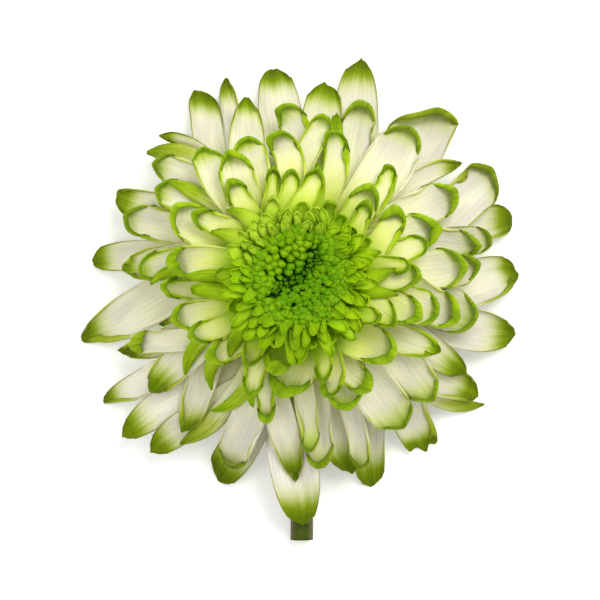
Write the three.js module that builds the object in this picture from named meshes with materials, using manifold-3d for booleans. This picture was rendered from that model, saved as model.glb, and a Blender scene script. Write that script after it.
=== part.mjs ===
// A disbud chrysanthemum bloom with a short cut stem, laid down face up.
// Millimetres, +Z up. The origin is the middle of the footprint, on the surface that the flower lies on.
// The stem lies along the surface towards -Y, bends up at the neck and carries the bracts (involucre),
// the receptacle, the ray florets and the young florets of the eye.
import * as THREE from "three";
import { mergeVertices } from "three/addons/utils/BufferGeometryUtils.js";
import Module from "manifold-3d";

// ---- driving dimensions ----
const FOOTPRINT_SHIFT = [0.2105, -0.2992, 0.0154]; // moves the bloom so that the origin is the middle of its box
const AXIS_X = -0.28; // flower axis, where the florets meet
const AXIS_Y = 6.34;
const FLORET_THICKNESS = 0.6;
const CLEARANCE = 0.34; // between pieces that lie against each other
const STEM_RADIUS = 3.12;
const STEM_RIBS = 8;
const STEM_RIB_DEPTH = 0.16;
const STEM_END_Y = -66.8;
const STEM_X = 0.44;
const NECK_TOP_Z = 12.6;
const ROUND_SEGMENTS = 20;
const INNER_WIDTH = 0.85; // the inner florets' solids are a little narrower than the florets
// outer surface of the cup of bracts, from its underside to its rim and back to the axis: radius, height
const INVOLUCRE_PROFILE = [
  [0, 12.9], [3.4, 12.9], [7.5, 13.5], [11.2, 15.0], [13.0, 16.2], [12.6, 16.65], [10.5, 15.85], [0, 15.4],
];
const RECEPTACLE_PROFILE = [
  [0, 15.8], [9.8, 16.3], [11.1, 17.4], [10.6, 26.0], [10.2, 26.3], [9.15, 27.2], [7.85, 28.6], [6.55, 30.0], [5.25, 31.3], [0, 31.4],
];
// the eye: a stalk that opens into a cushion with a slightly sunken middle
const EYE_PROFILE = [
  [0, 31.75], [4.1, 31.75], [4.2, 34.6], [6.0, 38.1], [9.0, 40.7], [13.0, 42.7], [15.6, 43.5], [15.9, 44.3], [14.0, 45.6], [10.0, 45.9], [5.0, 44.8], [0, 44.0],
];
// the bands that carry the inner florets: middle radius and height
const INNER_BANDS = [
  [9.6, 28.2], [8.3, 29.6], [7.0, 31.0], [5.7, 32.3],
];
const BAND_HALF = [0.45, 0.58];

// One row a floret: node, the four points of its midrib (x, y, z each), then arc width, half-angle of the cup at
// mid length and at the tip, roll of the left and the right edge, curl of the tip (degrees), radius of that curl,
// straight length after it, place of the widest point, the two powers of the tip's outline, width share at the base.
const FLORETS = [
  ["outer_floret_01", -3.76, -5.14, 17.5, -9.1, -22.72, 22.08, -0.81, -41.77, 17.16, 0.65, -60.08, 8.2, 13.1, 20, 32, 6, 6, 20, 3.2, 1.2, 0.73, 1.9, 0.72, 0.15],
  ["outer_floret_02", -7.05, -3.56, 17.5, -16.72, -17.69, 21.77, -33.55, -25.25, 16.55, -46.78, -36.11, 8.2, 10.14, 20, 32, 50, 6, 32, 3.2, 1.2, 0.71, 1.9, 0.72, 0.19],
  ["outer_floret_03", -10.12, -0.51, 17.5, -23.98, -10.17, 28.71, -37.15, -21.78, 16.13, -53, -27.63, 1.31, 8.36, 20, 32, 100, 6, 22, 3.2, 1.2, 0.77, 1.5, 0.72, 0.23],
  ["outer_floret_04", -2.35, -5.35, 19.2, -5.3, -22.01, 25.69, -25.87, -29.19, 19.45, -38.81, -40.08, 8.2, 8.94, 20, 32, 45, 6, 45, 3.2, 1.2, 0.78, 1.9, 0.72, 0.21],
  ["outer_floret_05", -12.15, 8.1, 17.5, -28.52, 10.52, 21.63, -43.05, -4.07, 9.02, -58.46, -10.11, 0.63, 14.3, 20, 32, 50, 40, 32, 3.2, 1.2, 0.66, 1.9, 0.72, 0.13],
  ["outer_floret_06", 8.36, 14.5, 19.2, 20.6, 26.05, 23.4, 14.23, 47.77, 9.16, 16.62, 64.43, 0.63, 11.93, 20, 32, 6, 45, 32, 3.2, 1.2, 0.72, 1.9, 0.72, 0.16],
  ["rolled_floret_01", 8.83, -1.29, 19.2, 21.62, -12.02, 23.36, 33.97, -31.29, 8.94, 50.54, -29.23, 0.44, 6.29, 80, 90, 12, 12, 44, 1.3, 0.48, 0.78, 1.9, 0.8, 0.3],
  ["outer_floret_07", 11.04, 2.72, 19.2, 26.28, -2.17, 23.19, 41.65, -9.2, 8.76, 57.66, -9.21, 0.65, 12.81, 20, 32, 50, 60, 27, 3.2, 1.2, 0.74, 1.9, 0.72, 0.15],
  ["outer_floret_08", 10.08, 12.17, 19.2, 23.94, 19.98, 23.17, 41.32, 18.78, 8.75, 56.88, 22.07, 0.65, 10.7, 20, 32, 6, 80, 27, 3.2, 1.2, 0.76, 1.9, 0.72, 0.18],
  ["outer_floret_09", 8.87, -1.05, 20.9, 21.55, -11.32, 24.97, 17.44, -32.71, 8.94, 19.91, -48.84, 0.64, 9.48, 20, 32, 40, 6, 36, 3.2, 1.2, 0.73, 1.9, 0.72, 0.2],
  ["outer_floret_10", -3.94, -4.83, 20.9, -8.72, -19.4, 31.72, -11.37, -35.76, 12.68, -21.11, -47.62, 0.94, 11.41, 20, 32, 50, 6, 58, 3.2, 1.2, 0.72, 1.9, 0.72, 0.17],
  ["outer_floret_11", 10.13, 0.37, 17.5, 24.14, -7.67, 28.53, 42.48, 3.68, 9.03, 58.28, 6.99, 0.67, 14.54, 20, 32, 45, 85, 27, 3.2, 1.2, 0.76, 1.9, 0.72, 0.13],
  ["outer_floret_12", 7.27, 15.37, 20.9, 16.94, 26.95, 27.2, 32.54, 38.6, 6.7, 39.05, 47.86, 0.67, 15.48, 20, 32, 110, 40, 54, 3.2, 1.2, 0.72, 1.9, 0.72, 0.13],
  ["outer_floret_13", 11.55, 7.5, 19.2, 26.92, 8.99, 26.2, 42.41, 24.7, 6.94, 50.44, 33.04, 0.68, 13.89, 20, 32, 110, 60, 40, 3.2, 1.2, 0.74, 2.4, 0.72, 0.14],
  ["outer_floret_14", 7.59, -2.72, 17.5, 17.5, -14.14, 28.27, 29.88, -24.75, 11.84, 35.26, -38.88, 0.98, 11.9, 20, 32, 140, 6, 32, 3.2, 1.2, 0.74, 2.8, 0.72, 0.16],
  ["outer_floret_15", 5.92, -3.65, 20.9, 14.04, -16.73, 31.8, 33.04, -17.98, 13.98, 46.64, -25.18, 6.09, 10.95, 20, 32, 6, 60, 36, 3.2, 1.2, 0.75, 1.9, 0.72, 0.17],
  ["outer_floret_16", -4.81, 17.2, 20.9, -10.58, 31, 24.85, -18.64, 44.76, 7.73, -20.36, 59.63, 0.61, 6.29, 20, 32, 6, 6, 27, 3.2, 1.2, 0.77, 1.9, 0.72, 0.3],
  ["outer_floret_17", -10.32, 12.47, 20.9, -23.37, 20.43, 24.97, -25.19, 44.15, 6.26, -27.28, 55.43, 0.63, 8.86, 20, 32, 6, 6, 45, 3.2, 1.2, 0.73, 3, 0.72, 0.21],
  ["outer_floret_18", -0.98, 18.08, 20.9, -1.86, 32.76, 24.97, -4.94, 47.57, 7.43, -6.9, 62.14, 0.59, 11.71, 20, 32, 6, 6, 27, 3.2, 1.2, 0.67, 1.9, 0.72, 0.16],
  ["outer_floret_19", -11.92, 8.03, 20.9, -26.29, 10.1, 25.14, -41.46, 14.18, 7.18, -55.7, 11.36, 0.62, 8.28, 20, 32, 6, 6, 22, 3.2, 1.2, 0.73, 1.9, 0.72, 0.23],
  ["rolled_floret_02", -6.09, -3.74, 22.6, -13.44, -16.49, 28.46, -18.77, -32.51, 19.72, -31.92, -39.12, 12.36, 7.48, 60, 70, 12, 120, 44, 1.6, 0.8, 0.76, 1.9, 0.8, 0.25],
  ["cupped_floret_01", -6.47, -3.65, 20.9, -14.28, -16.24, 32.43, -3.57, -32.82, 18.58, -1.48, -47.49, 12.91, 9.3, 40, 62, 12, 12, 44, 1.9, 1.4, 0.72, 1.7, 0.6, 0.2],
  ["outer_floret_20", 1.89, -5.21, 20.9, 4.44, -18.78, 25.12, 9.56, -31.72, 11.79, 13.4, -44.98, 6.92, 12.97, 20, 32, 6, 40, 50, 3.2, 1.2, 0.67, 1.9, 0.72, 0.15],
  ["outer_floret_21", -6.99, 15.86, 22.6, -15.24, 27.55, 27.01, -38.6, 22.99, 10.78, -48.31, 27.58, 7.03, 9.12, 20, 32, 6, 6, 68, 3.2, 1.2, 0.75, 2.8, 0.72, 0.21],
  ["cupped_floret_02", 3.86, -4.53, 22.6, 8.87, -17.68, 28.46, 17.09, -30.56, 11.98, 16.69, -44.62, 9.31, 6.8, 40, 62, 70, 12, 66, 1.9, 1.4, 0.77, 2.3, 0.6, 0.28],
  ["cupped_floret_03", -3.9, -4.59, 24.3, -8.26, -17.77, 35.73, -13.72, -30.55, 21.2, -18.64, -43.53, 7.6, 10.23, 40, 62, 12, 12, 66, 1.9, 1.4, 0.72, 2.3, 0.6, 0.19],
  ["rolled_floret_03", 8.62, 13.85, 22.6, 19.29, 22.84, 28.61, 29.4, 34.92, 12.66, 43.1, 37.55, 8.34, 7.2, 70, 80, 12, 12, 55, 1.6, 0.8, 0.74, 1.9, 0.8, 0.26],
  ["outer_floret_22", -7.58, 15.26, 24.3, -16.33, 25.94, 28.93, -23.24, 41.03, 12.67, -36.48, 44.94, 8.43, 5.69, 20, 32, 90, 6, 27, 3.2, 1.2, 0.77, 1.9, 0.72, 0.33],
  ["rolled_floret_04", -8.31, 14.93, 20.9, -17.91, 25.17, 32.68, -27.53, 41.93, 12.88, -41.52, 40.83, 8.68, 5.59, 60, 70, 12, 12, 66, 1.3, 0.48, 0.75, 1.9, 0.8, 0.34],
  ["cupped_floret_04", 11.08, 8.92, 22.6, 24.14, 11.88, 27.27, 37.27, 16.66, 13.27, 50.65, 15.93, 9.25, 9.37, 40, 62, 12, 60, 88, 1.9, 1.4, 0.73, 2.3, 0.6, 0.2],
  ["cupped_floret_05", -10.81, 1.4, 22.6, -22.87, -4.26, 34.28, -34.56, -12.15, 13, -47.78, -13.76, 9.22, 8.35, 40, 62, 12, 12, 66, 1.9, 1.4, 0.75, 2.3, 0.6, 0.23],
  ["outer_floret_23", 2.85, 17.56, 22.6, 6.4, 30.27, 27.28, 5.53, 43.82, 13.06, 6.88, 56.95, 9.38, 11.68, 20, 32, 6, 70, 36, 3.2, 1.2, 0.71, 1.9, 0.72, 0.16],
  ["cupped_floret_06", -10.93, 1.97, 24.3, -23.9, -3.34, 35.91, -25.36, -21.75, 13.3, -31.31, -34.43, 15.4, 9.28, 40, 62, 12, 12, 44, 1.9, 1.4, 0.77, 2.3, 0.6, 0.2],
  ["cupped_floret_07", 1.95, -4.96, 24.3, 4.54, -18.08, 29.09, 4.34, -31.28, 14.14, 5.55, -44.6, 15.55, 8.04, 40, 62, 12, 12, 116, 1.9, 1.4, 0.74, 2.3, 0.6, 0.24],
  ["outer_floret_24", 10.61, 2.22, 22.6, 22.85, -2.42, 27.44, 32.56, -11.92, 17.65, 43.58, -18.99, 11.47, 8.22, 20, 32, 40, 6, 27, 3.2, 1.2, 0.75, 1.9, 0.72, 0.23],
  ["cupped_floret_08", 6.73, 15.49, 24.3, 14.57, 25.72, 31.9, 13.89, 40.26, 14.09, 17.48, 52.64, 11.17, 10.69, 40, 62, 12, 60, 83, 1.9, 1.4, 0.7, 2, 0.6, 0.18],
  ["cupped_floret_09", -9.59, -0.23, 26, -19.96, -7.54, 38, -31.8, -13.39, 18.87, -39.31, -23.62, 15.97, 10.49, 40, 62, 12, 12, 55, 1.9, 1.4, 0.75, 2.3, 0.6, 0.18],
  ["outer_floret_25", -8.74, 13.98, 26, -18.52, 22.82, 34.02, -13.6, 39.94, 14.26, -14.65, 53.07, 11.34, 9.65, 20, 32, 6, 6, 40, 3.2, 1.2, 0.72, 1.9, 0.72, 0.2],
  ["cupped_floret_10", -10.43, 11.78, 24.3, -21.48, 17.69, 29.34, -34.47, 18.85, 14.36, -46.48, 22.4, 11.71, 11.13, 40, 62, 100, 12, 66, 1.9, 1.4, 0.72, 2.3, 0.6, 0.17],
  ["cupped_floret_11", 7.14, 15.01, 26, 15.34, 24.59, 37.6, 25.07, 34.05, 14.46, 28.55, 46.17, 12.21, 15.35, 40, 62, 12, 60, 94, 1.9, 1.4, 0.67, 2.3, 0.6, 0.13],
  ["cupped_floret_12", 10.38, 1.96, 24.3, 21.99, -2.82, 31.75, 26.9, -16.65, 16.94, 35.27, -26.01, 16.85, 12.68, 40, 62, 60, 12, 77, 1.9, 1.4, 0.7, 2.3, 0.6, 0.15],
  ["cupped_floret_13", 8.42, 13.9, 24.3, 18.29, 22.48, 36.56, 34.52, 15.27, 14.91, 47.6, 14.93, 13.43, 8.28, 36, 56, 12, 16, 121, 1.9, 1.4, 0.71, 2.3, 0.6, 0.22],
  ["cupped_floret_14", 5.5, -3.62, 24.3, 11.61, -14.16, 36.43, 19.89, -23.27, 16.95, 27.07, -33.1, 12.83, 14.01, 40, 62, 60, 12, 66, 1.9, 1.4, 0.73, 2.3, 0.6, 0.14],
  ["cupped_floret_15", 10.98, 4.52, 26, 23.16, 2.55, 31.21, 34.92, -1.44, 14.94, 46.89, -4.42, 12.67, 13.65, 40, 62, 12, 80, 110, 1.9, 1.4, 0.75, 2.3, 0.6, 0.14],
  ["cupped_floret_16", -8.77, 14.12, 24.3, -17.86, 22.45, 36.58, -25.69, 35.7, 18.91, -37.97, 36.71, 13.83, 8.63, 40, 62, 12, 12, 110, 1.9, 1.4, 0.76, 2.3, 0.6, 0.22],
  ["cupped_floret_17", 11.24, 6.49, 24.3, 23.39, 6.65, 36.57, 36.41, 4.4, 16.49, 47.43, 9.51, 15.66, 9.24, 40, 62, 12, 12, 99, 1.9, 1.4, 0.73, 2.3, 0.6, 0.21],
  ["cupped_floret_18", -0.32, -5.06, 26, -0.36, -16.86, 31.9, 1.74, -28.29, 17.63, 2.78, -40.05, 19.81, 6.16, 40, 62, 12, 12, 55, 1.9, 1.4, 0.72, 2.3, 0.6, 0.31],
  ["cupped_floret_19", -7.06, -2.82, 26, -14.57, -12.98, 38.64, -31.41, -9.65, 24.73, -43.83, -11.99, 13.81, 6.77, 40, 62, 12, 12, 99, 1.9, 1.4, 0.73, 2.3, 0.6, 0.28],
  ["cupped_floret_20", -10.46, 11.46, 26, -21.28, 16.9, 33.88, -34.62, 9.79, 15.85, -46.7, 8.98, 14.12, 9.85, 40, 62, 12, 12, 50, 1.9, 1.4, 0.76, 2.3, 0.6, 0.19],
  ["cupped_floret_21", 9.23, 12.64, 26, 19.1, 19.17, 38.37, 30.23, 23.54, 19.61, 40.74, 29, 14.15, 11.08, 40, 62, 12, 12, 132, 1.9, 1.4, 0.72, 2.3, 0.6, 0.17],
  ["inner_florets_1", 2.23, 15.61, 28.2, 5.22, 26.67, 34.01, 9.86, 37.65, 17.42, 9.88, 49.1, 16.56, 7.31, 40, 62, 12, 60, 55, 1.9, 1.4, 0.75, 1.5, 0.6, 0.26],
  ["inner_florets_1", 9.3, 7.08, 28.2, 20.84, 7.97, 39.78, 35.67, 6.51, 19.56, 43.77, 9.65, 20.01, 11.66, 40, 62, 12, 12, 132, 1.9, 1.4, 0.7, 2.3, 0.6, 0.16],
  ["inner_florets_1", -0.57, 15.94, 28.2, -0.94, 27.85, 34.28, 3.76, 48.48, 17.34, -4.67, 51.47, 16.69, 9.61, 48, 63, 12, 12, 143, 1.9, 1.6, 0.64, 2.1, 0.75, 0.2],
  ["inner_florets_1", -3.8, 15.27, 28.2, -8.17, 26.33, 41.21, 2.18, 37.99, 20.75, 6.51, 49.06, 23.02, 7.61, 40, 62, 12, 100, 77, 1.9, 1.4, 0.74, 2.3, 0.6, 0.25],
  ["inner_florets_1", -4.77, 14.83, 28.2, -10.28, 25.21, 41.37, -26.05, 24.81, 25.42, -36.82, 29.52, 17.52, 9.2, 40, 62, 12, 12, 77, 1.9, 1.4, 0.77, 2.3, 0.6, 0.21],
  ["inner_florets_1", -7.73, 12.39, 28.2, -16.62, 19.61, 41.26, -24.8, 28.27, 27.09, -35.53, 32.28, 20.9, 5.62, 62, 72, 12, 12, 77, 1.3, 0.48, 0.75, 1.9, 0.8, 0.34],
  ["inner_florets_1", 6.43, -0.52, 28.2, 14.14, -8.42, 34.25, 26.52, -8.96, 19.7, 36.7, -13.22, 24.34, 10.42, 40, 62, 110, 12, 55, 1.9, 1.4, 0.7, 1.8, 0.6, 0.18],
  ["inner_florets_1", 8.97, 8.92, 28.2, 19.99, 11.98, 41.54, 30.27, 0.58, 27.84, 40.69, -4.13, 18.63, 11.02, 40, 62, 12, 12, 116, 1.9, 1.4, 0.76, 2.3, 0.6, 0.17],
  ["inner_florets_1", -4.94, -2.04, 28.2, -10.38, -11.82, 41.44, -12.25, -27.9, 22.87, -23.23, -30.03, 21.87, 4.91, 62, 72, 12, 12, 55, 1.3, 0.48, 0.78, 1.9, 0.8, 0.39],
  ["inner_florets_1", -6.68, 13.49, 28.2, -13.79, 21.42, 41.19, -22.33, 28.86, 28.07, -25.72, 38.95, 21.89, 9.94, 40, 62, 60, 12, 55, 1.9, 1.4, 0.68, 2.3, 0.6, 0.19],
  ["inner_florets_1", -9.83, 7.29, 28.2, -20.6, 8.36, 34.62, -35.86, 12.69, 19.25, -42.28, 7.73, 19.23, 9.18, 40, 62, 12, 12, 110, 1.9, 1.4, 0.69, 2.3, 0.6, 0.21],
  ["inner_florets_1", -8.24, 0.99, 28.2, -16.78, -4.74, 41.58, -30.33, -9.22, 24.86, -31.23, -19.46, 23.1, 5.25, 62, 72, 12, 12, 50, 1.3, 0.48, 0.77, 1.9, 0.8, 0.36],
  ["inner_florets_1", -9.88, 6.4, 28.2, -20.01, 6.46, 38.08, -35.98, 11.19, 21.28, -40.2, 4.88, 22.42, 4.55, 62, 72, 12, 12, 77, 1.3, 0.48, 0.76, 1.9, 0.8, 0.42],
  ["inner_florets_1", 2.51, 15.53, 28.2, 5.42, 25.11, 35.16, 14.74, 41.44, 21.73, 8.07, 44.88, 25.21, 8.47, 48, 63, 80, 12, 132, 1.9, 1.6, 0.69, 2.1, 0.75, 0.22],
  ["inner_florets_1", -6.58, -0.89, 28.2, -13.16, -8.44, 41.69, -8.24, -20.75, 30.6, -9.09, -30.73, 24.96, 5.49, 40, 62, 12, 12, 77, 1.9, 1.4, 0.74, 2.3, 0.6, 0.35],
  ["inner_florets_1", -6.1, 13.97, 28.2, -11.92, 21.58, 41.42, -11.29, 32.41, 30.68, -13.89, 41.63, 22.52, 10.83, 40, 62, 12, 40, 66, 1.9, 1.4, 0.65, 2.3, 0.6, 0.18],
  ["inner_florets_1", 8.61, 9.97, 28.2, 17.43, 13.57, 41.41, 26.12, 18.46, 28.97, 35.61, 19.21, 23.11, 10.37, 40, 62, 12, 12, 138, 1.9, 1.4, 0.69, 2.3, 0.6, 0.18],
  ["inner_florets_1", -7.2, -0.31, 28.2, -14.14, -6.97, 41.66, -26.46, -14.23, 25.49, -24.26, -23.6, 23.34, 5.24, 62, 72, 12, 12, 55, 1.3, 0.48, 0.74, 1.9, 0.8, 0.36],
  ["inner_florets_1", 7.27, 0.42, 28.2, 15.03, -5.67, 40.72, 11.62, -18.77, 22.32, 13.08, -28.52, 25.08, 11.57, 40, 62, 12, 12, 116, 1.9, 1.4, 0.7, 2.3, 0.6, 0.16],
  ["inner_florets_1", -7.65, 12.5, 28.2, -14.87, 18.53, 41.58, -14.88, 29.57, 31.49, -18.56, 38.24, 29.4, 10.35, 40, 62, 12, 12, 105, 1.9, 1.4, 0.62, 2.3, 0.6, 0.18],
  ["inner_florets_1", -9.05, 10.23, 28.2, -17.42, 13.93, 41.43, -28.08, 18.77, 28.6, -32.79, 23.76, 26.53, 10.96, 40, 62, 12, 12, 121, 1.9, 1.4, 0.64, 2.3, 0.6, 0.17],
  ["inner_florets_1", -8.98, 2.29, 28.2, -17.32, -1.59, 34.51, -27.29, 3.06, 22.72, -36.49, 3.44, 25.82, 6.68, 40, 62, 70, 12, 55, 1.9, 1.4, 0.72, 2.3, 0.6, 0.28],
  ["inner_florets_2", -1.22, 14.59, 29.6, -2.32, 24.25, 40.93, 0.61, 41.05, 27.27, -6.32, 43.32, 24.02, 9.16, 48, 63, 12, 80, 143, 1.9, 1.6, 0.68, 2.1, 0.75, 0.21],
  ["inner_florets_2", 7.84, 4.58, 29.6, 17.06, 2.58, 42.65, 25.97, -0.35, 31.87, 35.07, -2.83, 26.18, 11.2, 40, 62, 12, 60, 116, 1.9, 1.4, 0.72, 2.3, 0.6, 0.17],
  ["inner_florets_2", 5.54, 12.27, 29.6, 12.39, 19.26, 39.79, 28.57, 29.53, 23.28, 23.91, 35.2, 24.28, 6.97, 48, 63, 12, 70, 132, 1.9, 1.6, 0.7, 2.1, 0.75, 0.27],
  ["inner_florets_2", -3.89, -1.13, 29.6, -8.05, -9.71, 43.3, -15.3, -18.84, 32.16, -13.02, -28.1, 28.41, 5.93, 62, 72, 12, 12, 55, 1.3, 0.48, 0.74, 1.9, 0.8, 0.32],
  ["inner_florets_2", 2.91, -1.32, 29.6, 6.4, -9.7, 41.65, 12.44, -20.91, 24.47, 18.82, -23.27, 29.46, 7.9, 40, 62, 12, 12, 132, 1.9, 1.4, 0.67, 2.3, 0.6, 0.24],
  ["inner_florets_2", -7.01, 1.49, 29.6, -14.03, -3.57, 43.23, -23.8, -2.7, 31.9, -32.19, -4.79, 26.85, 9.41, 40, 62, 12, 80, 121, 1.9, 1.4, 0.64, 2.3, 0.6, 0.2],
  ["inner_florets_2", 7.97, 7.28, 29.6, 16.39, 8.23, 42.85, 23.99, 12.37, 34.16, 32.07, 14.95, 30.31, 7.88, 40, 62, 12, 60, 77, 1.9, 1.4, 0.7, 2.3, 0.6, 0.24],
  ["inner_florets_2", -5.68, 0.04, 29.6, -11.17, -6.37, 43.24, -10.73, -15.88, 34.62, -13.29, -23.92, 33.34, 6.06, 40, 62, 12, 12, 88, 1.9, 1.4, 0.7, 2.3, 0.6, 0.31],
  ["inner_florets_2", -8.42, 7.95, 29.6, -16.49, 9.55, 43.11, -25.04, 12.17, 34.79, -33.01, 10.13, 27.78, 10.17, 40, 62, 12, 90, 99, 1.9, 1.4, 0.64, 2.3, 0.6, 0.19],
  ["inner_florets_2", 7.69, 4.02, 29.6, 15.52, 1.74, 43.1, 23.78, 0.46, 34.96, 30.58, -4.05, 33.4, 9.09, 40, 62, 12, 12, 143, 1.9, 1.4, 0.69, 2.3, 0.6, 0.21],
  ["inner_florets_2", 1.98, -1.64, 29.6, 4.27, -9.77, 43.54, 19.41, -10, 29.86, 23.69, -14.67, 28.77, 10.9, 40, 62, 12, 12, 154, 1.9, 1.4, 0.63, 2.3, 0.6, 0.17],
  ["inner_florets_2", -5.19, -0.34, 29.6, -10.01, -6.9, 43.32, -20.21, -6.22, 35.69, -27.79, -9.19, 33.28, 6.66, 40, 62, 12, 12, 127, 1.9, 1.4, 0.66, 2.3, 0.6, 0.29],
  ["inner_florets_2", 3.16, -1.21, 29.6, 6.62, -8.82, 43.51, -1.41, -17.26, 26.66, -4.14, -25.16, 30.43, 12.11, 40, 62, 12, 12, 143, 1.9, 1.4, 0.64, 2.3, 0.6, 0.16],
  ["inner_florets_2", -5.96, 0.3, 29.6, -11.24, -5.33, 43.08, -15.78, -12.71, 36.16, -23.17, -14.94, 34.38, 7.26, 40, 62, 12, 12, 132, 1.9, 1.4, 0.68, 2.3, 0.6, 0.26],
  ["inner_florets_2", -6.41, 11.94, 29.6, -12.05, 17.08, 43.04, -19.81, 18.98, 36, -26.56, 22.55, 32.64, 6.66, 40, 62, 12, 12, 132, 1.9, 1.4, 0.67, 2.3, 0.6, 0.29],
  ["inner_florets_2", 8.02, 6.73, 29.6, 15.52, 7.08, 42.99, 22.86, 6.71, 36.5, 30.38, 6.72, 34.74, 9.07, 40, 62, 12, 12, 127, 1.9, 1.4, 0.69, 2.3, 0.6, 0.21],
  ["inner_florets_2", 8.02, 6.73, 29.6, 15.91, 7.1, 43.47, 24.75, 16.55, 37.44, 25.68, 22.41, 32.67, 8.2, 48, 63, 12, 12, 143, 1.9, 1.6, 0.69, 2.1, 0.75, 0.23],
  ["inner_florets_2", 1.56, 14.44, 29.6, 3.2, 21.64, 36.04, 5.71, 29.04, 30.2, 4.72, 36.36, 30.47, 4.85, 62, 72, 12, 12, 66, 1.3, 0.48, 0.7, 1.9, 0.8, 0.39],
  ["inner_florets_2", 2.69, -1.41, 29.6, 5.43, -8.57, 43.3, 13.03, -21.65, 31.58, 7.72, -23.86, 30.4, 7.54, 48, 63, 60, 12, 33, 1.9, 1.6, 0.66, 2.1, 0.75, 0.25],
  ["inner_florets_2", -8.58, 6.46, 29.6, -15.93, 6.55, 43.03, -23.11, 6.44, 37.16, -30.47, 6.45, 35.23, 4.5, 62, 72, 12, 12, 55, 1.3, 0.48, 0.74, 1.9, 0.8, 0.42],
  ["inner_florets_2", -6, 12.36, 29.6, -10.93, 17.55, 42.92, -13.87, 24.17, 37.38, -17.85, 30.13, 34.11, 6.65, 40, 62, 12, 12, 138, 1.9, 1.4, 0.62, 2.3, 0.6, 0.29],
  ["inner_florets_2", 6.38, 11.3, 29.6, 12.17, 15.61, 38.94, 14.74, 23.01, 33.01, 18.94, 28.89, 31.85, 9.06, 40, 62, 12, 12, 132, 1.9, 1.4, 0.62, 2.3, 0.6, 0.21],
  ["inner_florets_3", 6.66, 7.29, 31, 13.7, 8.26, 44.61, 20.7, 10.19, 37.96, 27.72, 9.05, 38.16, 5.43, 40, 62, 12, 12, 88, 1.9, 1.4, 0.7, 2.3, 0.6, 0.35],
  ["inner_florets_3", -5.29, 11.23, 31, -10.74, 16.54, 45.09, -7.26, 26.29, 37.42, -7.27, 33.9, 33.68, 4.52, 40, 62, 12, 12, 88, 1.3, 0.84, 0.71, 1.8, 0.6, 0.42],
  ["inner_florets_3", -6.24, 2.69, 31, -12.4, -1.09, 43.63, -20.49, 2.67, 35.51, -27.71, 2.68, 38.59, 5.73, 40, 62, 12, 12, 110, 1.9, 1.4, 0.66, 2.3, 0.6, 0.33],
  ["inner_florets_3", -5.17, 1.34, 31, -10.03, -3.64, 44.7, -17.46, -7.61, 38.19, -18.64, -14.47, 37.2, 4.83, 62, 72, 12, 12, 66, 1.3, 0.48, 0.78, 1.9, 0.8, 0.39],
  ["inner_florets_3", 6.69, 7.02, 31, 13.83, 7.71, 44.94, 18.6, -0.75, 38.48, 24.25, -5.16, 38.24, 7.23, 40, 62, 12, 12, 110, 1.9, 1.4, 0.7, 2.3, 0.6, 0.26],
  ["inner_florets_3", 1.95, -0.29, 31, 4.1, -6.7, 41.28, 7.92, -13.48, 37.86, 6.21, -20.01, 36.9, 5.42, 40, 62, 12, 12, 66, 1.9, 1.4, 0.69, 2.3, 0.6, 0.35],
  ["inner_florets_3", -3.38, 12.62, 31, -6.41, 18.76, 44.74, -2.77, 26.3, 39.89, -2.46, 33.14, 33.74, 5.12, 40, 62, 12, 12, 88, 1.3, 0.84, 0.67, 1.8, 0.6, 0.37],
  ["inner_florets_3", -2.46, 12.99, 31, -4.58, 19.43, 44.73, 1.81, 25.86, 40.1, 3.94, 32.29, 33.97, 6.02, 40, 62, 12, 12, 110, 1.9, 1.4, 0.64, 2.3, 0.6, 0.32],
  ["inner_florets_3", 6.5, 8.1, 31, 13.13, 9.81, 44.83, 14.28, 19.33, 34.31, 17.94, 25.11, 35.1, 5.42, 40, 62, 12, 12, 110, 1.9, 1.4, 0.64, 2.3, 0.6, 0.35],
  ["inner_florets_3", 1.37, -0.46, 31, 2.99, -7.17, 44.89, -4.62, -12.79, 32.49, -8.01, -18.82, 38.77, 7.83, 40, 62, 12, 12, 138, 1.9, 1.4, 0.68, 2.3, 0.6, 0.24],
  ["inner_florets_3", 6.58, 4.92, 31, 12.87, 3.62, 44.48, 19.05, 2.63, 40.61, 25.37, 1.49, 40.17, 4.83, 62, 72, 12, 12, 55, 1.3, 0.48, 0.66, 1.9, 0.8, 0.39],
  ["inner_florets_3", -6.22, 10.05, 31, -11.54, 13.37, 44.44, -16.86, 17.51, 37.82, -23.1, 18.15, 37.92, 5.51, 62, 72, 12, 12, 66, 1.3, 0.48, 0.68, 1.9, 0.8, 0.34],
  ["inner_florets_3", -4.1, 0.48, 31, -7.49, -4.71, 44.36, -10.43, -10.08, 40.58, -13.63, -15.39, 38.39, 6.32, 40, 62, 12, 12, 121, 1.9, 1.4, 0.67, 2.3, 0.6, 0.3],
  ["inner_florets_3", -4.67, 11.79, 31, -8.6, 16.66, 44.44, -12.52, 23.38, 40.63, -18.74, 24.03, 38.25, 5.17, 62, 72, 12, 12, 55, 1.3, 0.48, 0.69, 1.9, 0.8, 0.37],
  ["inner_florets_3", 5.92, 3.1, 31, 11.7, 0.07, 44.84, 18.55, 5.87, 41.43, 24.7, 8.04, 40.43, 5.17, 62, 72, 12, 12, 66, 1.3, 0.48, 0.72, 1.9, 0.8, 0.37],
  ["inner_florets_3", 5.61, 2.55, 31, 10.08, -0.34, 44.01, 14.51, -4.53, 41.44, 19.84, -4.54, 41.21, 5.4, 40, 62, 12, 12, 99, 1.9, 1.4, 0.67, 2.3, 0.6, 0.35],
  ["inner_florets_3", 3.33, 12.35, 31, 5.91, 16.65, 41.18, 6.85, 21.75, 30.51, 8.61, 26.45, 38.4, 4.79, 40, 62, 12, 12, 110, 1.3, 0.84, 0.67, 2.3, 0.6, 0.4],
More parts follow.
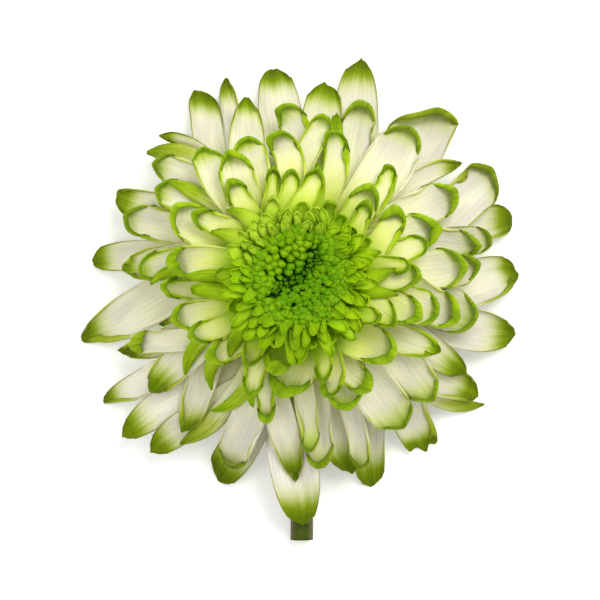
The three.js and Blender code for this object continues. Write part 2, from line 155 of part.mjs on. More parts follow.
  ["inner_florets_3", 6.02, 9.41, 31, 10.56, 11.61, 43.89, 15.8, 11.57, 40.73, 20.73, 12.68, 41.32, 4.81, 62, 72, 12, 12, 66, 1.3, 0.48, 0.67, 1.9, 0.8, 0.4],
  ["inner_florets_3", -7.21, 7.31, 31, -12.14, 8, 41.1, -17.11, 6.74, 39.36, -22.09, 6.45, 40.18, 4.49, 40, 62, 12, 12, 77, 1.3, 0.84, 0.68, 2.3, 0.6, 0.42],
  ["inner_florets_3", -5.24, 11.28, 31, -8.85, 14.86, 44.08, -6.5, 21.32, 41.8, -7.14, 26.37, 40.73, 4.19, 40, 62, 12, 12, 88, 1.3, 0.84, 0.7, 2.3, 0.6, 0.45],
  ["inner_florets_3", 5.11, 10.82, 31, 8.76, 13.85, 43.73, 13.9, 14.09, 40.98, 18.33, 15.76, 43.58, 4.49, 40, 62, 12, 12, 121, 1.3, 0.84, 0.66, 2.3, 0.6, 0.42],
  ["inner_florets_3", -1.24, -0.59, 31, -1.87, -5.15, 43.65, -1.81, -9.78, 37.83, -2.1, -14.37, 39.86, 4.79, 40, 62, 12, 12, 121, 1.3, 0.84, 0.67, 2.3, 0.6, 0.4],
  ["inner_florets_4", 3.97, 10.15, 32.3, 7.65, 13.44, 45.38, 9.14, 18.55, 32.15, 11.72, 22.76, 39.99, 4.19, 40, 62, 12, 12, 121, 1.3, 0.84, 0.69, 2.3, 0.6, 0.45],
  ["inner_florets_4", 5.29, 5.11, 32.3, 10.08, 4.05, 45.38, 14.95, 4.55, 37.62, 19.85, 4.28, 46.11, 4.48, 40, 62, 12, 12, 110, 1.3, 0.84, 0.65, 2.3, 0.6, 0.42],
  ["inner_florets_4", -4.71, 2.76, 32.3, -8.58, -0.36, 44.75, -14.03, -0.72, 38.92, -18.69, -2.46, 40.29, 4.48, 40, 62, 12, 12, 121, 1.3, 0.84, 0.67, 2.3, 0.6, 0.42],
  ["inner_florets_4", -3.99, 2.02, 32.3, -7.22, -1.74, 45.44, -12.01, -3.71, 38.21, -16.04, -6.58, 42.98, 4.48, 40, 62, 12, 12, 121, 1.3, 0.84, 0.67, 2.3, 0.6, 0.42],
  ["inner_florets_4", 2.99, 1.67, 32.3, 5.81, -2.35, 43.25, 9.64, -5.57, 42.1, 12.97, -9.19, 40.2, 4.48, 40, 62, 12, 12, 121, 1.3, 0.84, 0.68, 2.3, 0.6, 0.42],
  ["inner_florets_4", 4.12, 2.72, 32.3, 7.86, -0.37, 45.36, 12, -2.75, 37.88, 15.99, -5.51, 45.81, 4.48, 40, 62, 12, 12, 121, 1.3, 0.84, 0.68, 2.3, 0.6, 0.42],
  ["inner_florets_4", -5.69, 4.57, 32.3, -10.25, 3.07, 45.31, -15.01, 2.5, 38.57, -19.69, 1.46, 42.53, 4.48, 40, 62, 12, 12, 121, 1.3, 0.84, 0.64, 2.3, 0.6, 0.42],
  ["inner_florets_4", 2.32, 11.42, 32.3, 4.58, 15.82, 45.5, 1.17, 21.16, 36.26, 0.6, 26.07, 43.09, 5.08, 40, 62, 12, 12, 110, 1.3, 0.84, 0.67, 2.3, 0.6, 0.37],
  ["inner_florets_4", 1.78, 1.03, 32.3, 3.49, -3.4, 45.31, 6.25, -7.29, 38.06, 8.51, -11.47, 44.14, 4.48, 40, 62, 12, 12, 121, 1.3, 0.84, 0.69, 2.3, 0.6, 0.42],
  ["inner_florets_4", 3.62, 10.5, 32.3, 6.8, 13.89, 45.19, 10.95, 15.97, 37.38, 14.67, 18.76, 46.72, 4.18, 40, 62, 12, 12, 121, 1.3, 0.84, 0.69, 2.3, 0.6, 0.45],
  ["inner_florets_4", 4.56, 3.32, 32.3, 8.59, 0.8, 45.33, 13.67, 1.02, 36.81, 18.28, -0.13, 46.64, 4.48, 40, 62, 12, 12, 121, 1.3, 0.84, 0.67, 2.3, 0.6, 0.42],
  ["inner_florets_4", -1.73, 0.83, 32.3, -2.93, -3.68, 43.96, -5.39, -7.7, 39.59, -7.23, -11.99, 43.97, 4.48, 40, 62, 12, 12, 121, 1.3, 0.84, 0.69, 2.3, 0.6, 0.42],
  ["inner_florets_4", -3.44, 1.6, 32.3, -6.01, -2.26, 45.23, -9.05, -5.71, 37.92, -11.89, -9.39, 44.75, 4.48, 40, 62, 12, 12, 121, 1.3, 0.84, 0.67, 2.3, 0.6, 0.42],
  ["inner_florets_4", 1.17, 0.83, 32.3, 2.34, -3.6, 45.17, 2.46, -8.19, 37.53, 3.11, -12.73, 45.32, 4.78, 40, 62, 12, 12, 121, 1.3, 0.84, 0.7, 2.3, 0.6, 0.4],
  ["inner_florets_4", 5.36, 7.21, 32.3, 9.78, 7.88, 45.03, 14.13, 8.36, 37.88, 18.57, 8.96, 45.68, 4.18, 40, 62, 12, 12, 110, 1.3, 0.84, 0.69, 2.3, 0.6, 0.45],
  ["inner_florets_4", 1.27, 11.83, 32.3, 2.47, 16.05, 44.92, 3.52, 20.23, 38.35, 4.64, 24.47, 44.15, 3.88, 40, 62, 12, 12, 110, 1.3, 0.84, 0.68, 2.3, 0.6, 0.49],
  ["inner_florets_4", -2.78, 11.47, 32.3, -4.62, 15.25, 44.69, -8.11, 17.87, 37.39, -10.8, 21.1, 45.02, 4.18, 40, 62, 12, 12, 110, 1.3, 0.84, 0.68, 2.3, 0.6, 0.45],
  ["inner_florets_4", -4.11, 10.56, 32.3, -6.92, 13.64, 44.63, -10.46, 15.85, 37.72, -13.66, 18.52, 44.83, 4.18, 40, 62, 12, 12, 110, 1.3, 0.84, 0.67, 2.3, 0.6, 0.45],
  ["inner_florets_4", -2.28, 11.68, 32.3, -3.72, 15.53, 44.56, -2.86, 19.8, 37.76, -3.15, 23.9, 44.91, 3.28, 40, 62, 12, 12, 66, 1.3, 0.84, 0.71, 2.3, 0.6, 0.5],
  ["inner_florets_4", -5.3, 9.03, 32.3, -8.83, 10.92, 44.42, -12.41, 12.59, 38.07, -15.99, 14.38, 44.48, 4.17, 40, 62, 12, 12, 110, 1.3, 0.84, 0.67, 2.3, 0.6, 0.46],
  ["inner_florets_4", -5.81, 7.7, 32.3, -9.67, 8.64, 44.38, -13.42, 9.72, 36.74, -17.25, 10.75, 45.54, 4.17, 40, 62, 12, 12, 110, 1.3, 0.84, 0.67, 2.3, 0.6, 0.46],
];

const wasm = await Module();
wasm.setup();

const rad = (a) => (a * Math.PI) / 180;
const smooth = (a, b, x) => {
  const t = Math.min(1, Math.max(0, (x - a) / (b - a)));
  return t * t * (3 - 2 * t);
};

function unpack(row) {
  const n = row.slice(1);
  const v = (i) => new THREE.Vector3(n[i], n[i + 1], n[i + 2]);
  return {
    node: row[0], rib: new THREE.CubicBezierCurve3(v(0), v(3), v(6), v(9)),
    width: n[12], cup: rad(n[13]), tipCup: rad(n[14]), rollL: rad(n[15]), rollR: rad(n[16]),
    curl: rad(n[17]), curlRadius: n[18], tail: n[19], widest: n[20], p: n[21], q: n[22], base: n[23],
  };
}

// Points, tangents, sideways directions and running length along a floret's midrib: a Bezier, then the curled tip.
function midrib(f, mainSteps, curlSteps) {
  const points = [], tangents = [], sides = [];
  for (let i = 0; i <= mainSteps; i++) {
    const t = i / mainSteps;
    points.push(f.rib.getPoint(t));
    const d = f.rib.getTangent(t);
    tangents.push(d);
    sides.push(new THREE.Vector3(-d.y, d.x, 0).normalize());
  }
  const end = f.rib.v3, t0 = tangents[mainSteps], n0 = sides[mainSteps];
  const b0 = new THREE.Vector3().crossVectors(t0, n0);
  const arc = f.curlRadius * f.curl, total = arc + f.tail;
  for (let k = 1; k <= curlSteps; k++) {
    const s = (total * k) / curlSteps, a = Math.min(s / f.curlRadius, f.curl), extra = Math.max(0, s - arc);
    const t = t0.clone().multiplyScalar(Math.cos(a)).addScaledVector(b0, Math.sin(a));
    points.push(end.clone().addScaledVector(t0, f.curlRadius * Math.sin(a)).addScaledVector(b0, f.curlRadius * (1 - Math.cos(a))).addScaledVector(t, extra));
    tangents.push(t);
    sides.push(n0.clone());
  }
  const run = [0];
  for (let i = 1; i < points.length; i++) run.push(run[i - 1] + points[i].distanceTo(points[i - 1]));
  return { points, tangents, sides, run };
}

function widthShare(f, u) {
  if (u <= f.widest) return f.base + (1 - f.base) * Math.sin(((Math.PI / 2) * u) / f.widest) ** 1.15;
  const s = (u - f.widest) / (1 - f.widest);
  return Math.max(0.08, (1 - s ** f.p) ** f.q);
}

// Half of a cross-section of unit arc: how far sideways and how far up its edge has come at share v.
function sectionPoint(cup, roll, v) {
  const steps = 24, side = Math.sign(v), reach = Math.abs(v) * steps;
  let y = 0, z = 0;
  for (let k = 0; k < reach; k++) {
    const a = (k + 0.5) / steps, part = Math.min(1, reach - k);
    const angle = cup * a + roll * Math.max(0, (a - 0.55) / 0.45) ** 1.2;
    y += ((0.5 * part) / steps) * Math.cos(angle);
    z += ((0.5 * part) / steps) * Math.sin(angle);
  }
  return [side * y, z];
}

// A floret as one closed solid: its middle surface, thickened by half each way; grow widens every side for a clearance.
function floretSolid(f, mainSteps, curlSteps, columns, thickness, grow) {
  const m = midrib(f, mainSteps, curlSteps), rows = m.points.length, length = m.run[rows - 1], mainLength = m.run[mainSteps];
  const grid = [];
  for (let i = 0; i < rows; i++) {
    const u = m.run[i] / length;
    const claw = 1 - smooth(0, 0.35, u);
    let cup = f.cup * (1 - claw) + 1.15 * claw;
    cup += (f.tipCup - f.cup) * smooth(f.widest, 1, u);
    const edge = smooth(0.22, 0.5, u) * (1 - 0.35 * smooth(0.9, 1, u));
    const w = f.width * widthShare(f, u) + 2 * grow;
    const up = new THREE.Vector3().crossVectors(m.tangents[i], m.sides[i]);
    // a section inside a tight curl stays lower than the curl's radius
    const tall = w * Math.max(sectionPoint(cup, f.rollL * edge, 1)[1], sectionPoint(cup, f.rollR * edge, -1)[1]);
    const room = Math.max(0.2, 0.8 * f.curlRadius - thickness / 2 - grow);
    const inCurl = f.curl > 0.85 ? smooth(mainLength - 0.12 * length, mainLength + 0.02 * length, m.run[i]) : 0;
    const lower = 1 - (1 - Math.min(1, room / Math.max(tall, 1e-6))) * inCurl;
    const row = [];
    for (let j = 0; j <= columns; j++) {
      const v = -1 + (2 * j) / columns;
      const section = sectionPoint(cup, (v >= 0 ? f.rollL : f.rollR) * edge, v);
      const y = section[0], z = (columns > 1 ? section[1] : section[1] / 2) * lower; // a plain strip lies at mid height
      const point = m.points[i].clone().addScaledVector(m.sides[i], w * y).addScaledVector(up, w * z);
      if (grow && i === rows - 1) point.addScaledVector(m.tangents[i], grow);
      if (grow && i === 0) point.addScaledVector(m.tangents[i], -grow);
      row.push(point);
    }
    grid.push(row);
  }
  const normalAt = (i, j) => {
    const a = grid[Math.min(rows - 1, i + 1)][j].clone().sub(grid[Math.max(0, i - 1)][j]);
    const b = grid[i][Math.min(columns, j + 1)].clone().sub(grid[i][Math.max(0, j - 1)]);
    return a.cross(b).normalize();
  };
  const position = [], index = [], stride = columns + 1, half = thickness / 2 + grow;
  for (const sign of [1, -1])
    for (let i = 0; i < rows; i++)
      for (let j = 0; j < stride; j++) {
        const q = grid[i][j].clone().addScaledVector(normalAt(i, j), sign * half);
        position.push(q.x, q.y, q.z);
      }
  const top = (i, j) => i * stride + j, low = (i, j) => rows * stride + i * stride + j;
  const quad = (a, b, c, d) => index.push(a, b, c, a, c, d);
  for (let i = 0; i < rows - 1; i++)
    for (let j = 0; j < columns; j++) {
      quad(top(i, j), top(i + 1, j), top(i + 1, j + 1), top(i, j + 1));
      quad(low(i, j), low(i, j + 1), low(i + 1, j + 1), low(i + 1, j));
    }
  for (let i = 0; i < rows - 1; i++) {
    quad(low(i, 0), low(i + 1, 0), top(i + 1, 0), top(i, 0));
    quad(top(i, columns), top(i + 1, columns), low(i + 1, columns), low(i, columns));
  }
  for (let j = 0; j < columns; j++) {
    quad(top(0, j), top(0, j + 1), low(0, j + 1), low(0, j));
    quad(low(rows - 1, j), low(rows - 1, j + 1), top(rows - 1, j + 1), top(rows - 1, j));
  }
  const geometry = new THREE.BufferGeometry();
  geometry.setAttribute("position", new THREE.Float32BufferAttribute(position, 3));
  geometry.setIndex(index);
  return solidOf(geometry);
}

function solidOf(geometry) {
  const g = geometry.clone();
  for (const name of Object.keys(g.attributes)) if (name !== "position") g.deleteAttribute(name);
  const merged = mergeVertices(g, 1e-4);
  return new wasm.Manifold(new wasm.Mesh({
    numProp: 3,
    vertProperties: new Float32Array(merged.attributes.position.array),
    triVerts: new Uint32Array(merged.index.array),
  }));
}

function geometryOf(solid) {
  const m = solid.getMesh(), position = new Float32Array(m.numVert * 3);
  for (let i = 0; i < m.numVert; i++)
    for (let k = 0; k < 3; k++) position[i * 3 + k] = m.vertProperties[i * m.numProp + k];
  const g = new THREE.BufferGeometry();
  g.setAttribute("position", new THREE.BufferAttribute(position, 3));
  g.setIndex(new THREE.BufferAttribute(new Uint32Array(m.triVerts), 1));
  g.computeVertexNormals();
  return g;
}

function largest(solid) {
  const parts = solid.decompose();
  parts.sort((a, b) => b.volume() - a.volume());
  return parts[0];
}

function lathe(profile, segments = ROUND_SEGMENTS) {
  const g = new THREE.LatheGeometry(profile.map(([r, z]) => new THREE.Vector2(r, z)), segments);
  g.rotateX(Math.PI / 2); // the profile's height becomes +Z
  g.translate(AXIS_X, AXIS_Y, 0);
  const s = solidOf(g);
  return s;
}

function bandProfile([r, z]) {
  const [a, b] = BAND_HALF;
  return [[r - a, z - b], [r + a, z - b], [r + a, z + b], [r - a, z + b], [r - a, z - b]];
}

// The stem: a ribbed section carried along the surface and up the neck.
function stemGeometry() {
  const path = new THREE.CurvePath();
  const z = STEM_RADIUS;
  const a = new THREE.Vector3(STEM_X, STEM_END_Y, z), b = new THREE.Vector3(0.1, -5.0, z);
  path.add(new THREE.LineCurve3(a, b));
  path.add(new THREE.CubicBezierCurve3(b, new THREE.Vector3(0.0, 2.6, z), new THREE.Vector3(AXIS_X, AXIS_Y, 5.4), new THREE.Vector3(AXIS_X, AXIS_Y, NECK_TOP_Z)));
  const points = [];
  for (let i = 0; i <= 6; i++) points.push(a.clone().lerp(b, i / 6));
  for (let i = 1; i <= 8; i++) points.push(path.curves[1].getPoint(i / 8));
  const curve = new THREE.CatmullRomCurve3(points, false, "centripetal");
  const shape = new THREE.Shape();
  const n = STEM_RIBS * 2;
  for (let i = 0; i < n; i++) {
    const t = (i / n) * 2 * Math.PI, r = STEM_RADIUS - (i % 2 ? STEM_RIB_DEPTH : 0);
    if (i) shape.lineTo(r * Math.cos(t), r * Math.sin(t));
    else shape.moveTo(r * Math.cos(t), r * Math.sin(t));
  }
  shape.closePath();
  return new THREE.ExtrudeGeometry(shape, { steps: 13, bevelEnabled: false, extrudePath: curve });
}

const florets = FLORETS.map(unpack);
const pieces = []; // { name, solid, grown, keep }
function addPiece(name, solid, grown, colour, roughness) {
  pieces.push({ name, solid, grown, colour, roughness });
}

const WHITE = 0xece9df, LIME = 0x9dbb2a, GREEN = 0x6da511, DARK = 0x55702a;

const stem = solidOf(stemGeometry());
addPiece("stem", stem, null, DARK, 0.6);
addPiece("involucre", lathe(INVOLUCRE_PROFILE), null, 0x6f9427, 0.65);
addPiece("receptacle", lathe(RECEPTACLE_PROFILE), null, 0xa9bf62, 0.7);

for (const f of florets.filter((x) => !x.node.startsWith("inner_florets")))
  addPiece(f.node, floretSolid(f, 5, 2, 2, FLORET_THICKNESS, 0), floretSolid(f, 5, 2, 2, FLORET_THICKNESS, CLEARANCE),
    f.node.startsWith("outer") ? WHITE : f.node.startsWith("rolled") ? LIME : 0xe2e6c4, 0.55);

INNER_BANDS.forEach((band, k) => {
  const name = "inner_florets_" + (k + 1);
  let solid = lathe(bandProfile(band)), grown = solid;
  for (const f of florets.filter((x) => x.node === name)) {
    const slim = { ...f, width: f.width * INNER_WIDTH };
    const columns = k === 0 ? 2 : 1;
    solid = solid.add(floretSolid(slim, 3, 1, columns, FLORET_THICKNESS, 0));
    grown = grown.add(floretSolid(slim, 3, 1, columns, FLORET_THICKNESS, CLEARANCE));
  }
  addPiece(name, solid, grown, 0xcbd98a, 0.55);
});
addPiece("central_florets", lathe(EYE_PROFILE), null, GREEN, 0.7);

// Where a floret meets the one that lies over it, the lower one is trimmed back to leave a clearance.
const boxOf = (s) => s.boundingBox();
const touching = (a, b) => [0, 1, 2].every((k) => a.min[k] <= b.max[k] && b.min[k] <= a.max[k]);
const report = [];
for (let i = 0; i < pieces.length; i++) {
  const low = pieces[i];
  const before = low.solid.volume();
  for (let j = i + 1; j < pieces.length; j++) {
    const high = pieces[j];
    if (!high.grown || !touching(boxOf(low.solid), boxOf(high.grown))) continue;
    if (low.name === "stem" || low.name === "receptacle" || low.name === "involucre") {
      if (low.solid.intersect(high.solid).volume() < 1e-4) continue;
    }
    low.solid = low.solid.subtract(high.grown);
  }
  low.solid = largest(low.solid);
  report.push([low.name, low.solid.volume() / before]);
}
// the eye is the last piece: it is cut by the florets that rise against it
{
  const eye = pieces[pieces.length - 1];
  for (const other of pieces.slice(0, -1))
    if (other.grown && touching(boxOf(eye.solid), boxOf(other.grown))) eye.solid = eye.solid.subtract(other.grown);
  eye.solid = largest(eye.solid);
}

const group = new THREE.Group();
group.position.set(...FOOTPRINT_SHIFT);
for (const p of pieces) {
  const mesh = new THREE.Mesh(geometryOf(p.solid), new THREE.MeshStandardMaterial({ color: p.colour, roughness: p.roughness, metalness: 0 }));
  mesh.name = p.name;
  group.add(mesh);
}

export default group;
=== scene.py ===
# A disbud chrysanthemum bloom with a short cut stem, lying face up.
# Metres in the scene, millimetres in the tables. +Z up, the stem points along -Y.
import math

import bpy
import numpy as np
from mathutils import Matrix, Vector


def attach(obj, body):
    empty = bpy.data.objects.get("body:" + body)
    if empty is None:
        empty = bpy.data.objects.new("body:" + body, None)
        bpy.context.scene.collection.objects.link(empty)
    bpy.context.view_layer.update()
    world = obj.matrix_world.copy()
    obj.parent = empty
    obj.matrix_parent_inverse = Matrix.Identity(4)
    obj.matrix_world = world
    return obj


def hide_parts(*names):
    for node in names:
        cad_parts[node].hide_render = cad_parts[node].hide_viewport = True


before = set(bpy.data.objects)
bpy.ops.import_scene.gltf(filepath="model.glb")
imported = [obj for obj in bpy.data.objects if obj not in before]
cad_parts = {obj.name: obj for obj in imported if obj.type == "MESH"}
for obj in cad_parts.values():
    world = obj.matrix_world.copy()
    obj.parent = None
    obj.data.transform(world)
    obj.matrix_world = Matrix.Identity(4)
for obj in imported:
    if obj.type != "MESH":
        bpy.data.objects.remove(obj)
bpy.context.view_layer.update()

# ---- driving dimensions, in millimetres ----
SHIFT = np.array([0.2105, -0.2992, 0.0154])
AXIS = np.array([-0.28, 6.34])
THICK = 0.36
STEM_RADIUS = 3.12
STEM_END_Y = -66.8
STEM_X = 0.44
NECK_TOP_Z = 12.6
IMAGE = 600  # pixels, both ways

# node; kind (O flat outer, C cupped, H hooked, N strap that shows its back);
# the midrib's four points, x y z; arc width; cup and cup at the tip, left and right roll, tip curl (degrees);
# radius of the curl; straight length after it; widest point (share of the length); two powers of the tip's outline;
# width share at the base and at the tip; left and right rim fold (degrees); left and right width of the fold;
# bow and slant of the line that the tip folds along (shares of the width); teeth at the tip
# Listed from the top of the bloom to the bottom.


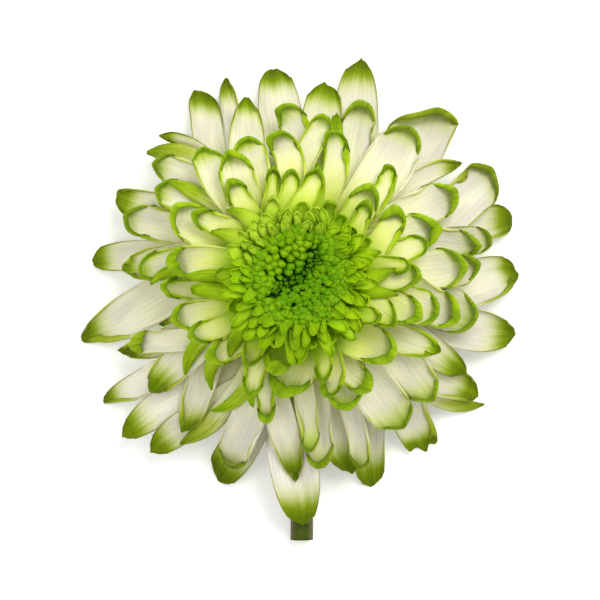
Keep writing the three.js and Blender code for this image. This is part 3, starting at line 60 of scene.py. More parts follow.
FLORETS = [
    ("crown_1", "C", 4.04, -4, 41.6, 3.97, -5.52, 46.58, 3.77, -7.06, 48.75, 3.47, -8.83, 48.73, 3.06, 42.41, 48, 10, 10, 103.73, 0.58, 0.25, 0.66, 2.4, 0.62, 0.45, 0.55, 40, 43.04, 0.25, 0.32, 0.5, 0.04, 0),
    ("crown_1", "C", -9.75, 12.31, 41.6, -10.77, 12.73, 46.33, -11.79, 13.12, 48.26, -12.99, 13.56, 48, 2.49, 50.61, 48, 10, 10, 103.26, 0.59, 0.24, 0.66, 2.4, 0.62, 0.45, 0.55, 40, 28.85, 0.25, 0.3, 0.5, -0.08, 0),
    ("crown_1", "C", -4.97, -3.83, 41.6, -6.21, -4.78, 46.35, -7.57, -5.61, 48.31, -9.18, -6.5, 48.06, 2.82, 52.2, 48, 10, 10, 91.73, 0.59, 0.35, 0.66, 2.4, 0.62, 0.45, 0.55, 40, 29.22, 0.25, 0.22, 0.5, 0.08, 0),
    ("crown_1", "C", -3.25, 17.14, 41.6, -3.55, 18.1, 46.47, -3.85, 19.07, 48.54, -4.2, 20.19, 48.41, 3.05, 51.22, 48, 10, 10, 92.48, 0.61, 0.34, 0.66, 2.4, 0.62, 0.45, 0.55, 40, 35.16, 0.25, 0.26, 0.5, 0.09, 0),
    ("crown_1", "C", -11.48, 6.54, 41.6, -12.64, 7.02, 46.38, -13.78, 7.59, 48.37, -15.08, 8.26, 48.15, 2.93, 44.11, 48, 10, 10, 99.1, 0.7, 0.31, 0.66, 2.4, 0.62, 0.45, 0.55, 40, 30.29, 0.25, 0.27, 0.5, -0.02, 0),
    ("crown_1", "C", 10.91, 6.8, 41.6, 11.99, 7.21, 46.58, 13.05, 7.69, 48.76, 14.28, 8.26, 48.73, 2.59, 47.79, 48, 10, 10, 81.05, 0.61, 0.41, 0.66, 2.4, 0.62, 0.45, 0.55, 40, 41.61, 0.25, 0.28, 0.5, -0.08, 0),
    ("crown_1", "C", 7.7, 14.2, 41.6, 8.94, 14.42, 46.74, 10.24, 14.53, 49.08, 11.72, 14.6, 49.22, 2.23, 51.9, 48, 10, 10, 87.87, 0.66, 0.36, 0.66, 2.4, 0.62, 0.45, 0.55, 40, 42.93, 0.25, 0.24, 0.5, -0.03, 0),
    ("crown_1", "C", -3.19, -4.48, 41.6, -3.59, -5.69, 46.76, -4.02, -6.89, 49.12, -4.52, -8.3, 49.28, 2.9, 50.06, 48, 10, 10, 91.39, 0.66, 0.33, 0.66, 2.4, 0.62, 0.45, 0.55, 40, 28.25, 0.25, 0.24, 0.5, 0.08, 0),
    ("crown_1", "C", 10.92, 6.13, 41.6, 12.14, 5.89, 46.79, 13.36, 5.61, 49.17, 14.78, 5.27, 49.36, 2.38, 44.83, 48, 10, 10, 81.34, 0.59, 0.33, 0.66, 2.4, 0.62, 0.45, 0.55, 40, 41.47, 0.25, 0.21, 0.5, 0.04, 0),
    ("crown_1", "C", -10.52, 10.87, 41.6, -11.42, 11.82, 46.79, -12.25, 12.86, 49.18, -13.19, 14.08, 49.37, 2.37, 54.64, 48, 10, 10, 87.66, 0.68, 0.22, 0.66, 2.4, 0.62, 0.45, 0.55, 40, 32.79, 0.25, 0.28, 0.5, -0.05, 0),
    ("crown_1", "C", -5.76, 16.11, 41.6, -6.3, 17.04, 46.61, -6.84, 17.98, 48.83, -7.47, 19.08, 48.84, 2.33, 42.89, 48, 10, 10, 102.83, 0.71, 0.41, 0.66, 2.4, 0.62, 0.45, 0.55, 40, 33.72, 0.25, 0.18, 0.5, 0.01, 0),
    ("crown_1", "C", -5.99, -3.29, 41.6, -7.33, -4.19, 46.32, -8.78, -4.96, 48.24, -10.49, -5.79, 47.96, 2.8, 50.47, 48, 10, 10, 83.7, 0.53, 0.19, 0.66, 2.4, 0.62, 0.45, 0.55, 40, 38.38, 0.25, 0.22, 0.5, -0.05, 0),
    ("crown_1", "C", 4.6, 16.42, 41.6, 4.89, 17.48, 46.57, 5.15, 18.56, 48.74, 5.44, 19.81, 48.71, 2.88, 46.83, 48, 10, 10, 89.48, 0.55, 0.37, 0.66, 2.4, 0.62, 0.45, 0.55, 40, 41.33, 0.25, 0.29, 0.5, 0.08, 0),
    ("crown_1", "C", 0.13, -4.85, 41.6, -0.17, -6.3, 46.79, -0.55, -7.73, 49.18, -1.02, -9.39, 49.37, 2.57, 49.88, 48, 10, 10, 100.25, 0.58, 0.22, 0.66, 2.4, 0.62, 0.45, 0.55, 40, 32.36, 0.25, 0.24, 0.5, -0.08, 0),
    ("crown_1", "C", -5.05, 16.47, 41.6, -5.27, 17.44, 46.63, -5.45, 18.42, 48.87, -5.66, 19.55, 48.9, 3.04, 45.32, 48, 10, 10, 102.86, 0.56, 0.28, 0.66, 2.4, 0.62, 0.45, 0.55, 40, 43.36, 0.25, 0.26, 0.5, 0.09, 0),
    ("crown_1", "C", -0.24, 17.54, 41.6, 0.44, 18.46, 46.48, 1.21, 19.34, 48.56, 2.11, 20.33, 48.44, 2.52, 51.01, 48, 10, 10, 103.88, 0.64, 0.24, 0.66, 2.4, 0.62, 0.45, 0.55, 40, 38.51, 0.25, 0.27, 0.5, 0.07, 0),
    ("crown_1", "C", -11.26, 8.56, 41.6, -12.19, 9.54, 46.48, -13.04, 10.65, 48.56, -13.98, 11.94, 48.44, 2.59, 41.74, 48, 10, 10, 94.4, 0.65, 0.32, 0.66, 2.4, 0.62, 0.45, 0.55, 40, 37.66, 0.25, 0.26, 0.5, 0.08, 0),
    ("crown_1", "C", -8.72, -1.02, 41.6, -9.69, -1.83, 46.47, -10.66, -2.63, 48.53, -11.8, -3.57, 48.4, 2.99, 42.46, 48, 10, 10, 88.79, 0.62, 0.34, 0.66, 2.4, 0.62, 0.45, 0.55, 40, 29.68, 0.25, 0.29, 0.5, 0.01, 0),
    ("crown_1", "C", 10.31, 2.68, 41.6, 11.44, 1.78, 46.69, 12.52, 0.79, 48.97, 13.75, -0.38, 49.06, 2.75, 43.82, 48, 10, 10, 90.3, 0.63, 0.33, 0.66, 2.4, 0.62, 0.45, 0.55, 40, 29.73, 0.25, 0.2, 0.5, -0.01, 0),
    ("crown_1", "C", -8.11, 14.35, 41.6, -9.04, 14.82, 46.44, -9.99, 15.24, 48.48, -11.11, 15.73, 48.32, 2.26, 52.99, 48, 10, 10, 104.24, 0.56, 0.19, 0.66, 2.4, 0.62, 0.45, 0.55, 40, 43.68, 0.25, 0.29, 0.5, -0.01, 0),
    ("crown_1", "C", 8.95, -0.01, 41.6, 9.98, -1.03, 46.9, 10.98, -2.1, 49.39, 12.12, -3.35, 49.69, 2.78, 54.37, 48, 10, 10, 95.58, 0.69, 0.35, 0.66, 2.4, 0.62, 0.45, 0.55, 40, 28.59, 0.25, 0.23, 0.5, 0.08, 0),
    ("crown_1", "C", 9.72, 1.3, 41.6, 10.97, 0.99, 46.4, 12.23, 0.73, 48.39, 13.7, 0.45, 48.19, 2.57, 53.5, 48, 10, 10, 81.78, 0.69, 0.2, 0.66, 2.4, 0.62, 0.45, 0.55, 40, 41.18, 0.25, 0.24, 0.5, 0.05, 0),
    ("crown_1", "C", -7.94, -1.83, 41.6, -8.22, -3.32, 46.83, -8.33, -4.89, 49.27, -8.38, -6.69, 49.5, 2.37, 43.85, 48, 10, 10, 96.59, 0.67, 0.38, 0.66, 2.4, 0.62, 0.45, 0.55, 40, 32.84, 0.25, 0.21, 0.5, -0.09, 0),
    ("crown_1", "C", 8.22, 13.63, 41.6, 9.42, 13.74, 46.52, 10.66, 13.73, 48.64, 12.07, 13.69, 48.56, 2.5, 41.81, 48, 10, 10, 87.64, 0.68, 0.4, 0.66, 2.4, 0.62, 0.45, 0.55, 40, 40.68, 0.25, 0.26, 0.5, 0.02, 0),
    ("crown_1", "C", -11.15, 3.64, 41.6, -12.27, 2.61, 46.83, -13.3, 1.43, 49.26, -14.44, 0.03, 49.49, 2.9, 47.05, 48, 10, 10, 103.02, 0.57, 0.32, 0.66, 2.4, 0.62, 0.45, 0.55, 40, 37.4, 0.25, 0.24, 0.5, -0.05, 0),
    ("crown_1", "C", -10.13, 1.01, 41.6, -11.35, 0.63, 46.51, -12.58, 0.29, 48.62, -14.02, -0.09, 48.52, 2.51, 52.73, 48, 10, 10, 93.71, 0.51, 0.36, 0.66, 2.4, 0.62, 0.45, 0.55, 40, 36.03, 0.25, 0.29, 0.5, 0, 0),
    ("crown_1", "C", 1.29, 17.43, 41.6, 1.7, 18.34, 46.76, 2.14, 19.24, 49.12, 2.65, 20.29, 49.28, 2.61, 45.39, 48, 10, 10, 94.25, 0.65, 0.32, 0.66, 2.4, 0.62, 0.45, 0.55, 40, 33.09, 0.25, 0.21, 0.5, 0.07, 0),
    ("crown_1", "C", 9.5, 11.8, 41.6, 10.51, 12.32, 46.33, 11.52, 12.84, 48.27, 12.7, 13.45, 48, 2.58, 53.01, 48, 10, 10, 97.8, 0.64, 0.31, 0.66, 2.4, 0.62, 0.45, 0.55, 40, 43.19, 0.25, 0.32, 0.5, -0.03, 0),
    ("crown_1", "C", 5.11, -3.48, 41.6, 5.51, -4.93, 46.67, 5.84, -6.41, 48.94, 6.19, -8.14, 49.01, 2.75, 42.37, 48, 10, 10, 99.56, 0.64, 0.21, 0.66, 2.4, 0.62, 0.45, 0.55, 40, 31.51, 0.25, 0.22, 0.5, -0.01, 0),
    ("crown_1", "C", 7.02, -2.16, 41.6, 8.23, -2.92, 46.39, 9.5, -3.6, 48.38, 10.99, -4.37, 48.16, 2.62, 46.66, 48, 10, 10, 94.37, 0.54, 0.39, 0.66, 2.4, 0.62, 0.45, 0.55, 40, 29.84, 0.25, 0.26, 0.5, 0.09, 0),
    ("crown_1", "C", 10.24, 10.19, 41.6, 11.5, 9.81, 46.68, 12.74, 9.29, 48.96, 14.15, 8.65, 49.04, 2.32, 45.36, 48, 10, 10, 84.5, 0.67, 0.38, 0.66, 2.4, 0.62, 0.45, 0.55, 40, 33.51, 0.25, 0.22, 0.5, -0.08, 0),
    ("crown_1", "C", 2.66, -4.47, 41.6, 2.89, -5.81, 46.87, 3.09, -7.17, 49.35, 3.31, -8.75, 49.62, 2.7, 54.86, 48, 10, 10, 97.61, 0.62, 0.36, 0.66, 2.4, 0.62, 0.45, 0.55, 40, 35.57, 0.25, 0.28, 0.5, -0.06, 0),
    ("crown_1", "C", 5.07, 16.18, 41.6, 5.37, 17.23, 46.79, 5.64, 18.29, 49.17, 5.95, 19.53, 49.36, 3.08, 45.61, 48, 10, 10, 98.28, 0.71, 0.26, 0.66, 2.4, 0.62, 0.45, 0.55, 40, 37.79, 0.25, 0.23, 0.5, -0.01, 0),
    ("crown_1", "C", -11.47, 5.79, 41.6, -12.63, 5.75, 46.59, -13.79, 5.7, 48.78, -15.15, 5.65, 48.77, 2.38, 46.19, 48, 10, 10, 96.62, 0.61, 0.19, 0.66, 2.4, 0.62, 0.45, 0.55, 40, 34.64, 0.25, 0.24, 0.5, -0.01, 0),
    ("crown_2", "C", 2.97, -4.48, 41.2, 4.14, -6.44, 45.96, 5.53, -8.43, 47.73, 7.13, -10.43, 47.09, 3, 45.77, 44, 10, 10, 98.71, 0.6, 0.32, 0.66, 2.4, 0.62, 0.45, 0.55, 50, 51.6, 0.3, 0.28, 0.5, -0.08, 0),
    ("crown_2", "C", 3.04, 17.14, 41.2, 2.91, 18.8, 46.28, 2.63, 20.55, 48.36, 2.2, 22.38, 48.05, 3.77, 43.28, 44, 10, 10, 106.84, 0.82, 0.44, 0.66, 2.4, 0.62, 0.45, 0.55, 50, 41.45, 0.3, 0.27, 0.5, -0.04, 0),
    ("crown_2", "C", 10.54, 3.07, 41.2, 12.35, 1.98, 46.41, 14.19, 0.7, 48.63, 16.05, -0.78, 48.44, 3.52, 48.17, 44, 10, 10, 92.38, 0.8, 0.28, 0.66, 2.4, 0.62, 0.45, 0.55, 50, 36.07, 0.3, 0.29, 0.5, 0.09, 0),
    ("crown_2", "C", 10.82, 8.43, 41.2, 12.7, 8.84, 46.06, 14.67, 9.29, 47.92, 16.74, 9.78, 47.37, 2.74, 49.53, 44, 10, 10, 112.89, 0.6, 0.55, 0.66, 2.4, 0.62, 0.45, 0.55, 50, 37.74, 0.3, 0.26, 0.5, 0.02, 0),
    ("crown_2", "C", 10.98, 7.28, 41.2, 12.73, 7.05, 46.39, 14.56, 6.72, 48.58, 16.48, 6.28, 48.37, 3.76, 49.72, 44, 10, 10, 109.93, 0.8, 0.34, 0.66, 2.4, 0.62, 0.45, 0.55, 50, 38.17, 0.3, 0.28, 0.5, -0.02, 0),
    ("crown_2", "C", -1.29, -4.91, 41.2, -1.37, -7.23, 45.99, -1.43, -9.66, 47.79, -1.44, -12.22, 47.18, 3.29, 43.39, 44, 10, 10, 115.26, 0.82, 0.29, 0.66, 2.4, 0.62, 0.45, 0.55, 50, 47.15, 0.3, 0.3, 0.5, 0.07, 0),
    ("crown_2", "C", -6.25, 15.93, 41.2, -6.77, 17.3, 46.11, -7.27, 18.76, 48.03, -7.75, 20.32, 47.54, 2.92, 37.51, 44, 10, 10, 89.52, 0.74, 0.27, 0.66, 2.4, 0.62, 0.45, 0.55, 50, 41.31, 0.3, 0.38, 0.5, 0.07, 0),
    ("crown_2", "C", -10.17, 11.8, 41.2, -11.62, 12.81, 45.96, -13.11, 13.92, 47.71, -14.66, 15.12, 47.07, 3.08, 50.22, 44, 10, 10, 114.69, 0.78, 0.41, 0.66, 2.4, 0.62, 0.45, 0.55, 50, 38.29, 0.3, 0.38, 0.5, 0.08, 0),
    ("crown_2", "C", 9.64, 0.93, 41.2, 11.86, 0.59, 46.44, 14.24, 0.43, 48.68, 16.77, 0.49, 48.51, 2.78, 49.41, 44, 10, 10, 107.34, 0.74, 0.53, 0.66, 2.4, 0.62, 0.45, 0.55, 50, 43.1, 0.3, 0.33, 0.5, 0.07, 0),
    ("crown_2", "C", 7.63, 14.41, 41.2, 9.13, 15.15, 46.5, 10.77, 15.83, 48.79, 12.55, 16.43, 48.69, 3.8, 42.93, 44, 10, 10, 100.38, 0.71, 0.36, 0.66, 2.4, 0.62, 0.45, 0.55, 50, 44.31, 0.3, 0.22, 0.5, -0.08, 0),
    ("crown_2", "C", -3.32, -4.54, 41.2, -4.03, -6.77, 46.05, -4.8, -9.11, 47.89, -5.63, -11.56, 47.34, 2.85, 45.32, 44, 10, 10, 111.21, 0.82, 0.54, 0.66, 2.4, 0.62, 0.45, 0.55, 50, 46.63, 0.3, 0.3, 0.5, 0.06, 0),
    ("crown_2", "C", 9.64, 11.76, 41.2, 10.97, 12.59, 46.21, 12.36, 13.47, 48.23, 13.81, 14.42, 47.84, 3.26, 47.54, 44, 10, 10, 93.47, 0.78, 0.25, 0.66, 2.4, 0.62, 0.45, 0.55, 50, 37.7, 0.3, 0.23, 0.5, -0.04, 0),
    ("crown_2", "C", -7.76, -2.13, 41.2, -9.29, -3.56, 46.09, -10.93, -5.03, 47.98, -12.7, -6.53, 47.48, 2.76, 39.45, 44, 10, 10, 93.73, 0.78, 0.32, 0.66, 2.4, 0.62, 0.45, 0.55, 50, 49.94, 0.3, 0.27, 0.5, 0.03, 0),
    ("crown_2", "C", 5.68, -3.26, 41.2, 7.57, -4.82, 46.46, 9.73, -6.28, 48.71, 12.17, -7.61, 48.57, 3.7, 42.7, 44, 10, 10, 96.57, 0.71, 0.48, 0.66, 2.4, 0.62, 0.45, 0.55, 50, 45.18, 0.3, 0.28, 0.5, 0.02, 0),
    ("crown_2", "C", 5.69, 15.94, 41.2, 6.84, 16.89, 46.08, 8.12, 17.83, 47.96, 9.52, 18.75, 47.44, 2.78, 44.31, 44, 10, 10, 100.18, 0.61, 0.42, 0.66, 2.4, 0.62, 0.45, 0.55, 50, 51.07, 0.3, 0.23, 0.5, -0.04, 0),
    ("crown_2", "C", -3.75, 17.1, 41.2, -3.73, 18.76, 45.98, -3.59, 20.53, 47.76, -3.34, 22.38, 47.14, 3.17, 47.79, 44, 10, 10, 95.91, 0.62, 0.54, 0.66, 2.4, 0.62, 0.45, 0.55, 50, 37.53, 0.3, 0.32, 0.5, -0.04, 0),
    ("crown_2", "C", 0.22, 17.63, 41.2, -0.03, 19.25, 46.41, -0.36, 20.96, 48.63, -0.79, 22.74, 48.44, 2.72, 49.28, 44, 10, 10, 113.4, 0.6, 0.45, 0.66, 2.4, 0.62, 0.45, 0.55, 50, 42.7, 0.3, 0.32, 0.5, 0.02, 0),
    ("crown_2", "C", 4.1, 16.76, 41.2, 4.07, 18.41, 46.18, 3.89, 20.17, 48.15, 3.56, 22.01, 47.73, 3.4, 45.36, 44, 10, 10, 100.9, 0.71, 0.52, 0.66, 2.4, 0.62, 0.45, 0.55, 50, 39.17, 0.3, 0.38, 0.5, -0.09, 0),
    ("crown_2", "C", -11.48, 7.84, 41.2, -13.42, 7.22, 46.47, -15.42, 6.35, 48.74, -17.46, 5.2, 48.6, 3.47, 47.82, 44, 10, 10, 115.02, 0.63, 0.25, 0.66, 2.4, 0.62, 0.45, 0.55, 50, 49.93, 0.3, 0.32, 0.5, -0.08, 0),
    ("crown_2", "C", -10.74, 10.61, 41.2, -12.7, 10.64, 45.96, -14.78, 10.5, 47.73, -16.98, 10.16, 47.09, 3.38, 50.44, 44, 10, 10, 100.5, 0.75, 0.49, 0.66, 2.4, 0.62, 0.45, 0.55, 50, 40.2, 0.3, 0.33, 0.5, 0.07, 0),
    ("crown_2", "C", -1.67, 17.55, 41.2, -2.52, 18.83, 46.38, -3.54, 20.1, 48.56, -4.72, 21.37, 48.34, 2.94, 40.18, 44, 10, 10, 99.16, 0.69, 0.52, 0.66, 2.4, 0.62, 0.45, 0.55, 50, 39.04, 0.3, 0.29, 0.5, 0.03, 0),
    ("crown_2", "C", 10.96, 5.17, 41.2, 13.04, 5.21, 46.05, 15.24, 5.32, 47.9, 17.54, 5.5, 47.35, 2.91, 40.74, 44, 10, 10, 113.7, 0.81, 0.48, 0.66, 2.4, 0.62, 0.45, 0.55, 50, 44.47, 0.3, 0.37, 0.5, -0.07, 0),
    ("crown_2", "C", -10.15, 0.84, 41.2, -11.99, -0.1, 45.98, -13.94, -1.07, 47.76, -15.99, -2.07, 47.14, 2.81, 47.17, 44, 10, 10, 98.8, 0.68, 0.27, 0.66, 2.4, 0.62, 0.45, 0.55, 50, 38.72, 0.3, 0.3, 0.5, -0.08, 0),
    ("crown_2", "C", -6.95, -2.78, 41.2, -8.11, -4.69, 46.31, -9.28, -6.74, 48.41, -10.46, -8.91, 48.12, 3.4, 37.92, 44, 10, 10, 113.02, 0.81, 0.3, 0.66, 2.4, 0.62, 0.45, 0.55, 50, 42.76, 0.3, 0.37, 0.5, -0.01, 0),
    ("crown_2", "C", 2.17, -4.69, 41.2, 2.04, -6.89, 46.43, 1.73, -9.21, 48.67, 1.23, -11.64, 48.5, 3.09, 42.38, 44, 10, 10, 110.73, 0.64, 0.3, 0.66, 2.4, 0.62, 0.45, 0.55, 50, 54.85, 0.3, 0.22, 0.5, -0.04, 0),
    ("crown_2", "C", 8.95, 12.85, 41.2, 10.16, 14.2, 46.07, 11.37, 15.69, 47.95, 12.56, 17.32, 47.42, 3.51, 41.72, 44, 10, 10, 98.03, 0.83, 0.44, 0.66, 2.4, 0.62, 0.45, 0.55, 50, 54.01, 0.3, 0.35, 0.5, 0.07, 0),
    ("crown_2", "C", 7.83, -1.53, 41.2, 9.98, -2.52, 46.14, 12.37, -3.36, 48.07, 14.98, -4.02, 47.61, 3.54, 43.08, 44, 10, 10, 101.31, 0.84, 0.55, 0.66, 2.4, 0.62, 0.45, 0.55, 50, 35.13, 0.3, 0.36, 0.5, -0.03, 0),
    ("crown_2", "C", -11.55, 5.59, 41.2, -13.45, 6.02, 46.05, -15.42, 6.62, 47.9, -17.46, 7.39, 47.35, 3.37, 39.43, 44, 10, 10, 107.93, 0.81, 0.46, 0.66, 2.4, 0.62, 0.45, 0.55, 50, 40.3, 0.3, 0.28, 0.5, 0, 0),
    ("crown_2", "C", -7.13, 15.33, 41.2, -8.04, 16.56, 46.05, -9, 17.85, 47.89, -10.01, 19.21, 47.34, 3.33, 42.75, 44, 10, 10, 108.74, 0.75, 0.45, 0.66, 2.4, 0.62, 0.45, 0.55, 50, 37.98, 0.3, 0.34, 0.5, 0.03, 0),
    ("crown_2", "C", -4.24, -4.24, 41.2, -5.81, -5.95, 46.42, -7.67, -7.59, 48.64, -9.81, -9.12, 48.45, 2.8, 42.36, 44, 10, 10, 95.8, 0.72, 0.29, 0.66, 2.4, 0.62, 0.45, 0.55, 50, 47.83, 0.3, 0.31, 0.5, 0.07, 0),
    ("crown_2", "C", -8.94, 13.59, 41.2, -10.14, 14.95, 46.11, -11.35, 16.42, 48.01, -12.58, 18.02, 47.52, 3.41, 45.56, 44, 10, 10, 89.6, 0.74, 0.49, 0.66, 2.4, 0.62, 0.45, 0.55, 50, 54, 0.3, 0.34, 0.5, -0.08, 0),
    ("crown_2", "C", -8.93, -0.93, 41.2, -10.21, -2.73, 46.01, -11.44, -4.72, 47.82, -12.6, -6.91, 47.22, 3.46, 45.5, 44, 10, 10, 92.5, 0.68, 0.39, 0.66, 2.4, 0.62, 0.45, 0.55, 50, 42.57, 0.3, 0.25, 0.5, -0.05, 0),
    ("crown_2", "C", 8.27, -1.04, 41.2, 9.62, -2.9, 46.01, 10.91, -4.95, 47.81, 12.14, -7.2, 47.22, 2.96, 44.81, 44, 10, 10, 91.96, 0.67, 0.5, 0.66, 2.4, 0.62, 0.45, 0.55, 50, 44.72, 0.3, 0.38, 0.5, 0.04, 0),
    ("crown_2", "C", -11.2, 3.45, 41.2, -13.35, 3.41, 46.08, -15.62, 3.51, 47.96, -18.01, 3.76, 47.44, 3.6, 47.64, 44, 10, 10, 90.35, 0.75, 0.28, 0.66, 2.4, 0.62, 0.45, 0.55, 50, 45.95, 0.3, 0.26, 0.5, 0.07, 0),
    ("crown_3", "C", 8.98, -0.31, 40.4, 10.81, -2.19, 45.3, 13.44, -4.96, 46.81, 15.53, -7.59, 46.11, 3.85, 45.13, 42, 10, 10, 98.54, 0.69, 0.41, 0.66, 2.4, 0.62, 0.45, 0.5, 70, 52.61, 0.45, 0.44, 0.5, -0.03, 0),
    ("crown_3", "C", -10.4, 11.58, 40.4, -11.87, 13.01, 45.17, -14, 15.07, 46.55, -15.66, 17.11, 45.72, 4.35, 40.64, 42, 10, 10, 98.16, 0.9, 0.8, 0.66, 2.4, 0.62, 0.45, 0.5, 70, 72.23, 0.45, 0.51, 0.5, -0.08, 0),
    ("crown_3", "C", -6.7, -3.08, 40.4, -8.59, -4.9, 45.46, -11.36, -7.5, 47.12, -14.02, -9.55, 46.57, 3.66, 44.46, 42, 10, 10, 107.29, 0.92, 0.76, 0.66, 2.4, 0.62, 0.45, 0.5, 70, 57.34, 0.45, 0.32, 0.5, 0.03, 0),
    ("crown_3", "C", 2.02, 17.51, 40.4, 2.44, 19.17, 45.68, 3.04, 21.6, 47.55, 3.6, 23.72, 47.23, 3.4, 45.28, 42, 10, 10, 99.04, 0.73, 0.57, 0.66, 2.4, 0.62, 0.45, 0.5, 70, 58.53, 0.45, 0.58, 0.5, -0.07, 0),
    ("crown_3", "C", -5.61, 16.42, 40.4, -6.62, 17.95, 45.24, -8.09, 20.19, 46.67, -9.45, 22.09, 45.91, 4.44, 42.52, 42, 10, 10, 103.78, 0.68, 0.76, 0.66, 2.4, 0.62, 0.45, 0.5, 70, 71.86, 0.45, 0.34, 0.5, -0.07, 0),
    ("crown_3", "C", 1, -4.99, 40.4, 0.79, -7.64, 45.42, 0.44, -11.48, 47.03, -0.19, -14.83, 46.45, 3.55, 41.2, 42, 10, 10, 95.03, 0.74, 0.4, 0.66, 2.4, 0.62, 0.45, 0.5, 70, 71.36, 0.45, 0.45, 0.5, -0.05, 0),
    ("crown_3", "C", -10.09, 0.54, 40.4, -12.05, -1.19, 45.19, -14.85, -3.72, 46.57, -17.11, -6.17, 45.76, 3.52, 47.74, 42, 10, 10, 95.78, 0.86, 0.65, 0.66, 2.4, 0.62, 0.45, 0.5, 70, 62.44, 0.45, 0.36, 0.5, -0.05, 0),
    ("crown_3", "C", -2.99, -4.73, 40.4, -2.95, -7.78, 45.23, -2.75, -12.18, 46.66, -2.05, -16.05, 45.89, 3.29, 46.89, 42, 10, 10, 109.05, 0.91, 0.59, 0.66, 2.4, 0.62, 0.45, 0.5, 70, 56.04, 0.45, 0.54, 0.5, -0.03, 0),
    ("crown_3", "C", 7.54, -1.96, 40.4, 9.31, -4.04, 45.69, 11.88, -7.09, 47.59, 14.05, -9.82, 47.28, 3.52, 47.32, 42, 10, 10, 115.9, 0.94, 0.46, 0.66, 2.4, 0.62, 0.45, 0.5, 70, 62.14, 0.45, 0.4, 0.5, -0.01, 0),
    ("crown_3", "C", -7.52, 15.15, 40.4, -8.13, 16.9, 45.19, -9.04, 19.39, 46.57, -9.56, 21.72, 45.76, 3.98, 44.65, 42, 10, 10, 119.65, 0.89, 0.54, 0.66, 2.4, 0.62, 0.45, 0.5, 70, 70.24, 0.45, 0.33, 0.5, 0.02, 0),
    ("crown_3", "C", 9.84, 11.58, 40.4, 11.53, 12.91, 45.11, 13.96, 14.82, 46.41, 15.97, 16.68, 45.52, 4.31, 36.65, 42, 10, 10, 111.55, 0.82, 0.59, 0.66, 2.4, 0.62, 0.45, 0.5, 70, 75.76, 0.45, 0.32, 0.5, -0.05, 0),
    ("crown_3", "C", -11.15, 2.89, 40.4, -13.65, 2.46, 45.51, -17.29, 1.85, 47.22, -20.53, 1.52, 46.73, 3.45, 47.28, 42, 10, 10, 95.46, 0.81, 0.53, 0.66, 2.4, 0.62, 0.45, 0.5, 70, 53.47, 0.45, 0.58, 0.5, -0.06, 0),
    ("crown_3", "C", 3.86, -4.28, 40.4, 5.01, -6.94, 45.38, 6.69, -10.81, 46.95, 8.23, -14.16, 46.33, 3.65, 38.76, 42, 10, 10, 101.11, 0.78, 0.63, 0.66, 2.4, 0.62, 0.45, 0.5, 70, 49.86, 0.45, 0.42, 0.5, -0.03, 0),
    ("crown_3", "C", 0.88, -5, 40.4, 0.74, -7.98, 45.41, 0.46, -12.3, 47.01, -0.09, -16.08, 46.42, 4.28, 36.27, 42, 10, 10, 118.25, 0.84, 0.37, 0.66, 2.4, 0.62, 0.45, 0.5, 70, 63.56, 0.45, 0.45, 0.5, -0.06, 0),
    ("crown_3", "C", -11.44, 8.68, 40.4, -13.46, 9.93, 45.44, -16.35, 11.75, 47.08, -18.68, 13.76, 46.51, 4.55, 37.37, 42, 10, 10, 112.55, 0.77, 0.45, 0.66, 2.4, 0.62, 0.45, 0.5, 70, 52.94, 0.45, 0.5, 0.5, -0.04, 0),
    ("crown_3", "C", 11, 4.69, 40.4, 13.4, 4.55, 45.14, 16.88, 4.34, 46.48, 19.93, 4.29, 45.62, 3.81, 46.88, 42, 10, 10, 110.5, 0.87, 0.59, 0.66, 2.4, 0.62, 0.45, 0.5, 70, 49.14, 0.45, 0.42, 0.5, -0.04, 0),
    ("crown_3", "C", 8.91, 13.09, 40.4, 9.97, 14.7, 45.52, 11.52, 16.99, 47.23, 12.62, 19.21, 46.75, 3.56, 41.47, 42, 10, 10, 100.46, 0.79, 0.65, 0.66, 2.4, 0.62, 0.45, 0.5, 70, 70.63, 0.45, 0.33, 0.5, 0.04, 0),
    ("crown_3", "C", -8.42, -1.65, 40.4, -10.72, -3.27, 45.54, -14.1, -5.59, 47.28, -17.23, -7.38, 46.83, 4.25, 39.45, 42, 10, 10, 101.24, 0.89, 0.69, 0.66, 2.4, 0.62, 0.45, 0.5, 70, 56.65, 0.45, 0.36, 0.5, -0.08, 0),
    ("crown_3", "C", -8.42, 14.33, 40.4, -9.46, 15.85, 45.2, -10.98, 18.04, 46.59, -12.18, 20.06, 45.79, 3.53, 39.54, 42, 10, 10, 97.25, 0.87, 0.39, 0.66, 2.4, 0.62, 0.45, 0.5, 70, 65.28, 0.45, 0.36, 0.5, 0, 0),
    ("crown_3", "C", -3.67, 17.22, 40.4, -3.63, 18.93, 45.51, -3.62, 21.37, 47.23, -3.36, 23.54, 46.74, 3.5, 36.55, 42, 10, 10, 114.11, 0.73, 0.42, 0.66, 2.4, 0.62, 0.45, 0.5, 70, 55.29, 0.45, 0.39, 0.5, -0.09, 0),
    ("crown_3", "C", 5.37, 16.24, 40.4, 5.56, 18.13, 45.53, 5.86, 20.8, 47.25, 5.76, 23.24, 46.78, 4.39, 41.99, 42, 10, 10, 96.44, 0.94, 0.54, 0.66, 2.4, 0.62, 0.45, 0.5, 70, 55.34, 0.45, 0.55, 0.5, -0.07, 0),
    ("crown_3", "C", -0.71, 17.73, 40.4, -1.5, 19.25, 45.15, -2.56, 21.43, 46.51, -3.81, 23.23, 45.66, 3.49, 36.73, 42, 10, 10, 100.91, 0.86, 0.62, 0.66, 2.4, 0.62, 0.45, 0.5, 70, 68.51, 0.45, 0.58, 0.5, -0.04, 0),
    ("crown_3", "C", 7.53, 14.65, 40.4, 9.08, 15.5, 45.25, 11.3, 16.76, 46.69, 13.39, 17.65, 45.94, 4.46, 44.27, 42, 10, 10, 100.04, 0.84, 0.63, 0.66, 2.4, 0.62, 0.45, 0.5, 70, 51.04, 0.45, 0.54, 0.5, -0.02, 0),
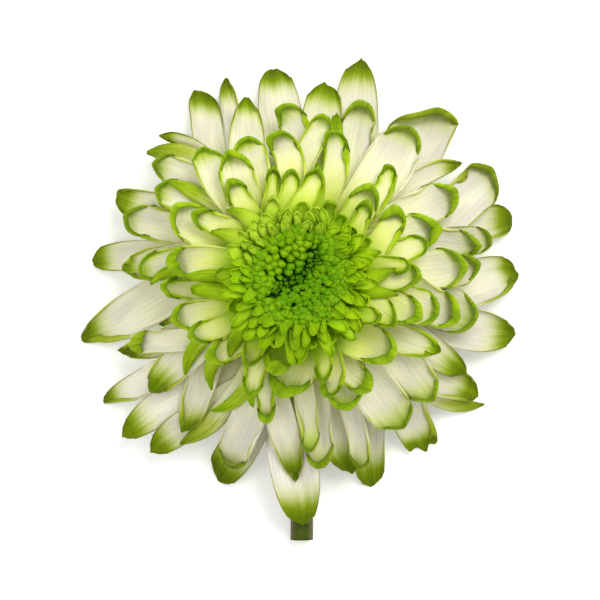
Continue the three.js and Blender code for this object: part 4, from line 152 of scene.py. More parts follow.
    ("crown_3", "C", 9.65, 0.73, 40.4, 11.39, -1.09, 45.11, 13.86, -3.75, 46.43, 15.72, -6.41, 45.54, 4.34, 44.55, 42, 10, 10, 96.06, 0.9, 0.55, 0.66, 2.4, 0.62, 0.45, 0.5, 70, 53.07, 0.45, 0.58, 0.5, -0.08, 0),
    ("crown_3", "C", -11.63, 5.23, 40.4, -13.78, 5.19, 45.17, -16.92, 5.14, 46.54, -19.67, 5.2, 45.72, 4.15, 47.61, 42, 10, 10, 97.99, 0.81, 0.49, 0.66, 2.4, 0.62, 0.45, 0.5, 70, 54.73, 0.45, 0.4, 0.5, 0.06, 0),
    ("crown_3", "C", 10.6, 9.76, 40.4, 12.63, 9.99, 45.51, 15.57, 10.32, 47.22, 18.19, 10.41, 46.72, 3.69, 35.82, 42, 10, 10, 103.35, 0.95, 0.46, 0.66, 2.4, 0.62, 0.45, 0.5, 70, 57.94, 0.45, 0.56, 0.5, -0.09, 0),
    ("crown_3", "C", -4.4, -4.29, 40.4, -5.79, -6.4, 45.19, -7.83, -9.44, 46.58, -9.9, -11.94, 45.77, 3.6, 39.7, 42, 10, 10, 95.75, 0.78, 0.79, 0.66, 2.4, 0.62, 0.45, 0.5, 70, 52.44, 0.45, 0.53, 0.5, -0.09, 0),
    ("crown_3", "C", 11.1, 7.05, 40.4, 13.11, 7.93, 45.59, 15.99, 9.2, 47.39, 18.39, 10.71, 46.98, 4.52, 41.41, 42, 10, 10, 110.25, 0.9, 0.67, 0.66, 2.4, 0.62, 0.45, 0.5, 70, 69.22, 0.45, 0.32, 0.5, -0.04, 0),
    ("inner_florets_4", "C", -5.81, 7.7, 32.3, -9.67, 8.64, 44.38, -13.45, 9.73, 36.74, -17.28, 10.76, 45.54, 5.11, 40, 36, 12, 12, 59.18, 0.97, 0.65, 0.67, 2.6, 0.6, 0.46, 0.34, 128.63, 120.31, 1.32, 1.16, 0.47, -0.08, 0),
    ("inner_florets_4", "C", -5.3, 9.03, 32.3, -8.83, 10.92, 44.42, -12.46, 12.61, 38.07, -16.03, 14.4, 44.48, 5.11, 40, 36, 12, 12, 61.59, 0.97, 0.49, 0.67, 2.6, 0.6, 0.46, 0.34, 94.62, 126.27, 0.95, 1.28, 0.45, -0.07, 0),
    ("inner_florets_4", "C", -2.28, 11.68, 32.3, -3.72, 15.53, 44.56, -2.86, 19.87, 37.76, -3.16, 23.96, 44.91, 4.14, 40, 36, 12, 12, 72.82, 0.82, 0.72, 0.71, 2.6, 0.6, 0.5, 0.34, 134.18, 109.39, 0.77, 1.21, 0.46, -0.1, 0),
    ("inner_florets_4", "C", -4.11, 10.56, 32.3, -6.92, 13.64, 44.63, -10.5, 15.88, 37.72, -13.69, 18.55, 44.83, 5.11, 40, 36, 12, 12, 72.68, 0.97, 0.55, 0.67, 2.6, 0.6, 0.45, 0.34, 79.76, 84.83, 1.15, 1.01, 0.51, -0.03, 0),
    ("inner_florets_4", "C", -2.78, 11.47, 32.3, -4.62, 15.25, 44.69, -8.14, 17.9, 37.39, -10.83, 21.13, 45.02, 5.11, 40, 36, 12, 12, 79.51, 0.97, 0.64, 0.68, 2.6, 0.6, 0.45, 0.34, 110.64, 116.49, 1.25, 1.39, 0.46, -0.08, 0),
    ("inner_florets_4", "C", 1.27, 11.83, 32.3, 2.47, 16.05, 44.92, 3.54, 20.3, 38.35, 4.66, 24.54, 44.15, 4.79, 40, 36, 12, 12, 70.55, 0.92, 0.51, 0.68, 2.6, 0.6, 0.49, 0.34, 91.05, 134.37, 1.01, 0.8, 0.53, 0.04, 0),
    ("inner_florets_4", "C", 5.36, 7.21, 32.3, 9.78, 7.88, 45.03, 14.18, 8.37, 37.88, 18.62, 8.97, 45.68, 5.12, 40, 36, 12, 12, 62.66, 0.9, 0.42, 0.69, 2.6, 0.6, 0.45, 0.34, 86.72, 89.69, 0.86, 1.16, 0.45, -0.07, 0),
    ("inner_florets_4", "C", 1.17, 0.83, 32.3, 2.34, -3.6, 45.17, 2.46, -8.22, 37.53, 3.11, -12.76, 45.32, 5.76, 40, 36, 12, 12, 53.66, 1.06, 0.54, 0.7, 2.6, 0.6, 0.4, 0.34, 122.51, 125.28, 0.73, 0.92, 0.45, -0.03, 0),
    ("inner_florets_4", "C", -3.44, 1.6, 32.3, -6.01, -2.26, 45.23, -9.09, -5.76, 37.92, -11.92, -9.44, 44.75, 5.44, 40, 36, 12, 12, 92.73, 0.94, 0.44, 0.67, 2.6, 0.6, 0.42, 0.34, 126.45, 103.35, 1.37, 0.9, 0.48, 0.1, 0),
    ("inner_florets_4", "C", -1.73, 0.83, 32.3, -2.93, -3.68, 43.96, -5.42, -7.78, 39.59, -7.26, -12.07, 43.97, 5.44, 40, 36, 12, 12, 99.49, 1.02, 0.52, 0.69, 2.6, 0.6, 0.42, 0.34, 121.05, 100.63, 0.92, 1.28, 0.46, 0.04, 0),
    ("inner_florets_4", "C", 4.56, 3.32, 32.3, 8.59, 0.8, 45.33, 13.7, 1.02, 36.81, 18.31, -0.13, 46.64, 5.44, 40, 36, 12, 12, 55.71, 1, 0.47, 0.67, 2.6, 0.6, 0.42, 0.34, 104.19, 81.71, 1.3, 1.09, 0.47, 0.11, 0),
    ("inner_florets_4", "C", 3.62, 10.5, 32.3, 6.8, 13.89, 45.19, 10.98, 15.99, 37.38, 14.69, 18.78, 46.72, 5.12, 40, 36, 12, 12, 63.79, 0.96, 0.45, 0.69, 2.6, 0.6, 0.45, 0.34, 98.82, 84.41, 0.78, 0.76, 0.46, 0.01, 0),
    ("inner_florets_4", "C", 1.78, 1.03, 32.3, 3.49, -3.4, 45.31, 6.29, -7.35, 38.06, 8.54, -11.53, 44.14, 5.44, 40, 36, 12, 12, 75.24, 0.96, 0.45, 0.69, 2.6, 0.6, 0.42, 0.34, 74.26, 95.08, 0.74, 1.1, 0.47, 0.12, 0),
    ("inner_florets_4", "C", 2.32, 11.42, 32.3, 4.58, 15.82, 45.5, 1.17, 21.21, 36.26, 0.6, 26.12, 43.09, 6.09, 40, 36, 12, 12, 58.52, 1.03, 0.49, 0.67, 2.6, 0.6, 0.37, 0.34, 73.73, 77.95, 0.62, 0.85, 0.46, -0.06, 0),
    ("inner_florets_4", "C", -5.69, 4.57, 32.3, -10.25, 3.07, 45.31, -15.14, 2.47, 38.57, -19.82, 1.43, 42.53, 5.44, 40, 36, 12, 12, 94.84, 0.94, 0.44, 0.64, 2.6, 0.6, 0.42, 0.34, 71.52, 142.39, 1.25, 0.92, 0.46, 0.02, 0),
    ("inner_florets_4", "C", 4.12, 2.72, 32.3, 7.86, -0.37, 45.36, 12.04, -2.78, 37.88, 16.03, -5.54, 45.81, 5.44, 40, 36, 12, 12, 64.5, 0.94, 0.44, 0.68, 2.6, 0.6, 0.42, 0.34, 117.78, 114.3, 0.91, 0.69, 0.48, -0.13, 0),
    ("inner_florets_4", "C", 2.99, 1.67, 32.3, 5.81, -2.35, 43.25, 9.9, -5.85, 42.1, 13.23, -9.47, 40.2, 5.44, 40, 36, 12, 12, 140.04, 1.02, 0.58, 0.68, 2.6, 0.6, 0.42, 0.34, 93.53, 91.54, 1.27, 1.13, 0.54, -0.13, 0),
    ("inner_florets_4", "C", -3.99, 2.02, 32.3, -7.22, -1.74, 45.44, -12.09, -3.77, 38.21, -16.12, -6.64, 42.98, 5.44, 40, 36, 12, 12, 99.43, 0.97, 0.45, 0.67, 2.6, 0.6, 0.42, 0.34, 123.13, 139.66, 1.28, 0.68, 0.45, 0.04, 0),
    ("inner_florets_4", "C", -4.71, 2.76, 32.3, -8.58, -0.36, 44.75, -14.25, -0.8, 38.92, -18.91, -2.54, 40.29, 5.44, 40, 36, 12, 12, 129.5, 0.99, 0.47, 0.67, 2.6, 0.6, 0.42, 0.34, 90.79, 128.72, 1.29, 1.3, 0.49, -0.03, 0),
    ("inner_florets_4", "C", 5.29, 5.11, 32.3, 10.08, 4.05, 45.38, 15, 4.55, 37.62, 19.9, 4.28, 46.11, 5.44, 40, 36, 12, 12, 59.99, 0.93, 0.44, 0.65, 2.6, 0.6, 0.42, 0.34, 107.21, 104.14, 1.33, 0.87, 0.53, -0.06, 0),
    ("inner_florets_4", "C", 3.97, 10.15, 32.3, 7.65, 13.44, 45.38, 9.18, 18.63, 32.15, 11.77, 22.83, 39.99, 5.12, 40, 36, 12, 12, 86.68, 0.71, 0.33, 0.69, 2.6, 0.6, 0.45, 0.34, 92.64, 128.37, 0.68, 0.84, 0.53, -0.11, 0),
    ("inner_florets_3", "C", -1.24, -0.59, 31, -1.87, -5.15, 43.65, -1.82, -9.92, 37.83, -2.11, -14.51, 39.86, 5.77, 40, 36, 12, 12, 114.41, 1.07, 0.57, 0.67, 2.6, 0.6, 0.4, 0.34, 120.67, 125.89, 1.29, 1.14, 0.49, -0.02, 0),
    ("inner_florets_3", "C", 5.11, 10.82, 31, 8.76, 13.85, 43.73, 14.07, 14.16, 40.98, 18.51, 15.83, 43.58, 5.45, 40, 36, 12, 12, 99.71, 0.94, 0.44, 0.66, 2.6, 0.6, 0.42, 0.34, 134.21, 117.96, 0.94, 0.95, 0.45, 0.07, 0),
    ("inner_florets_3", "C", -5.24, 11.28, 31, -8.85, 14.86, 44.08, -6.55, 21.72, 41.8, -7.19, 26.76, 40.73, 5.13, 40, 36, 12, 12, 166.19, 0.97, 0.48, 0.7, 2.6, 0.6, 0.45, 0.34, 86.88, 140.74, 0.64, 0.77, 0.53, 0.05, 0),
    ("inner_florets_3", "C", -7.21, 7.31, 31, -12.14, 8, 41.1, -17.52, 6.71, 39.36, -22.49, 6.43, 40.18, 5.45, 40, 36, 12, 12, 136.41, 0.81, 0.38, 0.68, 2.6, 0.6, 0.42, 0.34, 102.7, 73, 0.78, 1.34, 0.47, -0.05, 0),
    ("inner_florets_3", "N", 6.02, 9.41, 31, 10.56, 11.61, 43.89, 15.8, 11.57, 40.73, 20.73, 12.68, 41.32, 5.53, 75, 85, 6, 6, 25, 1.3, 0.48, 0.67, 1.9, 0.8, 0.4, 0.06, 28.1, 20.79, 0.64, 0.61, 0, 0, 0),
    ("inner_florets_3", "C", 3.33, 12.35, 31, 5.91, 16.65, 41.18, 6.86, 21.78, 30.51, 8.63, 26.49, 38.4, 5.78, 40, 36, 12, 12, 87.23, 1.07, 0.54, 0.67, 2.6, 0.6, 0.4, 0.34, 117.67, 82.14, 1.27, 1.13, 0.49, -0.08, 0),
    ("inner_florets_3", "C", 5.61, 2.55, 31, 10.08, -0.34, 44.01, 15.54, -4.53, 41.44, 20.87, -4.54, 41.21, 6.43, 40, 36, 12, 12, 169.3, 0.91, 0.43, 0.67, 2.6, 0.6, 0.35, 0.34, 118.7, 113.75, 0.61, 1.03, 0.45, 0.03, 0),
    ("inner_florets_3", "N", 5.92, 3.1, 31, 11.7, 0.07, 44.84, 18.55, 5.87, 41.43, 24.7, 8.04, 40.43, 5.94, 75, 85, 6, 6, 25, 1.3, 0.48, 0.72, 1.9, 0.8, 0.37, 0.06, 30.47, 35.09, 0.63, 0.63, 0, 0, 0),
    ("inner_florets_3", "N", -4.67, 11.79, 31, -8.6, 16.66, 44.44, -12.52, 23.38, 40.63, -18.74, 24.03, 38.25, 5.94, 75, 85, 6, 6, 25, 1.3, 0.48, 0.69, 1.9, 0.8, 0.37, 0.06, 32.02, 29.95, 0.31, 0.6, 0, 0, 0),
    ("inner_florets_3", "C", -4.1, 0.48, 31, -7.49, -4.71, 44.36, -10.84, -10.75, 40.58, -14.03, -16.06, 38.39, 7.42, 40, 36, 12, 12, 160.15, 1.31, 1.21, 0.67, 2.6, 0.6, 0.32, 0.34, 113.06, 70.23, 1.29, 1.25, 0.49, 0.1, 0),
    ("inner_florets_3", "N", -6.22, 10.05, 31, -11.54, 13.37, 44.44, -16.86, 17.51, 37.82, -23.1, 18.15, 37.92, 6.34, 75, 85, 6, 6, 25, 1.3, 0.48, 0.68, 1.9, 0.8, 0.34, 0.06, 22.08, 36.25, 0.68, 0.52, 0, 0, 0),
    ("inner_florets_3", "N", 6.58, 4.92, 31, 12.87, 3.62, 44.48, 19.05, 2.63, 40.61, 25.37, 1.49, 40.17, 5.55, 75, 85, 6, 6, 25, 1.3, 0.48, 0.66, 1.9, 0.8, 0.39, 0.06, 39.99, 37.34, 0.38, 0.57, 0, 0, 0),
    ("inner_florets_3", "C", 1.37, -0.46, 31, 2.99, -7.17, 44.89, -4.68, -12.89, 32.49, -8.06, -18.92, 38.77, 9.05, 40, 36, 12, 12, 118.85, 1.55, 2.98, 0.68, 2.6, 0.6, 0.32, 0.34, 82.29, 99.38, 0.74, 0.83, 0.47, 0.11, 0),
    ("inner_florets_3", "C", 6.5, 8.1, 31, 13.13, 9.81, 44.83, 14.63, 19.87, 34.31, 18.29, 25.66, 35.1, 6.45, 40, 36, 12, 12, 157.43, 1.17, 0.8, 0.64, 2.6, 0.6, 0.35, 0.34, 106.19, 130.44, 1.38, 0.99, 0.46, 0.08, 0),
    ("inner_florets_3", "C", -2.46, 12.99, 31, -4.58, 19.43, 44.73, 2.24, 27.16, 40.1, 4.38, 33.59, 33.97, 7.1, 40, 36, 12, 12, 183.73, 1.08, 0.51, 0.64, 2.6, 0.6, 0.32, 0.34, 69.38, 97.07, 1.38, 0.83, 0.5, 0.1, 0),
    ("inner_florets_3", "C", -3.38, 12.62, 31, -6.41, 18.76, 44.74, -2.75, 26.64, 39.89, -2.44, 33.48, 33.74, 6.13, 40, 36, 12, 12, 191.74, 1.09, 0.51, 0.67, 2.6, 0.6, 0.37, 0.34, 138.33, 75.22, 0.73, 0.61, 0.51, -0.13, 0),
    ("inner_florets_3", "C", 1.95, -0.29, 31, 4.1, -6.7, 41.28, 7.68, -14.38, 37.86, 5.98, -20.91, 36.9, 6.46, 40, 36, 12, 12, 155.99, 1.08, 0.51, 0.69, 2.6, 0.6, 0.35, 0.34, 133.43, 82.15, 1.01, 1.33, 0.53, -0.07, 0),
    ("inner_florets_3", "C", 6.69, 7.02, 31, 13.83, 7.71, 44.94, 19.23, -1.24, 38.48, 24.88, -5.65, 38.24, 8.41, 40, 36, 12, 12, 148.18, 1.13, 0.53, 0.7, 2.6, 0.6, 0.32, 0.34, 138.91, 79.38, 0.78, 1.1, 0.48, -0.13, 0),
    ("inner_florets_3", "N", -5.17, 1.34, 31, -10.03, -3.64, 44.7, -17.46, -7.61, 38.19, -18.64, -14.47, 37.2, 5.56, 75, 85, 6, 6, 25, 1.3, 0.48, 0.78, 1.9, 0.8, 0.39, 0.06, 27.13, 26, 0.44, 0.36, 0, 0, 0),
    ("inner_florets_3", "N", -6.24, 2.69, 31, -12.4, -1.09, 43.63, -20.49, 2.67, 35.51, -27.71, 2.68, 38.59, 6.59, 75, 85, 6, 6, 25, 1.9, 1.4, 0.66, 2.3, 0.6, 0.33, 0.06, 27.95, 26.24, 0.64, 0.34, 0, 0, 0),
    ("inner_florets_3", "C", -5.29, 11.23, 31, -10.74, 16.54, 45.09, -7.26, 26.69, 37.42, -7.27, 34.3, 33.68, 5.49, 40, 36, 12, 12, 170.04, 1.02, 0.6, 0.71, 2.6, 0.6, 0.42, 0.34, 122.5, 87.51, 1.2, 1.19, 0.49, -0.01, 0),
    ("inner_florets_3", "C", 6.66, 7.29, 31, 13.7, 8.26, 44.61, 21.84, 10.01, 37.96, 28.85, 8.86, 38.16, 6.46, 40, 36, 12, 12, 165.54, 0.72, 0.34, 0.7, 2.6, 0.6, 0.35, 0.34, 88.35, 89.07, 0.68, 1.29, 0.51, 0.12, 0),
    ("inner_florets_2", "C", 6.38, 11.3, 29.6, 12.17, 15.61, 38.94, 14.85, 23.16, 33.01, 19.04, 29.03, 31.85, 10.39, 40, 36, 12, 12, 149.49, 1.75, 1.59, 0.62, 2.6, 0.6, 0.32, 0.34, 113.58, 69.96, 1.14, 1.17, 0.44, 0.06, 0),
    ("inner_florets_2", "C", -6, 12.36, 29.6, -10.93, 17.55, 42.92, -14.29, 24.8, 37.38, -18.27, 30.76, 34.11, 7.78, 40, 36, 12, 12, 167.6, 1.36, 1.61, 0.62, 2.6, 0.6, 0.32, 0.34, 102.14, 71.39, 1.01, 1.16, 0.51, -0.1, 0),
    ("inner_florets_2", "N", -8.58, 6.46, 29.6, -15.93, 6.55, 43.03, -23.11, 6.44, 37.16, -30.47, 6.45, 35.23, 5.18, 75, 85, 6, 6, 25, 1.3, 0.48, 0.74, 1.9, 0.8, 0.42, 0.06, 23.64, 34.47, 0.67, 0.6, 0, 0, 0),
    ("inner_florets_2", "H", 2.69, -1.41, 29.6, 5.43, -8.57, 43.3, 12.59, -21.84, 31.58, 7.28, -24.05, 30.4, 8.74, 48, 43.2, 60, 12, 159.89, 1.51, 1.55, 0.66, 2.6, 0.6, 0.32, 0.34, 150, 50, 2.2, 0.68, 0.46, 0.11, 0),
    ("inner_florets_2", "N", 1.56, 14.44, 29.6, 3.2, 21.64, 36.04, 5.71, 29.04, 30.2, 4.72, 36.36, 30.47, 5.58, 75, 85, 6, 6, 25, 1.3, 0.48, 0.7, 1.9, 0.8, 0.39, 0.06, 26.11, 37.77, 0.35, 0.65, 0, 0, 0),
    ("inner_florets_2", "H", 8.02, 6.73, 29.6, 15.91, 7.1, 43.47, 24.82, 17.02, 37.44, 25.75, 22.87, 32.67, 9.46, 48, 43.2, 12, 12, 191.47, 1.61, 1.9, 0.69, 2.6, 0.6, 0.32, 0.34, 50, 155, 1.52, 2.6, 0.48, 0, 0),
    ("inner_florets_2", "C", 8.02, 6.73, 29.6, 15.52, 7.08, 42.99, 23.05, 6.71, 36.5, 30.56, 6.72, 34.74, 10.4, 40, 36, 12, 12, 155.79, 1.75, 1.02, 0.69, 2.6, 0.6, 0.32, 0.34, 113.61, 108.87, 0.84, 0.95, 0.46, 0.09, 0),
    ("inner_florets_2", "C", -6.41, 11.94, 29.6, -12.05, 17.08, 43.04, -20.47, 19.33, 36, -27.22, 22.9, 32.64, 7.79, 40, 36, 12, 12, 181.92, 1.37, 1.16, 0.67, 2.6, 0.6, 0.32, 0.34, 127.12, 114.25, 0.65, 1.31, 0.45, 0.06, 0),
    ("inner_florets_2", "C", -5.96, 0.3, 29.6, -11.24, -5.33, 43.08, -16.29, -12.87, 36.16, -23.68, -15.1, 34.38, 8.44, 40, 36, 12, 12, 178.08, 1.46, 1.73, 0.68, 2.6, 0.6, 0.32, 0.34, 140.41, 117.1, 0.93, 1.23, 0.51, 0.03, 0),
    ("inner_florets_2", "C", 3.16, -1.21, 29.6, 6.62, -8.82, 43.51, -1.41, -17.26, 26.66, -4.14, -25.16, 30.43, 13.68, 40, 36, 12, 12, 139.18, 1.9, 2.53, 0.64, 2.6, 0.6, 0.32, 0.34, 138.16, 122.91, 1.04, 0.92, 0.45, -0.11, 0),
    ("inner_florets_2", "C", -5.19, -0.34, 29.6, -10.01, -6.9, 43.32, -20.85, -6.47, 35.69, -28.43, -9.44, 33.28, 7.79, 40, 36, 12, 12, 157.26, 1.37, 1.76, 0.66, 2.6, 0.6, 0.32, 0.34, 87.36, 137.46, 0.95, 0.72, 0.52, -0.06, 0),
    ("inner_florets_2", "C", 1.98, -1.64, 29.6, 4.27, -9.77, 43.54, 19.41, -10, 29.86, 23.69, -14.67, 28.77, 12.37, 40, 36, 12, 12, 154.98, 1.9, 2.59, 0.63, 2.6, 0.6, 0.32, 0.34, 102.4, 129.3, 1.13, 1.17, 0.53, 0.04, 0),
    ("inner_florets_2", "C", 7.69, 4.02, 29.6, 15.52, 1.74, 43.1, 23.93, 0.36, 34.96, 30.72, -4.14, 33.4, 10.42, 40, 36, 12, 12, 156.8, 1.75, 1.81, 0.69, 2.6, 0.6, 0.32, 0.34, 128.98, 112.05, 1.4, 0.9, 0.47, 0.1, 0),
    ("inner_florets_2", "C", -8.42, 7.95, 29.6, -16.49, 9.55, 43.11, -25.04, 12.17, 34.79, -33.01, 10.13, 27.78, 11.58, 40, 36, 12, 90, 191.06, 1.9, 2.34, 0.64, 2.6, 0.6, 0.32, 0.34, 98.35, 101.08, 1.07, 1.25, 0.5, -0.06, 0),
    ("inner_florets_2", "C", -5.68, 0.04, 29.6, -11.17, -6.37, 43.24, -10.95, -16.57, 34.62, -13.51, -24.61, 33.34, 7.15, 40, 36, 12, 12, 166.95, 1.27, 0.77, 0.7, 2.6, 0.6, 0.32, 0.34, 92.62, 88.43, 0.69, 1.13, 0.45, 0.03, 0),
    ("inner_florets_2", "C", 7.97, 7.28, 29.6, 16.39, 8.23, 42.85, 25.39, 12.82, 34.16, 33.47, 15.39, 30.31, 9.11, 40, 36, 12, 60, 164.55, 0.86, 0.4, 0.7, 2.6, 0.6, 0.32, 0.34, 135.55, 72.22, 1.32, 0.96, 0.47, -0.08, 0),
    ("inner_florets_2", "C", -7.01, 1.49, 29.6, -14.03, -3.57, 43.23, -24.35, -2.84, 31.9, -32.74, -4.93, 26.85, 10.76, 40, 36, 12, 80, 192.16, 1.52, 0.71, 0.64, 2.6, 0.6, 0.32, 0.34, 125.62, 138.31, 0.92, 0.88, 0.51, -0.07, 0),
    ("inner_florets_2", "C", 2.91, -1.32, 29.6, 6.4, -9.7, 41.65, 12.56, -20.96, 24.47, 18.95, -23.32, 29.46, 9.13, 40, 36, 12, 12, 115.8, 1.56, 2.93, 0.67, 2.6, 0.6, 0.32, 0.34, 108.54, 113.77, 1.3, 1.14, 0.44, 0, 0),
    ("inner_florets_2", "N", -3.89, -1.13, 29.6, -8.05, -9.71, 43.3, -15.3, -18.84, 32.16, -13.02, -28.1, 28.41, 6.82, 75, 85, 6, 6, 25, 1.3, 0.48, 0.74, 1.9, 0.8, 0.32, 0.06, 37.79, 35.53, 0.33, 0.42, 0, 0, 0),
    ("inner_florets_2", "H", 5.54, 12.27, 29.6, 12.39, 19.26, 39.79, 28, 30.22, 23.28, 23.34, 35.89, 24.28, 8.13, 48, 43.2, 12, 70, 156.64, 0.86, 0.41, 0.7, 2.6, 0.6, 0.32, 0.34, 50, 150, 1.12, 2, 0.45, -0.03, 0),
    ("inner_florets_2", "C", 7.84, 4.58, 29.6, 17.06, 2.58, 42.65, 26.86, -0.6, 31.87, 35.97, -3.07, 26.18, 12.69, 40, 36, 12, 60, 190.6, 1.29, 0.61, 0.72, 2.6, 0.6, 0.32, 0.34, 133.28, 90.27, 0.95, 0.63, 0.47, 0.05, 0),
    ("inner_florets_2", "H", -1.22, 14.59, 29.6, -2.32, 24.25, 40.93, 0.43, 41.11, 27.27, -6.5, 43.38, 24.02, 10.49, 48, 43.2, 12, 80, 171.15, 1.77, 1.26, 0.68, 2.6, 0.6, 0.32, 0.34, 50, 150, 0.71, 1.8, 0.46, 0.12, 0),
    ("inner_florets_1", "C", -8.98, 2.29, 28.2, -17.32, -1.59, 34.51, -27.65, 3.07, 22.72, -36.85, 3.46, 25.82, 7.81, 40, 36, 70, 12, 139.6, 1.37, 0.87, 0.72, 2.6, 0.6, 0.32, 0.34, 89.12, 69.01, 1.05, 1.3, 0.48, -0.11, 0),
    ("inner_florets_1", "C", -9.05, 10.23, 28.2, -17.42, 13.93, 41.43, -28.08, 18.77, 28.6, -32.79, 23.76, 26.53, 12.44, 40, 36, 12, 12, 170.14, 1.9, 1.18, 0.64, 2.6, 0.6, 0.32, 0.34, 91.57, 129.08, 0.91, 1.11, 0.51, 0.01, 0),
    ("inner_florets_1", "C", -7.65, 12.5, 28.2, -14.87, 18.53, 41.58, -15, 29.86, 31.49, -18.68, 38.53, 29.4, 11.78, 40, 36, 12, 12, 170.87, 1.64, 0.77, 0.62, 2.6, 0.6, 0.32, 0.34, 69.6, 133.01, 1.24, 1.02, 0.51, 0.04, 0),
    ("inner_florets_1", "C", 7.27, 0.42, 28.2, 15.03, -5.67, 40.72, 11.64, -18.94, 22.32, 13.1, -28.69, 25.08, 13.1, 40, 36, 12, 12, 145.85, 1.66, 0.78, 0.7, 2.6, 0.6, 0.32, 0.34, 76.45, 124.76, 1.33, 1.18, 0.52, -0.1, 0),
    ("inner_florets_1", "N", -7.2, -0.31, 28.2, -14.14, -6.97, 41.66, -26.46, -14.23, 25.49, -24.26, -23.6, 23.34, 6.02, 75, 85, 6, 6, 25, 1.3, 0.48, 0.74, 1.9, 0.8, 0.36, 0.06, 25.59, 32.25, 0.69, 0.56, 0, 0, 0),
    ("inner_florets_1", "C", 8.61, 9.97, 28.2, 17.43, 13.57, 41.41, 26.12, 18.46, 28.97, 35.61, 19.21, 23.11, 11.79, 40, 36, 12, 12, 175.09, 1.9, 2.55, 0.69, 2.6, 0.6, 0.32, 0.34, 111.65, 118.2, 1.04, 0.81, 0.45, -0.1, 0),
    ("inner_florets_1", "C", -6.1, 13.97, 28.2, -11.92, 21.58, 41.42, -11.65, 33.68, 30.68, -14.25, 42.9, 22.52, 12.29, 40, 36, 12, 40, 196.31, 1.1, 0.52, 0.65, 2.6, 0.6, 0.32, 0.34, 118.64, 95.36, 0.68, 1.22, 0.51, 0.01, 0),
    ("inner_florets_1", "C", -6.58, -0.89, 28.2, -13.16, -8.44, 41.69, -8.33, -21.83, 30.6, -9.18, -31.8, 24.96, 6.53, 40, 36, 12, 12, 171.83, 1.18, 2.24, 0.74, 2.6, 0.6, 0.35, 0.34, 137.05, 137.85, 1.38, 0.79, 0.52, -0.06, 0),
    ("inner_florets_1", "H", 2.51, 15.53, 28.2, 5.42, 25.11, 35.16, 14.57, 41.54, 21.73, 7.89, 44.97, 25.21, 9.75, 48, 43.2, 80, 12, 118.57, 1.55, 0.73, 0.69, 2.6, 0.6, 0.32, 0.34, 50, 150, 0.67, 1.8, 0.51, 0.08, 0),
    ("inner_florets_1", "N", -9.88, 6.4, 28.2, -20.01, 6.46, 38.08, -35.98, 11.19, 21.28, -40.2, 4.88, 22.42, 5.23, 75, 85, 6, 6, 25, 1.3, 0.48, 0.76, 1.9, 0.8, 0.42, 0.06, 22.04, 27.46, 0.43, 0.5, 0, 0, 0),
    ("inner_florets_1", "N", -8.24, 0.99, 28.2, -16.78, -4.74, 41.58, -30.33, -9.22, 24.86, -31.23, -19.46, 23.1, 6.04, 75, 85, 6, 6, 25, 1.3, 0.48, 0.77, 1.9, 0.8, 0.36, 0.06, 27.23, 25.58, 0.37, 0.59, 0, 0, 0),
    ("inner_florets_1", "C", -9.83, 7.29, 28.2, -20.6, 8.36, 34.62, -36.25, 12.39, 19.25, -42.67, 7.43, 19.23, 10.51, 40, 36, 12, 12, 142.98, 1.41, 0.66, 0.69, 2.6, 0.6, 0.32, 0.34, 134.22, 72.92, 0.95, 1.28, 0.51, 0.04, 0),
    ("inner_florets_1", "C", -6.68, 13.49, 28.2, -13.79, 21.42, 41.19, -22.84, 30.37, 28.07, -26.22, 40.47, 21.89, 11.33, 40, 36, 60, 12, 176.49, 0.84, 0.39, 0.68, 2.6, 0.6, 0.32, 0.34, 131.27, 104.07, 0.6, 1.22, 0.44, 0.13, 0),
    ("inner_florets_1", "N", -4.94, -2.04, 28.2, -10.38, -11.82, 41.44, -12.25, -27.9, 22.87, -23.23, -30.03, 21.87, 5.65, 75, 85, 6, 6, 25, 1.3, 0.48, 0.78, 1.9, 0.8, 0.39, 0.06, 36.11, 38.09, 0.42, 0.61, 0, 0, 0),
    ("inner_florets_1", "C", 8.97, 8.92, 28.2, 19.99, 11.98, 41.54, 30.27, 0.58, 27.84, 40.69, -4.13, 18.63, 12.51, 40, 36, 12, 12, 193.78, 1.9, 1.26, 0.76, 2.6, 0.6, 0.32, 0.34, 141.64, 111.37, 1.15, 1.22, 0.47, -0.05, 0),
    ("inner_florets_1", "C", 6.43, -0.52, 28.2, 14.14, -8.42, 34.25, 26.52, -8.96, 19.7, 36.7, -13.22, 24.34, 11.24, 40, 62, 110, 12, 38, 1.9, 1.4, 0.7, 2.05, 0.68, 0.32, 0.25, 93.99, 90.5, 1.28, 1.37, 0.15, 0.04, 0),
    ("inner_florets_1", "N", -7.73, 12.39, 28.2, -16.62, 19.61, 41.26, -24.8, 28.27, 27.09, -35.53, 32.28, 20.9, 6.46, 75, 85, 6, 6, 25, 1.3, 0.48, 0.75, 1.9, 0.8, 0.34, 0.06, 24.55, 28.91, 0.43, 0.36, 0, 0, 0),
    ("inner_florets_1", "C", -4.77, 14.83, 28.2, -10.28, 25.21, 41.37, -27.48, 25.43, 25.42, -38.25, 30.14, 17.52, 10.54, 40, 36, 12, 12, 196.5, 0.9, 0.42, 0.77, 2.6, 0.6, 0.32, 0.34, 102.3, 126.95, 1.13, 0.94, 0.49, 0.04, 0),
    ("inner_florets_1", "C", -3.8, 15.27, 28.2, -8.17, 26.33, 41.21, 2.36, 38.47, 20.75, 6.69, 49.54, 23.02, 8.82, 40, 36, 12, 100, 145.58, 1.27, 0.6, 0.74, 2.6, 0.6, 0.32, 0.34, 128.23, 114.52, 0.94, 0.93, 0.46, 0.09, 0),
    ("inner_florets_1", "H", -0.57, 15.94, 28.2, -0.94, 27.85, 34.28, 3.69, 48.5, 17.34, -4.73, 51.49, 16.69, 10.98, 48, 43.2, 12, 12, 151.16, 1.84, 1.29, 0.64, 2.6, 0.6, 0.32, 0.34, 50, 150, 0.78, 1.8, 0.46, 0.01, 0),
